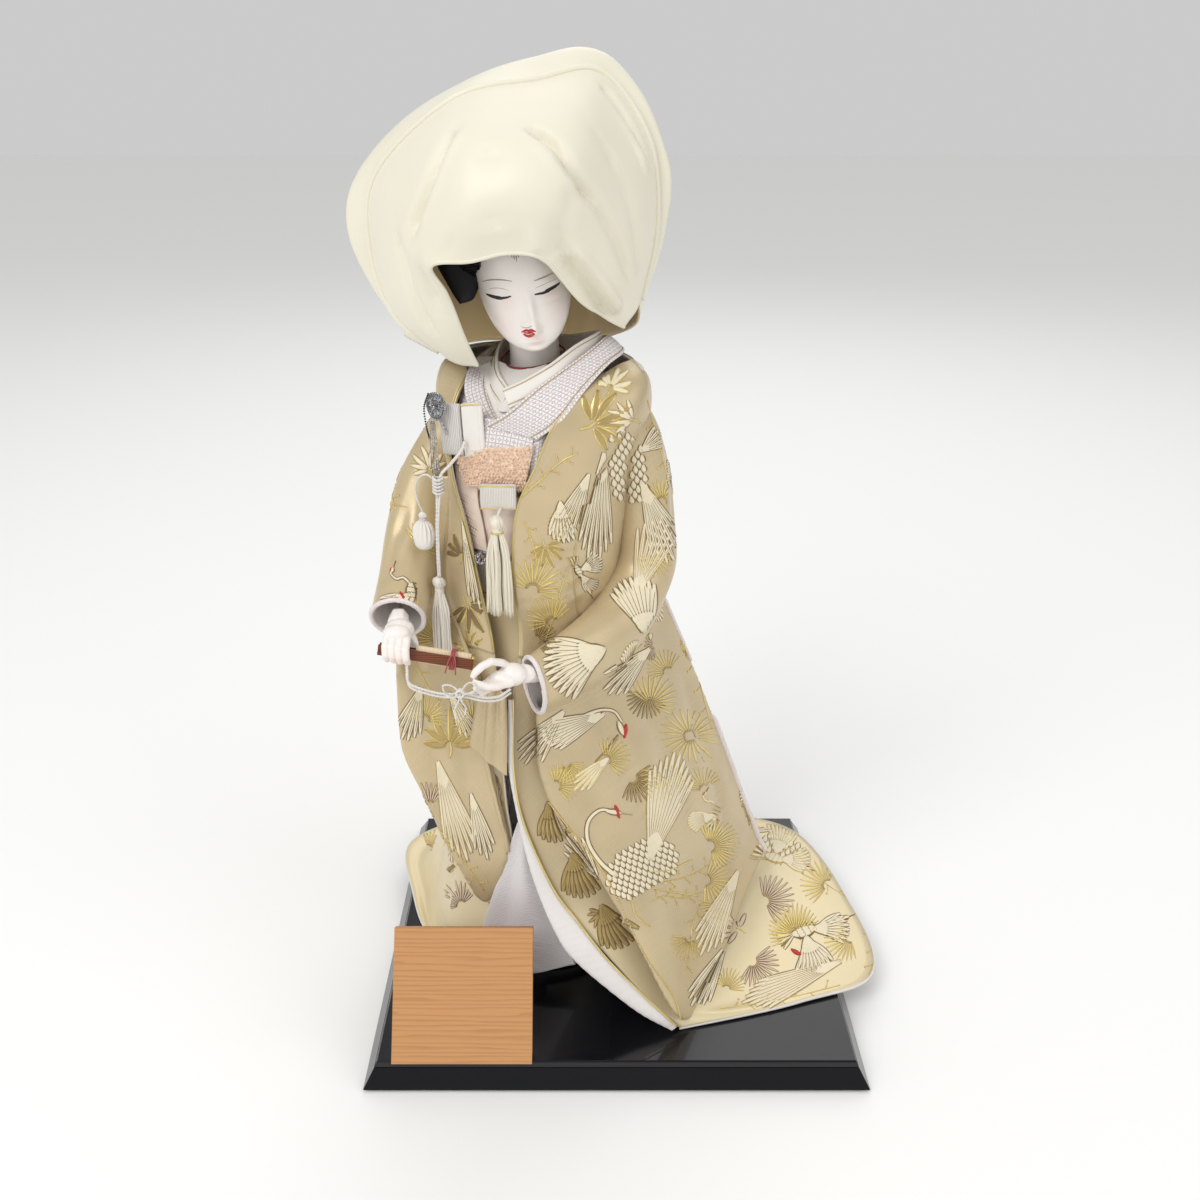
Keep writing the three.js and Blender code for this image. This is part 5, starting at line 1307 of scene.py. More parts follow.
def make_robe_edges():
    """Collar bands with gold piping, and the strip that joins them behind the neck."""
    n = facing(robe_grid, ROBE_HEART)[:BAND_LENGTH]
    top = robe_grid[:BAND_LENGTH]
    for side, columns, outer, inner in BANDS:
        band = top[:, columns] + n[:, columns] * 1.25
        swell = np.sin(np.linspace(0, math.pi, band.shape[1])) * 0.7
        band = band + n[:, columns] * swell[None, :, None]
        piping = tube_piece("robe_collar_piping_" + side, top[:, inner] + n[:, inner] * 1.3, 0.45,
                            BAND_LENGTH, GOLD_THREAD, smooth=False)
        edging = tube_piece("robe_collar_edging_" + side, top[:, outer] + n[:, outer] * 0.6, 0.6,
                            BAND_LENGTH, GOLD_THREAD, smooth=False)
        cloth("robe_collar_" + side, band, 1.0, ROBE_BROCADE)
    nape = robe_grid[:12, 16:-22] + n[:12, 16:-22] * 1.2
    cloth("robe_collar_nape", nape, 1.0, CREAM_COLLAR)


def pillow(rows, across, down, thick):
    """Closed padded strip over a net, fullest along its middle."""
    mid = net(rows, across, down)
    n = normals_of(mid)
    t = np.linspace(-1, 1, down + 1)[:, None, None]
    half = thick / 2 * np.sqrt(np.maximum(1 - t ** 2, 0.02))
    ends = np.minimum(1, 14 * np.minimum(np.linspace(0, 1, across + 1),
                                         np.linspace(1, 0, across + 1)) + 0.12)
    half = half * ends[None, :, None]
    top = mid + n * half
    low = mid - n * half
    return np.concatenate([top, low[::-1]], 0)


def make_hem():
    loop = pillow(HEM, 200, 12, 3.4)
    along = loop.shape[1]
    wobble = 0.07 * np.sin(np.linspace(0, 260, along)) + 0.3 * np.sin(np.linspace(0, 21, along))
    loop = loop + normals_of(loop) * wobble[None, :, None]
    hem = closed_piece("robe_padded_hem", loop.transpose(1, 0, 2), HEM_SILK)
    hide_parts("robe_hem")
    edge = net(HEM, 200, 12)[0] + np.array([0, -1.4, 1.2])
    tube_piece("hem_gold_piping", edge, 0.55, 201, GOLD_THREAD, smooth=False)


def make_front_fold():
    """Flap of the robe's front that the left hand gathers up, in shallow pleats."""
    grid = net(FOLD, 60, 80)
    pleat = np.sin(np.linspace(0, 5 * math.pi, 61))[None, :] * np.linspace(1.4, 0.5, 81)[:, None]
    n = facing(grid, (-60, 0, 200))
    grid = grid + n * pleat[..., None]
    cloth("robe_front_flap", grid, 1.1, ROBE_BROCADE, lining=LINING,
          outward=(-60, 0, 200), node="front_fold")


def make_train_roll():
    """White roll of the lining that shows along the robe's foot."""
    foot = robe_grid[-1][::2]
    tube_piece("robe_foot_roll", foot + np.array([0, 0, -0.5]), 0.95, len(foot), HEM_SILK, smooth=False)


def make_skirt_panel():
    """Front of the white underskirt that shows between the robe's edges."""
    grid = net(seen((
        ((518, 822, -59), (521, 823, -60), (525, 826, -61)),
        ((506, 858, -56), (519, 862, -60), (533, 870, -61)),
        ((494, 892, -54), (518, 895, -60), (545, 898, -61)),
        ((484, 926, -52), (518, 930, -60), (562, 936, -61)),
        ((478, 968, -50), (518, 972, -60), (575, 966, -64)),
    )), 70, 90)
    n = facing(grid, (-60, 40, 100))
    fold = np.cos(np.linspace(0, 3 * math.pi, 71))[None, :] * np.linspace(0.4, 1.8, 91)[:, None]
    grid = grid + n * fold[..., None]
    cloth("underskirt_front_panel", grid, 1.0, SKIRT_SILK,
          outward=(-60, 40, 100))


make_robe_edges()
make_train_roll()
make_skirt_panel()
make_hem()
make_front_fold()


# Layers under the robe

def ring_rows(rings, first, last, count=33):
    """Rows round the doll's body: each ring is (up, half width, front, back, shift)."""
    rows = []
    for up, wide, front, back, shift in rings:
        row = []
        for degrees in np.linspace(first, last, count):
            s = math.sin(math.radians(degrees))
            c = math.cos(math.radians(degrees))
            row.append(on_doll(shift + wide * s, (front if c > 0 else back) * c, up))
        rows.append(row)
    return np.array(rows)


# Rings round the body: height, half width, reach to the front and to the back, shift to the left
KIMONO = [
    [24, 46, 46, 54, 3], [80, 43, 43, 47, 3], [128, 41, 41, 41, 3], [200, 39.5, 39.5, 38, 3],
    [262, 39, 37.8, 37, 3], [320, 39, 37.8, 34, 3], [352, 39, 37.8, 33, 3], [374, 37, 32, 30, 2],
]
SKIRT = [
    [19, 42, 43, 50, 3], [60, 40, 40, 44, 3], [110, 38, 38, 38, 3], [150, 37.4, 36, 34, 3],
    [182, 37.6, 35.2, 33.2, 3],
]


def make_kimono():
    rows = []
    for k, ring in enumerate(KIMONO):
        v = k / (len(KIMONO) - 1)
        part = 32 * max(0, (0.42 - v) / 0.42) ** 0.8
        grown = ring_rows([ring], 4 - part, -364 + part)[0]
        push = np.linspace(0, 2, len(grown))[:, None]
        middle = on_doll(ring[4], 0, ring[0])
        away = unit((grown - middle) * [1, 1, 0])
        rows.append(grown + away * push)
    grid = net(rows, 220, 140)
    n = facing(grid, (-47, 0, 200))
    grid = wave(grid, n, 21, 40, 0.3)
    cloth("kimono_cloth", grid, 1.1, KIMONO_SILK, lining=LINING,
          outward=(-47, 0, 200), node="kimono")
    for edge, name in ((0, "left"), (-1, "right")):
        tube_piece("kimono_edge_" + name, grid[:70, edge], 0.9, 70, HEM_SILK, smooth=False)


def make_underskirt():
    grid = net(ring_rows(SKIRT, -176, 176), 220, 90)
    n = facing(grid, (-47, 0, 100))
    turn = np.linspace(-176, 176, 221)
    pleat = 0.45 * np.sin(np.radians(turn * 9)) * np.linspace(1, 0.2, 91)[:, None]
    grid = grid + n * pleat[..., None]
    hem = tube_piece("underskirt_hem_roll", grid[0], 0.9, 221, HEM_SILK, smooth=False)
    cloth("underskirt_cloth", grid, 1.0, SKIRT_SILK,
          node="underskirt")


SASH = [[300, 43.5, 43, 40.5, 3], [322, 43.5, 43, 40, 3], [342, 43.5, 42.8, 39.5, 3]]


def make_obi():
    grid = net(ring_rows(SASH, -178.5, 178.5), 240, 40)
    n = facing(grid, (-47, 0, 320))
    down = np.linspace(0, 1, 41)[:, None]
    grid = grid + n * (0.5 * np.sin(down * math.pi * 3) ** 2)[..., None]
    sash = cloth("sash_cloth", grid, 2.2, OBI_SILK, node="obi")
    rows = []
    for up in (292, 320, 344):
        rows.append([on_doll(a + 3, -44.9 + 0.008 * a * a, up) for a in (-22, -11, 0, 11, 22)])
    bow = net(rows, 60, 60)
    n = facing(bow, on_doll(3, 0, 320))
    ridge = 1.1 * np.cos(np.linspace(-1, 1, 61) * math.pi * 2.5)[None, :] * np.ones((61, 1))
    bow = bow + n * ridge[..., None]
    cloth("sash_bow_cloth", bow, 3.2, OBI_SILK, node="obi_bow")


def raised_points(grid, n, finish):
    """The scarf's tied points: small blunt cones in staggered lines, each leaning its own way."""
    random = np.random.default_rng(4)
    heap = Heap()
    turn = np.linspace(0, math.tau, 7, endpoint=False)
    for j, down in enumerate(np.linspace(2, 68, 12)):
        for across in np.linspace(3, 177, 23) + (2 if j % 2 else -2):
            spot = (min(70, max(0, int(down + random.uniform(-1.2, 1.2)))),
                    min(180, max(0, int(across + random.uniform(-1.2, 1.2)))))
            foot = grid[spot] + n[spot] * 0.7
            out = unit(n[spot] + random.normal(0, 0.28, 3))
            side = unit(np.cross(out, [0.1, 0.2, 1.0]))
            over = np.cross(out, side)
            tall = random.uniform(1.2, 2.2)
            rings = []
            for up, wide in ((0, 1.15), (0.3, 0.8), (0.62, 0.52), (0.9, 0.42), (1, 0.12)):
                ring = foot + out * (tall * up) + wide * (
                    np.cos(turn)[:, None] * side + np.sin(turn)[:, None] * over)
                rings.append(ring)
            heap.add(np.array(rings), closed=True)
    return heap.put("scarf_tied_points", finish)


def make_scarf():
    """Tied-dyed scarf above the sash, with its small raised points."""
    rows = []
    for k, (right, left) in enumerate(((363.5, 371.5), (354, 359), (345.5, 347))):
        row = []
        for t in (0, 0.25, 0.5, 0.75, 1):
            a = (-24.5 + 47.5 * t) * (1 - 0.12 * k)
            front = 45.6 - 5 * (a / 27) ** 2 + (0.8 if k == 1 else 0)
            row.append(on_doll(a, front, right + (left - right) * t))
        rows.append(row)
    grid = net(rows, 180, 70)
    n = facing(grid, on_doll(0, 0, 350))
    flat = grid_lengths(grid).reshape(71, 181, 2) * 1000
    swell = 0.5 * np.sin(flat[..., 0] / 5.5 + 1) * np.sin(flat[..., 1] / 4.5)
    grid = grid + n * (swell + 0.9)[..., None]
    f = Finish("tied_dyed_crepe", 0.75, sheen=0.4, specular=0.25, from_layout=True)
    out = f.desk.use(CREPE, At=f.at, Grain=420.0)
    f.set("Base Color", f.desk.blend((0.88, 0.71, 0.56), (0.78, 0.57, 0.42), out["Mask"]))
    f.raise_by(out["Height"], 0.35)
    roll = tube_piece("scarf_top_roll", grid[0] - n[0], 1.3, 181, f.material, smooth=False)
    points = raised_points(grid, n, f.material)
    cloth("tied_dyed_scarf", grid, 2.0, f.material,
          node="obi_scarf")


def beads(heap, points, radius, sides=8):
    """Small round beads at points."""
    w = np.linspace(0, math.tau, sides, endpoint=False)
    for p in points:
        rings = []
        for h in np.linspace(-1, 1, 6):
            r = radius * math.sqrt(max(0, 1 - h * h))
            rings.append(np.stack([p[0] + r * np.cos(w), p[1] + r * np.sin(w),
                                   np.full(sides, p[2] + radius * h)], -1))
        heap.add(np.array(rings), closed=True)


def make_obi_cord():
    """Silver cord over the sash with its bead knot."""
    ring = ring_rows([[307, 46.8, 46.3, 44, 3]], -26, 26, 9)[0]
    heap = Heap()
    heap.strand(ring, 1.45, 120, sides=15, lobes=5, pitch=6)
    random = np.random.default_rng(8)
    spots = []
    for _ in range(46):
        t = random.uniform(0, math.tau)
        h = random.uniform(-1, 1)
        r = math.sqrt(1 - h * h)
        spots.append(on_doll(-8 + 3.6 * r * math.cos(t), 49 + 2.6 * r * math.sin(t), 305 + 3.0 * h))
    beads(heap, spots, 0.85)
    piece = heap.put("sash_cord_and_knot", SILVER)
    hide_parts("obi_cord")


# Collars, in the doll's own frame: a band's inner and outer edge, from front round the neck
UNDER_COLLAR = [
    [[4, 41, 399], [14, 37, 404], [26, 29, 412], [34, 16, 420], [39, 2, 424], [32, -14, 422],
      [14, -22, 417], [-6, -20, 416], [-18, -10, 416], [-17, 5, 415], [-12, 19, 411],
      [-5, 30, 405], [5, 36, 398]],
    [[9, 43, 391], [19, 39, 396], [31, 31, 403], [37, 16, 411], [41, 1, 415], [34, -15, 413],
      [15, -24, 408], [-7, -22, 407], [-20, -11, 407], [-19, 6, 406], [-15, 21, 402],
      [-8, 32, 396], [2, 38, 389]],
]

FIGURED_COLLAR = [
    [[-4, 45, 380], [10, 45, 389], [24, 37, 402], [39, 20, 415], [44, 2, 422], [36, -18, 419],
      [16, -27, 413], [-8, -26, 412], [-24, -14, 412], [-23, 5, 410], [-19, 20, 405],
      [-13, 33, 394], [-6, 39.5, 385]],
    [[24, 43, 376], [36.5, 39.5, 386], [45, 28, 401], [50, 12, 411], [51, -4, 414], [42, -22, 412],
      [18, -33, 405], [-12, -32, 404], [-35, -16, 405], [-36, 6, 401], [-33, 22, 392],
      [-27, 32.5, 380], [-18, 37.5, 377]],
]


def make_turns():
    """Cloth that turns inward beside the sash, the kimono, the collars and the robe's armhole.

    Rows are places of the picture with their depth y.
    """
    for name, finish, rows in (
        ("robe_armhole_gusset", ROBE_BROCADE, (
            ((455, 476, -15), (436, 476, -13)), ((455, 520, -22), (434, 520, -14)),
            ((454, 560, -28), (430, 560, -24)),
            ((452, 600, -31), (424, 600, -27)), ((450, 634, -34), (424, 634, -31)))),
        ("sash_side_turn", OBI_SILK, (
            ((451, 444, -20), (462, 447, -27), (474, 450, -32)),
            ((456, 474, -24), (466, 474, -28), (478, 474, -34)),
            ((457, 500, -26), (466, 500, -30), (478, 500, -35.5)),
            ((462, 530, -30), (470, 530, -32), (484, 530, -38.5)),
            ((468, 558, -31), (476, 558, -34), (488, 558, -39.5)))),
        ("kimono_side_turn", KIMONO_SILK, (
            ((468, 556, -27), (482, 556, -31), (500, 556, -36)),
            ((478, 590, -30), (488, 590, -33), (506, 590, -38)),
            ((484, 620, -34), (494, 620, -35), (512, 620, -40)),
            ((486, 650, -36), (498, 650, -37), (514, 650, -41)),
            ((488, 684, -38), (500, 684, -38), (516, 684, -42)))),
        ("white_chest_silk_side", PLAIN_WHITE, (
            ((479, 366, -12), (490, 362, -14)), ((481, 375, -19), (495, 375, -22.5)),
            ((484, 388, -25), (499, 388, -29.3)), ((487, 401, -29.5), (503, 401, -34)),
            ((492, 413, -35), (505, 409, -37)), ((496, 420, -38), (508, 414, -40)))),
        ("robe_cross_fold", ROBE_BROCADE, (
            ((484, 592, -33), (502, 592, -38), (524, 592, -43)),
            ((488, 640, -37), (504, 640, -40.5), (524, 640, -45)),
            ((490, 672, -40), (506, 672, -43), (526, 672, -48)),
            ((490, 704, -44), (508, 704, -47), (526, 704, -51)))),
        ("figured_collar_corner", ROSETTE_SILK, (
            ((532, 428, -48.5), (544, 424, -48.5), (552, 416, -46)),
            ((528, 448, -49), (538, 446, -50), (546, 436, -49)))),
        ("figured_collar_end", ROSETTE_SILK, (
            ((530, 444, -49.5), (540, 440, -50.3), (546, 434, -49)),
            ((528, 478, -48), (536, 476, -50), (542, 472, -50)),
            ((526, 508, -47.5), (532, 506, -49.5), (538, 502, -50)))),
    ):
        grid = net(seen(rows), 40, 60)
        cloth(name, grid, 0.9, finish, outward=(-60, 40, 330))


def make_collars():
    for name, table, node, look, wall in (
        ("under_collar_silk", UNDER_COLLAR, "under_collar", PLAIN_WHITE, 1.1),
        ("figured_collar_silk", FIGURED_COLLAR, "figured_collar", ROSETTE_SILK, 1.2),
    ):
        grid = net(doll_rows(table), 200, 22)
        n = facing(grid, (-47, -2, 380))
        across = np.linspace(0, 1, 23)[:, None]
        grid = grid + n * (0.5 * np.sin(across * math.pi))[..., None]
        rolls = [tube_piece(name + "_fold_%d" % k, grid[edge], 0.8, 201, look, smooth=False)
                 for k, edge in enumerate((0, -1))]
        for k, share in enumerate((0.12, 0.88) if node == "under_collar" else (0.06, 0.94)):
            line = grid[int(share * 22)] + n[int(share * 22)] * 0.75
            rolls.append(tube_piece(name + "_gold_line_%d" % k, line, 0.22, 201, DULL_GOLD,
                                    smooth=False))
        cloth(name, grid, wall, look, node=node)
    strip = net(doll_rows([
        [(-27, 13, 408), (-27, 26, 401), (-22, 36, 391), (-10, 43.4, 378), (6, 45.2, 367)],
        [(-15.5, 14, 409), (-15, 24, 404), (-11, 33, 396), (-1, 40.8, 385), (12, 44.0, 375)],
    ]), 120, 16)
    line = strip[-2] + facing(strip, (-47, -2, 380))[-2] * 0.7
    gold = tube_piece("collar_underlap_gold_line", line, 0.22, 121, DULL_GOLD, smooth=False)
    tuck = net(doll_rows([
        [(-16, 43.3, 384), (-4, 44.2, 384), (10, 43.8, 384), (22, 42.6, 382)],
        [(-21, 44.6, 362), (-8, 45.6, 362), (8, 45.6, 364), (23, 43.2, 368)],
    ]), 60, 30)
    cloth("figured_collar_tuck", tuck, 0.9, ROSETTE_SILK)
    throat = net(doll_rows([
        [(-12, 20, 409), (0, 22.5, 407), (10, 23, 407), (20, 21, 410)],
        [(-6, 31, 400), (1, 33, 398.5), (8, 33, 399), (15, 31, 402)],
        [(0, 39.5, 387), (3, 40.5, 387), (6, 40.5, 387.5), (9, 40, 388)],
    ]), 50, 40)
    cloth("white_chest_silk", throat, 0.9, PLAIN_WHITE)
    cloth("figured_collar_underlap", strip, 1.0, ROSETTE_SILK)
    ring = circle(25, lambda c, s: on_doll(3 + 16.2 * c, 4 + (18 + 2.4 * s) * s, 410.5 - 3.4 * s))
    cord = tube_piece("neck_thread", ring, 0.62, 140, RED_CORD, HEAD_BODY, lobes=2, pitch=3, sides=8)
    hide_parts("neck_cord")


make_kimono()
make_underskirt()
make_obi()
make_scarf()
make_obi_cord()
make_collars()
make_turns()


# Head, wig and hands

HEAD_AT = np.array([-51.0, -22.0, 458.0])
HEAD_TURNS = (math.radians(13), math.radians(-9.5), math.radians(6))  # down, sideways, round
HEAD_ROWS = [  # in the head's own frame: up, half width, front, back
    [-36, 4, -22, -14], [-34.5, 8, -25, -9], [-31, 14, -26.3, -2], [-25, 18.8, -27, 8],
    [-17, 22.2, -27.6, 17], [-8, 24.2, -28, 24], [1, 25, -28.5, 28], [11, 24.6, -28.5, 29.5],
    [20, 22, -26.5, 28], [28, 17, -20.5, 22], [33, 9.5, -11, 12], [35, 3, -4, 4],
]
FEATURES = [  # of the face: height, middle or both sides, place and width across, level and width
    (5.0, "middle", 0, 2.4, -21.5, 3.2),
    (3.1, "middle", 0, 2.3, -12, 8),
    (0.9, "both", 2.8, 1.6, -22.5, 1.8),
    (-1.3, "both", 11, 6, -4, 3.6),
    (0.8, "both", 11.5, 5, -6, 2.2),
    (0.5, "both", 11, 7, 1.8, 2.4),
    (1.3, "middle", 0, 4.2, -27.5, 2.3),
    (-0.5, "middle", 0, 4, -31.5, 1.4),
    (0.9, "middle", 0, 5, -33.5, 2.6),
    (-0.35, "both", 11, 6.5, -9.6, 0.7),
    (-0.45, "middle", 0, 5.5, -27.5, 0.45),
]


def hump(x, middle, width):
    return np.exp(-((x - middle) / width) ** 2)


def pose_head(points):
    """From the head's own frame to its place, looking down and leaning."""
    p = np.asarray(points, float)
    x, y, z = p[..., 0], p[..., 1], p[..., 2]
    a, b, c = HEAD_TURNS
    y, z = y * math.cos(a) - z * math.sin(a), y * math.sin(a) + z * math.cos(a)
    x, z = x * math.cos(b) + z * math.sin(b), -x * math.sin(b) + z * math.cos(b)
    x, y = x * math.cos(c) - y * math.sin(c), x * math.sin(c) + y * math.cos(c)
    return np.stack([x, y, z], -1) + HEAD_AT


def face_grid(down, across):
    """The head's skin, with its face to the front and more points there."""
    rows = spline(np.asarray(HEAD_ROWS, float), np.linspace(0, 1, down))
    even = np.linspace(0, math.tau, across, endpoint=False)
    w = even - 0.45 * np.sin(even)
    s, c = np.sin(w)[None], np.cos(w)[None]
    up = rows[:, 0][:, None] + 0 * s
    half, front, back = rows[:, 1][:, None], rows[:, 2][:, None], rows[:, 3][:, None]
    x = half * np.sign(s) * np.abs(s) ** 0.92
    y = (front + back) / 2 - (back - front) / 2 * c
    side = np.abs(x)
    out = 0
    for height, place, middle, wide, level, tall in FEATURES:
        out += height * hump(side if place == "both" else x, middle, wide) * hump(up, level, tall)
    y = y - out * np.clip(c * 1.6, 0, 1)
    return pose_head(np.stack([x, y, up], -1))


def on_face(left, up):
    """A point of the face in metres, for its blush."""
    return tuple(world(pose_head((left, -26, up))))


def make_head():
    blush = [
        (on_face(-15, -17), 0.014, 0.13), (on_face(15, -17), 0.014, 0.13),
        (on_face(-11, -6), 0.008, 0.16), (on_face(11, -6), 0.008, 0.16),
        (on_face(0, -36), 0.009, 0.20), (on_face(0, -27), 0.007, 0.22),
        (on_face(-24, -22), 0.014, 0.30), (on_face(24, -22), 0.014, 0.30),
    ]
    heap = Heap()
    heap.add(capped(face_grid(150, 160)), closed=True)
    rows = []
    for up, r, dx, dy in ((398.6, 15.2, 0, 0), (405, 14.2, 0, 0), (416, 13.4, -0.5, -1),
                          (436, 13.4, -2.5, -5)):
        middle = on_doll(3, 3, 0) + np.array([dx, dy, up])
        rows.append(hoop(48, lambda c, s: middle + (r * c, r * s, 0)))
    neck = spline(np.array(rows), np.linspace(0, 1, 30))
    heap.add(capped(neck), closed=True)
    head = heap.put("face_and_neck", shell_white("shell_white_face", blush), HEAD_BODY)
    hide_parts("head")
    return head


def cast(tree, directions):
    """Where lines of sight meet a piece: points, outward normals, and whether they met it."""
    spots, sides, met = [], [], []
    start = Vector(EYE)
    for ray in directions:
        place, side, _, _ = tree.ray_cast(start, Vector(ray))
        met.append(place is not None)
        spots.append(place if place is not None else (0, 0, 0))
        if side is not None and side.dot(Vector(ray)) > 0:
            side = -side
        sides.append(side if side is not None else (0, 0, 1))
    return np.array(spots, float), np.array(sides, float), np.array(met)


def painted_line(heap, tree, points, width, steps=26, tall=0.16, taper=0.35):
    """Brush stroke through points of the picture, laid on a piece; width in millimetres."""
    path = spline(np.asarray(points, float), np.linspace(0, 1, steps))
    spots, sides, met = cast(tree, [sight(*p) for p in path])
    spots, sides = spots[met], sides[met]
    if len(spots) < 4:
        return
    t = np.linspace(0, 1, len(spots))
    half = width / 2 * (taper + (1 - taper) * np.sin(math.pi * np.clip(t, 0.02, 0.98)) ** 0.7)
    ahead = unit(np.gradient(spots, axis=0))
    cross = unit(np.cross(sides, ahead))
    ring = []
    for across, up in ((-1, -0.05), (-0.5, 0.8), (0, 1), (0.5, 0.8), (1, -0.05), (0, -0.3)):
        ring.append(spots + cross * (half * across)[:, None] + sides * (tall * up))
    heap.add(capped(np.stack(ring, 1)), closed=True)


def painted(name, tree, lines, finish, **options):
    """Brush strokes as one piece; lines are (points, width)."""
    heap = Heap()
    for points, width in lines:
        painted_line(heap, tree, points, width, **options)
    heap.put(name, finish, HEAD_BODY)


def paint_face(head):
    tree = tree_of(head)
    painted("eyelashes", tree, [
        ([(486.5, 294.5), (492, 296.8), (499, 298.2), (505, 297.8), (511, 296.2)], 1.75),
        ([(486, 293.8), (493, 296), (501, 297)], 1.3),
        ([(534.5, 294.5), (541, 293.4), (548, 290.8), (554, 287.4), (559.5, 283.6)], 1.75),
        ([(545, 290.6), (553, 286.8), (560, 282.6)], 1.3),
    ], LASH)
    painted("lid_lines_and_painted_nose_shade", tree, [
        ([(489, 289), (495, 288), (502, 288.6), (510, 291)], 0.4),
        ([(535, 288.4), (541, 285.6), (549, 282), (557, 278.4)], 0.4),
        # painted shade: this short grey stroke under the nose tip stands for the shadow there
        ([(520.5, 325.6), (523, 327.4), (526, 327.8), (529, 327.4), (532, 325.4)], 0.45),
    ], LID_AND_NOSE_SHADE, tall=0.06)
    painted("eyebrows", tree, [
        ([(482, 281.6), (489, 280), (497, 279.6), (505, 280.2), (512, 281.4)], 0.85),
        ([(534, 281), (541, 278.4), (547, 275.8), (553, 273)], 0.85),
    ], BROW, tall=0.06)
    painted("lips", tree, [
        ([(521.6, 332.2), (524, 331), (526.8, 330.4), (528.6, 331.2), (530.6, 330.3), (533, 330.6),
          (535.6, 331.8)], 1.5),
        ([(523.4, 334), (526.6, 335.7), (529.3, 336.1), (532, 335.3), (534.4, 333.4)], 2.2),
        ([(524, 332.4), (528.5, 333.2), (533.4, 332)], 1.0),
    ], LIP, tall=0.35)
    strokes = []
    for k in range(4):
        u = 511 + 2.2 * k
        strokes.append(([(u, 250), (u + 0.5, 255), (u + 1.2, 258 + (k % 3) * 2)], 0.45))
    painted("painted_forelock", tree, strokes, HAIR_STROKES, tall=0.06, taper=0.1)


def make_hair():
    cap = rounded_copy("wig_cap", "hair_cap", HAIR, 0.8, 5, HEAD_BODY)
    tree = tree_of(cap)
    random = np.random.default_rng(6)
    heap = Heap()
    for k in range(44):
        t = k / 43
        a = (486 - 3 * t, 250 + 44 * t)
        b = (463 - 6 * t, 254 + 50 * t + random.uniform(-0.6, 0.6))
        c = (438 + 6 * t, 262 + 48 * t)
        painted_line(heap, tree, [a, b, c], 1.1, steps=16, tall=0.5, taper=0.5)
    for k in range(16):
        t = k / 15
        painted_line(heap, tree, [(540 + 9 * t, 252 + 4 * t), (552 + 9 * t, 262 + 6 * t),
                                  (566 + 8 * t, 280 + 10 * t)], 1.1, steps=12, tall=0.5, taper=0.5)
    heap.put("combed_locks", HAIR, HEAD_BODY)
    ties = Heap()
    for k in range(3):
        painted_line(ties, tree, [(452 + 3 * k, 256), (449 + 3 * k, 276), (456 + 2 * k, 300)], 0.8,
                     steps=20, tall=0.7, taper=0.8)
    ties.put("white_hair_ties", WHITE_CORD, HEAD_BODY)
    side_lock("combed_left_wing", [
        ((434, 258), (438, 268), (446, 282), (454, 296), (460, 304)),
        ((460, 250), (464, 262), (467, 276), (468, 290), (466, 302)),
        ((489, 248), (488, 260), (486.5, 273), (477, 283), (472, 299)),
    ], (-36, -34, -30), 6)
    side_lock("combed_right_lock", [
        ((537, 250), (538.5, 256), (540, 262), (541, 267)),
        ((545, 251), (545.5, 257), (545.5, 263), (544, 269)),
        ((556, 254), (554, 261), (550, 266), (547, 270)),
    ], (-47, -45, -41), 2.6)
    rounded_copy("wig_top_knot", "hair_knot", HAIR, 0.9, 5, HEAD_BODY)


def side_lock(name, columns, depths, thick):
    """Flat combed lock of the wig seen in the hood's opening, with its strands."""
    grid = net(seen([[(*p, depth) for p in points] for points, depth in zip(columns, depths)]), 40, 48)
    n = normals_of(grid)
    n = n * np.sign(-n[..., 1].mean())
    v = np.linspace(-1, 1, 49)[:, None]
    u = np.linspace(-1, 1, 41)[None, :]
    half = thick / 2 * np.sqrt(np.maximum(1 - v ** 4, 0.02)) * np.sqrt(np.maximum(1 - u ** 6, 0.04))
    groove = 0.16 * np.cos(v * 62)
    top = grid + n * (half + groove)[..., None]
    low = grid - n * (half + groove)[..., None]
    closed_piece(name, capped(np.concatenate([top, low[::-1]], 0).transpose(1, 0, 2)), HAIR, HEAD_BODY)


def make_hands():
    skin = [
        (tuple(world((-118, -92, 266))), 0.009, 0.25),
        (tuple(world((-66, -101, 252))), 0.012, 0.25),
    ]
    finish = shell_white("shell_white_hands", skin)
    rounded_copy("left_hand_carved", "hand_left", finish, 0.45, 20, DOLL_BODY, 0.35, [
        ((-62.5, -93.5, 257), (7, 4.6, 4.6)), ((-66, -94, 255), (6, 3.6, 3.8)),
        ((-51, -84.5, 255.5), (6, 5, 5)), ((-60, -95.5, 257), (5, 4, 3.6)),
    ])
    rounded_copy("right_hand_carved", "hand_right", finish, 0.45, 14, DOLL_BODY, 0.15, [
        ((-118.6, -83, 279), (7.2, 5.2, 4.2)), ((-119.4, -70, 279.2), (5.8, 6.5, 5.2)),
    ])


head_piece = make_head()
paint_face(head_piece)
make_hair()
make_hands()


# Tassels, wallet, dagger bag, hair ornament and sachet

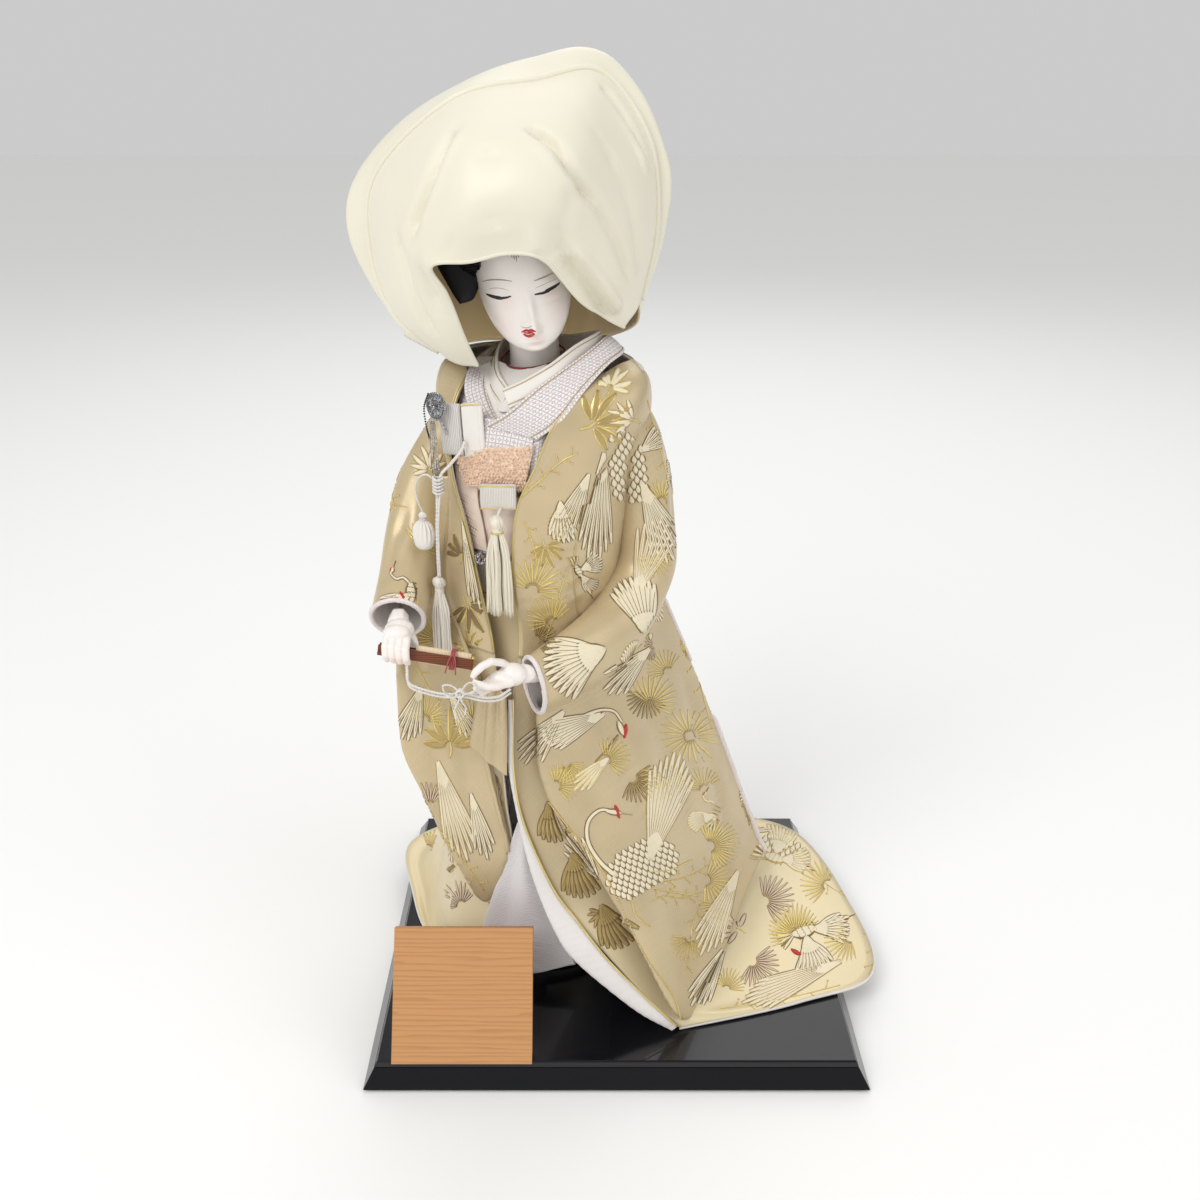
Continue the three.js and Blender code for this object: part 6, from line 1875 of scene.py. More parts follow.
def tassel_piece(name, node, body, at, knob, long, wide, deep, floss, seed):
    """Knotted head, bound neck and a skirt of loose threads."""
    random = np.random.default_rng(seed)
    a, b, up = at
    head = Heap()
    rings = []
    for z, w in ((0.3, 0.2), (0, 0.5), (-1, 0.85), (-2.2, 1), (-3.6, 1), (-5.4, 0.85), (-7, 0.62),
                 (-8, 0.6)):
        rings.append([on_doll(a + w * knob * math.cos(t) * (1 + 0.05 * math.cos(6 * t)),
                              b + w * knob * math.sin(t), up + z)
                      for t in np.linspace(0, math.tau, 36, endpoint=False)])
    head.add(capped(np.array(rings)), closed=True)
    for lean in (0.7, -0.7, 2.4):
        ring = []
        for t in np.linspace(0, math.tau, 25):
            x, z = (knob + 0.25) * math.cos(t), (knob + 0.1) * math.sin(t)
            ring.append(on_doll(a + x * math.cos(lean) - 0.2 * z,
                                b + (knob + 0.2) * math.sin(lean) * math.cos(t) * 0.9
                                + 0.6 * math.cos(t + lean), up - 3 + z * 0.85))
        head.ring(ring, 0.75, 48, sides=9, lobes=3, pitch=4)
    neck = 0.72 * knob
    for k in range(3):
        head.ring(circle(21, lambda c, s: on_doll(a + neck * c, b + neck * s, up - 7 - 0.8 * k)),
                  0.5, 36, sides=7)
    for k in range(88):
        turn = random.uniform(0, math.tau)
        reach = math.sqrt(random.uniform(0.15, 1))
        sway = random.uniform(-0.6, 0.6)
        c, s = math.cos(turn), math.sin(turn)
        end = long * random.uniform(0.965, 1.0)
        line = []
        for z, w, d in (
            (-6.6, 0.5 * knob, 0.5 * knob), (-9, 0.72 * knob, 0.72 * knob),
            (-16, knob * 0.55 + wide * 0.42, knob * 0.55 + deep * 0.42),
            (-long * 0.45, wide * 0.86, deep * 0.86), (-long * 0.72, wide * 0.9, deep * 0.88),
            (-end, wide * 0.95, deep * 0.94),
        ):
            bend = 0.5 * math.sin(z * 0.2 + k)
            line.append(on_doll(a + w * reach * c + bend * 0.5 + sway * z / long, b + d * reach * s,
                                up + z))
        head.strand(line, 0.62, 22, sides=5)
    piece = head.put(name, floss, body)
    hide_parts(node)
    return piece


def make_tassels():
    tassel_piece("dagger_bag_tassel", "dagger_tassel", "dagger_tassel", (8, 58.2, 335),
                 3.6, 57, 8.2, 3.8, CREAM_FLOSS, 31)
    hanger = [on_doll(8, 53.6, 338.5), on_doll(8, 56, 337.0), on_doll(8, 58, 334.4)]
    tube_piece("dagger_tassel_hanger", hanger, 0.8, 16, WHITE_CORD, "dagger_tassel", lobes=3, pitch=4)
    tassel_piece("wallet_cord_tassel", "wallet_tassel", "wallet_tassel", (-27, 64, 296),
                 3.1, 46, 5.7, 3.4, WHITE_FLOSS, 32)
    band = circle(17, lambda c, s: on_doll(8 + 2.9 * c, 58.2 + 2.9 * s, 326.4))
    tube_piece("dagger_tassel_gold_tie", band, 0.6, 40, GOLD_THREAD, "dagger_tassel", lobes=2, pitch=3)


def pad_block(rows, wall):
    """Closed block with soft edges from a net's front face, swollen a little."""
    front = net(rows, 40, 44)
    n = facing(front, on_doll(0, 0, front[..., 2].mean()))
    u = np.linspace(-1, 1, front.shape[1])[None, :]
    v = np.linspace(-1, 1, front.shape[0])[:, None]
    soft = ((1 - np.abs(u) ** 8) * (1 - np.abs(v) ** 8)) ** 0.45
    half = wall / 2 * np.maximum(soft, 0.05)
    top = front + n * half[..., None]
    low = front - n * half[..., None]
    return np.concatenate([top, low[::-1]], 0).transpose(1, 0, 2)


def block_piece(name, node, rows, wall, look):
    piece = closed_piece(name, pad_block(rows, wall), look)
    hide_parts(node)
    return piece


def card_rows(a0, a1, front, tall, lean):
    """Front face of a stiff flat case tucked in the sash, from one side to the other."""
    rows = []
    for k in (0, 1):
        row = []
        for t in (0, 0.5, 1):
            a = a0 + (a1 - a0) * t
            row.append(on_doll(a, front - 0.004 * (a + 18) ** 2 - (0 if k else 2.2),
                               372 + tall * k + lean * t - (0 if k else 11)))
        rows.append(row)
    return np.array(rows)


def make_wallet():
    block_piece("paper_wallet", "wallet", card_rows(-31.5, -18.2, 48.4, 18, 1), 4, WALLET_SILK)
    edge = card_rows(-17.6, -5, 48.2, 19, 2)
    block_piece("wallet_cover_silk", "wallet_cover", edge, 2.6, PLAIN_WHITE)
    n = on_doll(0, 1, 0) - on_doll(0, 0, 0)
    line = [edge[1, k] + n * 1.1 + np.array([0, 0, -0.6]) for k in range(3)]
    tube_piece("wallet_cover_gold_edge", line, 0.35, 20, GOLD_THREAD)
    for k in range(2):
        line = [edge[1, 2] * (1 - t) + edge[0, 2] * t + n * 1.2 for t in (0, 0.5, 1)]
        line = [p + (edge[1, 0] - edge[1, 2]) / 12.6 * (2.2 + 2 * k) for p in line]
        tube_piece("wallet_cover_seam_%d" % k, line, 0.22, 20, WHITE_CORD)


def make_dagger_bag():
    rows = []
    for k in (0, 1):
        rows.append([on_doll(a, 51, 343 + 0.14 * a + (7.2 if k else -7.2)) for a in (-6, 5, 16)])
    block_piece("dagger_bag_silk", "dagger_bag", np.array(rows), 4.4, DAGGER_SILK)
    heap = Heap()
    for side in (-1, 1):
        line = [on_doll(a, 53.0, 343 + 0.14 * a + side * 6.3) for a in (-5.6, 5, 15.6)]
        heap.strand(line, 0.3, 24, sides=8)
    heap.put("dagger_bag_gold_edge", GOLD_THREAD)


def make_hair_ornament():
    """Silver pin tucked by the wallet: pierced drop of scrolls and beads on a stem."""
    heap = Heap()

    def at(x, z, out=0.0):
        return on_doll(-29.5 + x, 54 + out, 389.5 + z)

    def drop(t, scale=1.0):
        wide = 5.7 * math.sin(t) * (1 + 0.18 * math.cos(t))
        return scale * wide, scale * 7.3 * math.cos(t)

    turn = np.linspace(0, math.tau, 49)
    for scale, radius, out in ((1.0, 0.5, 0), (0.8, 0.32, 0.5), (0.42, 0.34, 1.1)):
        ring = [at(*drop(t, scale), out) for t in turn]
        heap.ring(ring, radius, 96, sides=8, lobes=2, pitch=2.4)
    plate = []
    for share in (0.04, 0.3, 0.6, 0.85, 0.97):
        plate.append([at(*drop(t, share), 0.5 - 0.7 * share) for t in turn[:-1]])
    for share in (0.97, 0.6, 0.04):
        plate.append([at(*drop(t, share), -0.8) for t in turn[:-1]])
    heap.add(np.array(plate), closed=True)
    for k in range(10):
        t = math.tau * (k + 0.5) / 10
        x, z = drop(t, 0.62)
        curl = []
        for w in np.linspace(0, 4.6, 22):
            r = 1.15 * (1 - w / 6.5)
            curl.append(at(x + r * math.cos(w + t), z + r * math.sin(w + t), 0.9))
        heap.strand(curl, 0.24, 40, sides=6)
    spots = [at(*drop(t, 0.9), 0.5) for t in np.linspace(0, math.tau, 30, endpoint=False)]
    beads(heap, spots, 0.42)
    beads(heap, [at(0, 0, 1.4)], 1.25, 14)
    beads(heap, [at(*drop(t, 0.27), 1.1) for t in np.linspace(0, math.tau, 8, endpoint=False)], 0.5)
    heap.strand([on_doll(-28.5, 53.2, 384), on_doll(-26, 50.3, 374)], 0.75, 12, sides=12)
    piece = heap.put("silver_drop_ornament", SILVER)
    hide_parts("pin_head")

    chains = Heap()
    dark = Heap()
    for k, (x, low) in enumerate(((-1.9, 355), (-0.6, 352.6), (0.8, 353.6), (2.0, 356))):
        line = spline([on_doll(-31 + 0.5 * x, 55.4, 381.6), on_doll(-31 + x, 55.8, 372),
                       on_doll(-31 + 1.1 * x, 55.6, 362), on_doll(-31 + 1.2 * x, 55.4, low)],
                      np.linspace(0, 1, 30))
        for j in range(29):
            middle = (line[j] + line[j + 1]) / 2
            ahead = unit(line[j + 1] - line[j])
            side = unit(np.cross(ahead, [0.4, 0.9, 0.1] if j % 2 else [0.9, -0.4, 0.1]))
            chains.ring(circle(9, lambda c, s: middle + ahead * 0.62 * c + side * 0.4 * s),
                        0.15, 12, sides=5)
        leaf = on_doll(-31 + 1.2 * x, 55.4, low - 1.6)
        beads(chains, [leaf, leaf + np.array([0, 0, 1.1])], 0.62)
    piece = chains.put("silver_pin_chains", SILVER, "pin_chains")
    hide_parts("pin_chains")
    trail = spline([on_doll(-33.5, 54.6, 396), on_doll(-36.6, 54.5, 388), on_doll(-35.4, 55, 378),
                    on_doll(-33.6, 55.4, 372)], np.linspace(0, 1, 24))
    beads(dark, trail, 0.55)
    dark.put("dark_bead_string", DARK_BEADS)


def make_sachet():
    profile = spline([  # height and radius, from the gathered mouth down
        (0.4, 0.5), (0, 0.9), (-1.2, 2.0), (-2.6, 1.9), (-4, 1.15), (-5, 2.2), (-6.5, 4),
        (-9, 5.3), (-12, 6), (-15.5, 6.1), (-18.5, 5.6), (-20.6, 4.2), (-21.8, 1.8),
    ], np.linspace(0, 1, 60))
    grid = []
    for z, r in profile:
        pleat = 0.22 * max(0, 1 - abs(z + 5) / 12)
        grid.append([on_doll(-38 + r * (1 + pleat * math.cos(14 * t)) * math.cos(t),
                             60 + 0.75 * r * (1 + pleat * math.cos(14 * t)) * math.sin(t), 331 + z)
                     for t in np.linspace(0, math.tau, 112, endpoint=False)])
    pouch = closed_piece("gathered_sachet", capped(np.array(grid)), PLAIN_WHITE, "sachet")
    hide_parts("sachet")
    ring = circle(17, lambda c, s: on_doll(-38 + 1.75 * c, 60 + 1.4 * s, 327))
    tube_piece("sachet_neck_tie", ring, 0.45, 30, WHITE_CORD, "sachet", lobes=3, pitch=3)


# Fan

FAN_FROM = np.array([-128.5, -84, 270.3])
FAN_TO = np.array([-78, -86.5, 262.5])
FAN_ALONG = unit(FAN_TO - FAN_FROM)
FAN_UP = unit(np.array([0, 0.25, 1]) - FAN_ALONG * (np.array([0, 0.25, 1]) @ FAN_ALONG))
FAN_ACROSS = np.cross(FAN_UP, FAN_ALONG)


def on_fan(x, y, z):
    """A point along, across and above the fan, from the end in the right hand."""
    return FAN_FROM + FAN_ALONG * x + FAN_ACROSS * y + FAN_UP * z


def make_fan():
    long = float(np.linalg.norm(FAN_TO - FAN_FROM))
    leaf = Heap()
    for k in range(9):
        y = -1.2 + 0.3 * k
        low, high = -3.6 + 0.06 * (k % 3), 4.8 - 0.12 * (k % 2)
        fold = []
        for x in np.linspace(20, long - 0.5, 8):
            fold.append([on_fan(x, y + a, z) for a, z in (
                (-0.14, low), (0.0, low - 0.14), (0.14, low), (0.14, high), (0.0, high + 0.14),
                (-0.14, high))])
        leaf.add(capped(np.array(fold)), closed=True)
    piece = leaf.put("fan_paper_folds", FAN_PAPER, "fan")
    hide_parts("fan_leaf")
    end = Heap()
    for k in range(5):
        fold = []
        for x in (long - 1.6, long - 0.4, long + 0.15):
            y = -1.2 + 0.6 * k
            fold.append([on_fan(x, y + a, z) for a, z in (
                (-0.26, -3.75), (0.26, -3.75), (0.26, 4.95), (-0.26, 4.95))])
        end.add(capped(np.array(fold)), closed=True)
    end.put("fan_gilt_end", FAN_GOLD, "fan")
    tie = Heap()
    for k in range(3):
        ring = []
        for t in np.linspace(0, math.tau, 33):
            c, s = math.cos(t), math.sin(t)
            y = 3.75 * np.sign(c) * abs(c) ** 0.35
            z = 0.6 + 5.0 * np.sign(s) * abs(s) ** 0.35
            ring.append(on_fan(39.1 + 0.9 * k, y, z))
        tie.ring(ring, 0.5, 90, sides=8, lobes=3, pitch=3)
    for side in (-1, 1):
        line = [on_fan(40, -4, 4.4), on_fan(40 + 1.6 * side, -5, 1.6),
                on_fan(40 + 2.2 * side, -4.9, -2.6), on_fan(40 + 2.8 * side, -4.6, -6.4)]
        tie.strand(line, 0.45, 26, sides=8, lobes=3, pitch=3)
    knot = tie.put("fan_rose_tie", ROSE_CORD, "fan")
    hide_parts("fan_tie")
    for node in ("fan_guard_front", "fan_guard_back", "fan_ribs"):
        soften(finish_node(node, FAN_WOOD), 0.25)
    finish_node("fan_rivet", STEEL)


make_tassels()
make_wallet()
make_dagger_bag()
make_hair_ornament()
make_sachet()
make_fan()


# Woven and embroidered figures of the robe

GARMENTS = [
    (tree_of(robe), 0.7),
    (tree_of(left_sleeve), 0.05),
    (tree_of(right_sleeve), 0.05),
] + [(tree_of(bpy.data.objects["robe_collar_" + side]), 0.55) for side in ("left", "right")]
THREADS = {
    "ivory": IVORY_THREAD, "gold": GOLD_THREAD, "old_gold": DULL_GOLD, "pink": PINK_THREAD,
    "brown": BROWN_THREAD, "red": RED_THREAD,
}
worked = {colour: Heap() for colour in THREADS}


class Ground:
    """Flat drawing space laid on the cloth along lines of sight, or along one level direction."""

    def __init__(self, ahead=None):
        self.ahead = None if ahead is None else unit(np.asarray(ahead, float))
        if ahead is not None:
            self.right = unit(np.cross(self.ahead, [0, 0, 1]))
            self.up = np.cross(self.right, self.ahead)
        self.scale = 1.66 if ahead is None else 1.0

    def ray(self, point):
        if self.ahead is None:
            return EYE, sight(point[0], point[1])
        start = self.right * point[0] + self.up * -point[1] - self.ahead * 400
        return start, self.ahead

    def lay(self, points):
        """Points, outward normals and the piece met (or -1) for a list of flat points."""
        flat = points.reshape(-1, 2)
        spots = np.zeros((len(flat), 3))
        sides = np.zeros((len(flat), 3))
        piece = np.full(len(flat), -1)
        for k, point in enumerate(flat):
            start, ray = self.ray(point)
            start, ray = Vector(start), Vector(ray)
            best = 1e9
            for which, (tree, lift) in enumerate(GARMENTS):
                place, side, _, far = tree.ray_cast(start, ray)
                if place is not None and far - lift < best:
                    best = far - lift
                    if side.dot(ray) > 0:
                        side = -side
                    if side.dot(ray) > -0.12:
                        piece[k] = -1
                        continue
                    piece[k] = which
                    sides[k] = side
                    spots[k] = place + side * lift
        shape = points.shape[:-1]
        return spots.reshape(*shape, 3), sides.reshape(*shape, 3), piece.reshape(shape)


PICTURE = Ground()


def fullness(profile, t):
    """Share of a stitch's width along it."""
    if profile == "leaf":
        return 0.12 + 0.88 * np.sin(math.pi * np.clip(t, 0.03, 0.97)) ** 0.7
    if profile == "feather":
        return 0.32 + 0.68 * np.sin(math.pi * np.clip(t, 0, 1) ** 1.5 * 0.93 + 0.04) ** 0.8
    if profile == "neck":
        return 1.0 - 0.45 * t
    return 0.75 + 0.25 * np.sin(math.pi * t)


def stitch(ground, path, width, colour, outline=None, profile="leaf", tall=0.34):
    """One filled shape of laid thread along a path, over a wider outline."""
    path = np.asarray(path, float)
    length = np.linalg.norm(np.diff(path, axis=0), axis=1).sum() / ground.scale
    count = int(min(26, max(5, length / 1.3)))
    line = spline(path, np.linspace(0, 1, count)) if len(path) > 2 else (
        path[0] + (path[1] - path[0]) * np.linspace(0, 1, count)[:, None])
    t = np.linspace(0, 1, count)
    half = width / 2 * ground.scale * fullness(profile, t)
    ahead = unit(np.gradient(line, axis=0))
    cross = np.stack([-ahead[:, 1], ahead[:, 0]], -1)
    wide = width > 1.1
    shares = (-1, 0, 1) if wide else (0,)
    flat = np.stack([line + cross * (half * s)[:, None] for s in shares], 1)
    spots, sides, piece = ground.lay(flat)
    same = (piece == piece[:, :1]).all(1) & (piece[:, 0] >= 0)
    if not wide:
        tangent = unit(np.gradient(spots[:, 0], axis=0))
        over = unit(np.cross(sides[:, 0], tangent)) * (width / 2 * fullness(profile, t))[:, None]
        spots = np.stack([spots[:, 0] - over, spots[:, 0], spots[:, 0] + over], 1)
        sides = np.repeat(sides, 3, 1)
    else:
        same &= np.linalg.norm(spots[:, 2] - spots[:, 0], axis=1) < width * 2.6 + 1
    step = np.linalg.norm(np.diff(spots[:, 1], axis=0), axis=1)
    near = step < max(4.5, 3.2 * length / count)
    start = None
    for k in range(count + 1):
        alive = k < count and same[k] and (start is None or near[k - 1])
        if alive and start is None:
            start = k
        if not alive and start is not None:
            if k - start >= 3:
                add_stitch(spots[start:k], sides[start:k], width, colour, outline, tall)
            start = k if k < count and same[k] else None


def add_stitch(spots, sides, width, colour, outline, tall):
    out = unit(sides.mean(1))
    middle = spots.mean(1)
    left, right = spots[:, 0], spots[:, 2]
    over = unit(right - left)
    mid = spots[:, 1]
    low, high = out * 0.06, out * tall
    rows = [left + low, (left + mid) / 2 + high * 0.85, mid + high, (mid + right) / 2 + high * 0.85,
            right + low]
    closed = np.stack(rows + [mid - out * 0.25], 1)
    worked[colour].add(capped(closed), closed=True, flat=thread_layout(closed, middle))
    if outline:
        edge = 0.34 if width > 1.6 else 0.22
        grown = np.stack([
            left - over * edge - out * 0.05, left - over * edge * 0.6 + out * tall * 0.62,
            mid + out * tall * 0.3, right + over * edge * 0.6 + out * tall * 0.62,
            right + over * edge - out * 0.05, mid - out * 0.3], 1)
        worked[outline].add(capped(grown), closed=True, flat=thread_layout(grown, middle))


def thread_layout(closed, middle):
    far = np.concatenate([[0], np.linalg.norm(np.diff(middle, axis=0), axis=1).cumsum()]) / 1000
    wide = np.linalg.norm(closed[:, 4] - closed[:, 0], axis=1) / 1000
    u = np.array([0, 0.25, 0.5, 0.75, 1, 0.5])[None] * wide[:, None]
    v = np.repeat(far[:, None], 6, 1)
    flat = np.stack([u, v], -1)
    return np.concatenate([flat[:1], flat, flat[-1:]])


class Figure:
    """Draws in millimetres about a point, turned, sized and mirrored on a ground."""

    def __init__(self, ground, at, turn=0.0, size=1.0, flip=False):
        self.ground = ground
        self.at = np.asarray(at, float)
        c, s = math.cos(math.radians(turn)), math.sin(math.radians(turn))
        self.axes = np.array([[c, -s], [-s, -c]]) * size * ground.scale
        self.size = size
        if flip:
            self.axes = np.array([[-c, -s], [s, -c]]) * size * ground.scale

    def put(self, path, width, colour, outline=None, profile="leaf", tall=0.34):
        """One stitch of the figure; its path is in the figure's own millimetres."""
        path = self.at + np.asarray(path, float) @ self.axes
        stitch(self.ground, path, width * self.size, colour, outline, profile, tall)

    def arc(self, middle, radius, start, end):
        """Points on part of a circle, from one bearing to another in degrees."""
        w = np.radians(np.linspace(start, end, 5))
        return np.stack([middle[0] + radius * np.sin(w), middle[1] + radius * np.cos(w)], -1)


def pine(ground, at, turn=0, size=1.0, spread=140, count=13, colour="gold", outline=None):
    """Fan of pine needles, 11 mm in radius at size 1."""
    f = Figure(ground, at, turn, size)
    for k in range(count):
        w = math.radians(-spread / 2 + spread * k / (count - 1))
        reach = 11 * (0.9 + 0.1 * math.cos(2 * w))
        f.put([(2.2 * math.sin(w), 2.2 * math.cos(w)), (reach * math.sin(w), reach * math.cos(w))],
              0.8, colour, outline, "leaf", 0.36)
    f.put(f.arc((0, 0), 2.1, -spread / 2, spread / 2), 0.8, "old_gold", None, "line")


def leaf_fan(ground, at, turn=0, size=1.0, colour="brown", outline="gold"):
    """Spray of seven pointed leaves, 13 mm long at size 1."""
    f = Figure(ground, at, turn, size)
    for k, w in enumerate((-84, -56, -28, 0, 28, 56, 84)):
        reach = 13 - 0.05 * abs(w)
        w = math.radians(w)
        bend = 1.2 if k % 2 else -1.2
        f.put([(1.5 * math.sin(w), 1.5 * math.cos(w)),
               (reach * 0.55 * math.sin(w) + bend * math.cos(w) * 0.5, reach * 0.55 * math.cos(w)),
               (reach * math.sin(w), reach * math.cos(w))], 2.5, colour, outline)
    f.put([(0, -4), (0.4, -1), (0, 1.5)], 0.9, "gold", None, "line")


def wing(f, base, turn, reach, count=9, spread=64, colour="ivory", outline="brown"):
    """Long flight feathers fanned from a shoulder, with short ones over their roots."""
    for k in range(count):
        w = math.radians(turn - spread / 2 + spread * k / (count - 1))
        long = reach * (0.72 + 0.28 * math.sin(math.pi * (0.25 + 0.6 * k / (count - 1))))
        a = np.array([math.sin(w), math.cos(w)])
        side = np.array([a[1], -a[0]])
        path = [base + a * reach * 0.16, base + a * long * 0.6 + side * 0.9, base + a * long]
        f.put(path, reach * 0.088 + 0.7, colour, outline, "feather", 0.36)
        f.put([base + a * reach * 0.42, base + a * long * 0.86 + side * 0.5], 0.35, outline, None,
              "line", 0.62)
    for ring, share in ((0.30, 0.8), (0.19, 0.95), (0.10, 1.0)):
        for k in range(count - 1):
            w = math.radians(turn - spread / 2 + spread * (k + 0.5) / (count - 1))
            a = np.array([math.sin(w), math.cos(w)])
            f.put([base + a * reach * (ring - 0.08), base + a * reach * (ring + 0.15)],
                  reach * 0.085 * share + 0.5, colour, outline, "feather", 0.55)


def lone_wing(ground, at, turn, reach, count, spread, colour="ivory"):
    """A wing with no bird to it, as a filling figure."""
    wing(Figure(ground, at), np.zeros(2), turn, reach, count, spread, colour)


def crane(ground, at, turn=0, size=1.0, flip=False, pose="flying", shade="ivory", outline="brown"):
    """Crane about 50 mm from beak to tail at size 1, with its red crown."""
    f = Figure(ground, at, turn, size, flip)
    if pose == "flying":
        wing(f, np.array([-2.0, 3.0]), -14, 26, 9, 62, shade, outline)
        wing(f, np.array([3.0, 1.5]), 62, 23, 8, 52, shade, outline)
        neck = [(6, 2), (12, 4.5), (17, 3), (21, 5.5), (24, 6)]
    else:
        wing(f, np.array([-3.0, 0.0]), -40, 28, 9, 44, shade, outline)
        neck = [(4, 2), (8, 8), (6, 13), (9, 17.5), (12, 17)]
    f.put([(-9, -1.5), (-2, 0.5), (6, 2)], 8.5, shade, outline, "leaf", 0.4)
    for row in range(4):
        for k in range(4 - (row % 2)):
            x = -6.5 + 3.6 * row
            y = -2.6 + 2.0 * k + (1.0 if row % 2 else 0) + 0.09 * x
            f.put(f.arc((x, y), 1.15, 20, 160), 0.42, outline, None, "line", 0.62)
    for k in range(5):
        w = math.radians(-112 + 12 * k)
        a = np.array([math.sin(w), math.cos(w)])
        f.put([np.array([-7.5, -1.0]), np.array([-7.5, -1.0]) + a * 11], 2.0,
              "brown" if k % 2 else shade, "gold" if k % 2 else outline, "feather")
    f.put(neck, 2.3, shade, outline, "neck", 0.5)
    head = np.array(neck[-1], float)
    ahead = unit(head - np.array(neck[-2], float))
    f.put([head - ahead * 1.8, head + ahead * 2.2], 2.9, shade, outline, "leaf", 0.62)
    f.put([head + ahead * 1.8, head + ahead * 7.5], 0.7, "old_gold", "brown", "neck", 0.5)
    top = np.array([-ahead[1], ahead[0]])
    f.put([head - ahead * 1.5 + top, head + ahead * 1.3 + top * 1.1], 1.7, "red", None, "leaf",
          0.8)
    for k in (0, 1):
        f.put([(-6, -3 - k), (-13, -5.5 - 1.5 * k), (-19, -6.5 - 2.2 * k)], 0.55, "gold", None,
              "line", 0.5)


def twig(ground, path, flip=1):
    """Gold couched twig with little dots and forks."""
    path = np.asarray(path, float)
    line = spline(path, np.linspace(0, 1, 9))
    stitch(ground, line[:5], 0.85, "gold", None, "line", 0.4)
    stitch(ground, line[4:], 0.85, "gold", None, "line", 0.4)
    for k in range(1, 8):
        ahead = unit(line[k + 1] - line[k - 1])
        side = np.array([-ahead[1], ahead[0]]) * (1 if (k + flip) % 2 else -1)
        a = line[k]
        stitch(ground, [a, a + (ahead * 2.4 + side * 3.2) * ground.scale], 0.7, "gold", None, "leaf",
               0.4)
        b = a + (ahead * 2.6 + side * 4.4) * ground.scale
        stitch(ground, [b - ahead * ground.scale * 0.6, b + ahead * ground.scale * 0.7], 1.15, "gold",
               None, "leaf", 0.6)


def plume(ground, base, tip, count=7, spread=15, width=3.0, colour="ivory", outline="brown", bend=0.0):
    """Bunch of long feathers from a base to a tip, both points of the ground."""
    base, tip = np.asarray(base, float), np.asarray(tip, float)
    along = tip - base
    side = np.array([-along[1], along[0]])
    for k in range(count):
        w = math.radians(spread * ((k + 0.5) / count * 2 - 1))
        long = 1 - 0.22 * abs(k - (count - 1) / 2) / count * 2
        a = along * math.cos(w) * long + side * math.sin(w) * long
        curve = side * bend * (1 if bend else 0)
        stitch(ground, [base + a * 0.06, base + a * 0.55 + curve, base + a], width, colour, outline,
               "feather", 0.38)
        stitch(ground, [base + a * 0.3 + curve * 0.7, base + a * 0.88 + curve * 0.3], 0.35, outline,
               None, "line", 0.66)


def scallops(ground, at, turn, rows, columns, pitch, colour="ivory", outline="brown"):
    """Overlapping round scale feathers in staggered rows."""
    f = Figure(ground, at, turn, 1.0)
    for j in range(rows):
        for k in range(columns - (j % 2)):
            x = (k - (columns - 1) / 2 + (0.5 if j % 2 else 0)) * pitch
            if (2 * x / (columns * pitch)) ** 2 + (2 * j / rows - 1) ** 2 > 1.15:
                continue
            y = -j * pitch * 0.62
            f.put([(x, y + pitch * 0.3), (x, y - pitch * 0.62)], pitch * 0.86, colour, outline,
                  "feather", 0.34 + 0.03 * (j % 2))


def seen_crane(g):
    """Large crane of the left sleeve's foot: scaled body, long raised wing, curved neck."""
    scallops(g, (630, 848), 30, 10, 11, 4.4)
    plume(g, (648, 866), (678, 750), 10, 15, 3.4, "ivory", "old_gold")
    plume(g, (600, 880), (566, 836), 5, 18, 2.6)
    stitch(g, [(616, 876), (600, 862), (588, 842), (588, 822), (600, 810), (615, 812)], 3.2, "ivory",
           "brown",
           "neck", 0.5)
    stitch(g, [(606, 811), (621, 813)], 3.6, "ivory", "brown", "leaf", 0.66)
    stitch(g, [(615, 805), (619, 818)], 3.0, "red", None, "leaf", 0.85)
    stitch(g, [(620, 813), (632, 815)], 0.8, "old_gold", None, "neck", 0.5)
    for path in (((648, 872), (668, 870), (692, 860)), ((650, 888), (672, 892), (698, 896)),
                 ((630, 896), (636, 916), (650, 926))):
        stitch(g, path, 1.1, "gold", None, "line", 0.5)


def arm_wings(g):
    """Wings and scale feathers over the left arm and breast."""
    lone_wing(g, (606, 648), -114, 40, 11, 66)
    lone_wing(g, (650, 640), -18, 40, 9, 44)
    plume(g, (652, 646), (604, 694), 6, 18, 2.8)
    scallops(g, (622, 430), 8, 15, 5, 4.8)
    plume(g, (640, 478), (676, 566), 7, 16, 3.0)
    plume(g, (634, 600), (662, 516), 7, 18, 2.8, "ivory", "old_gold")
    plume(g, (640, 452), (668, 430), 5, 28, 2.6)
    plume(g, (604, 446), (592, 566), 7, 11, 2.8)
    plume(g, (590, 470), (560, 540), 6, 14, 2.6)
    lone_wing(g, (560, 500), 175, 26, 7, 44)


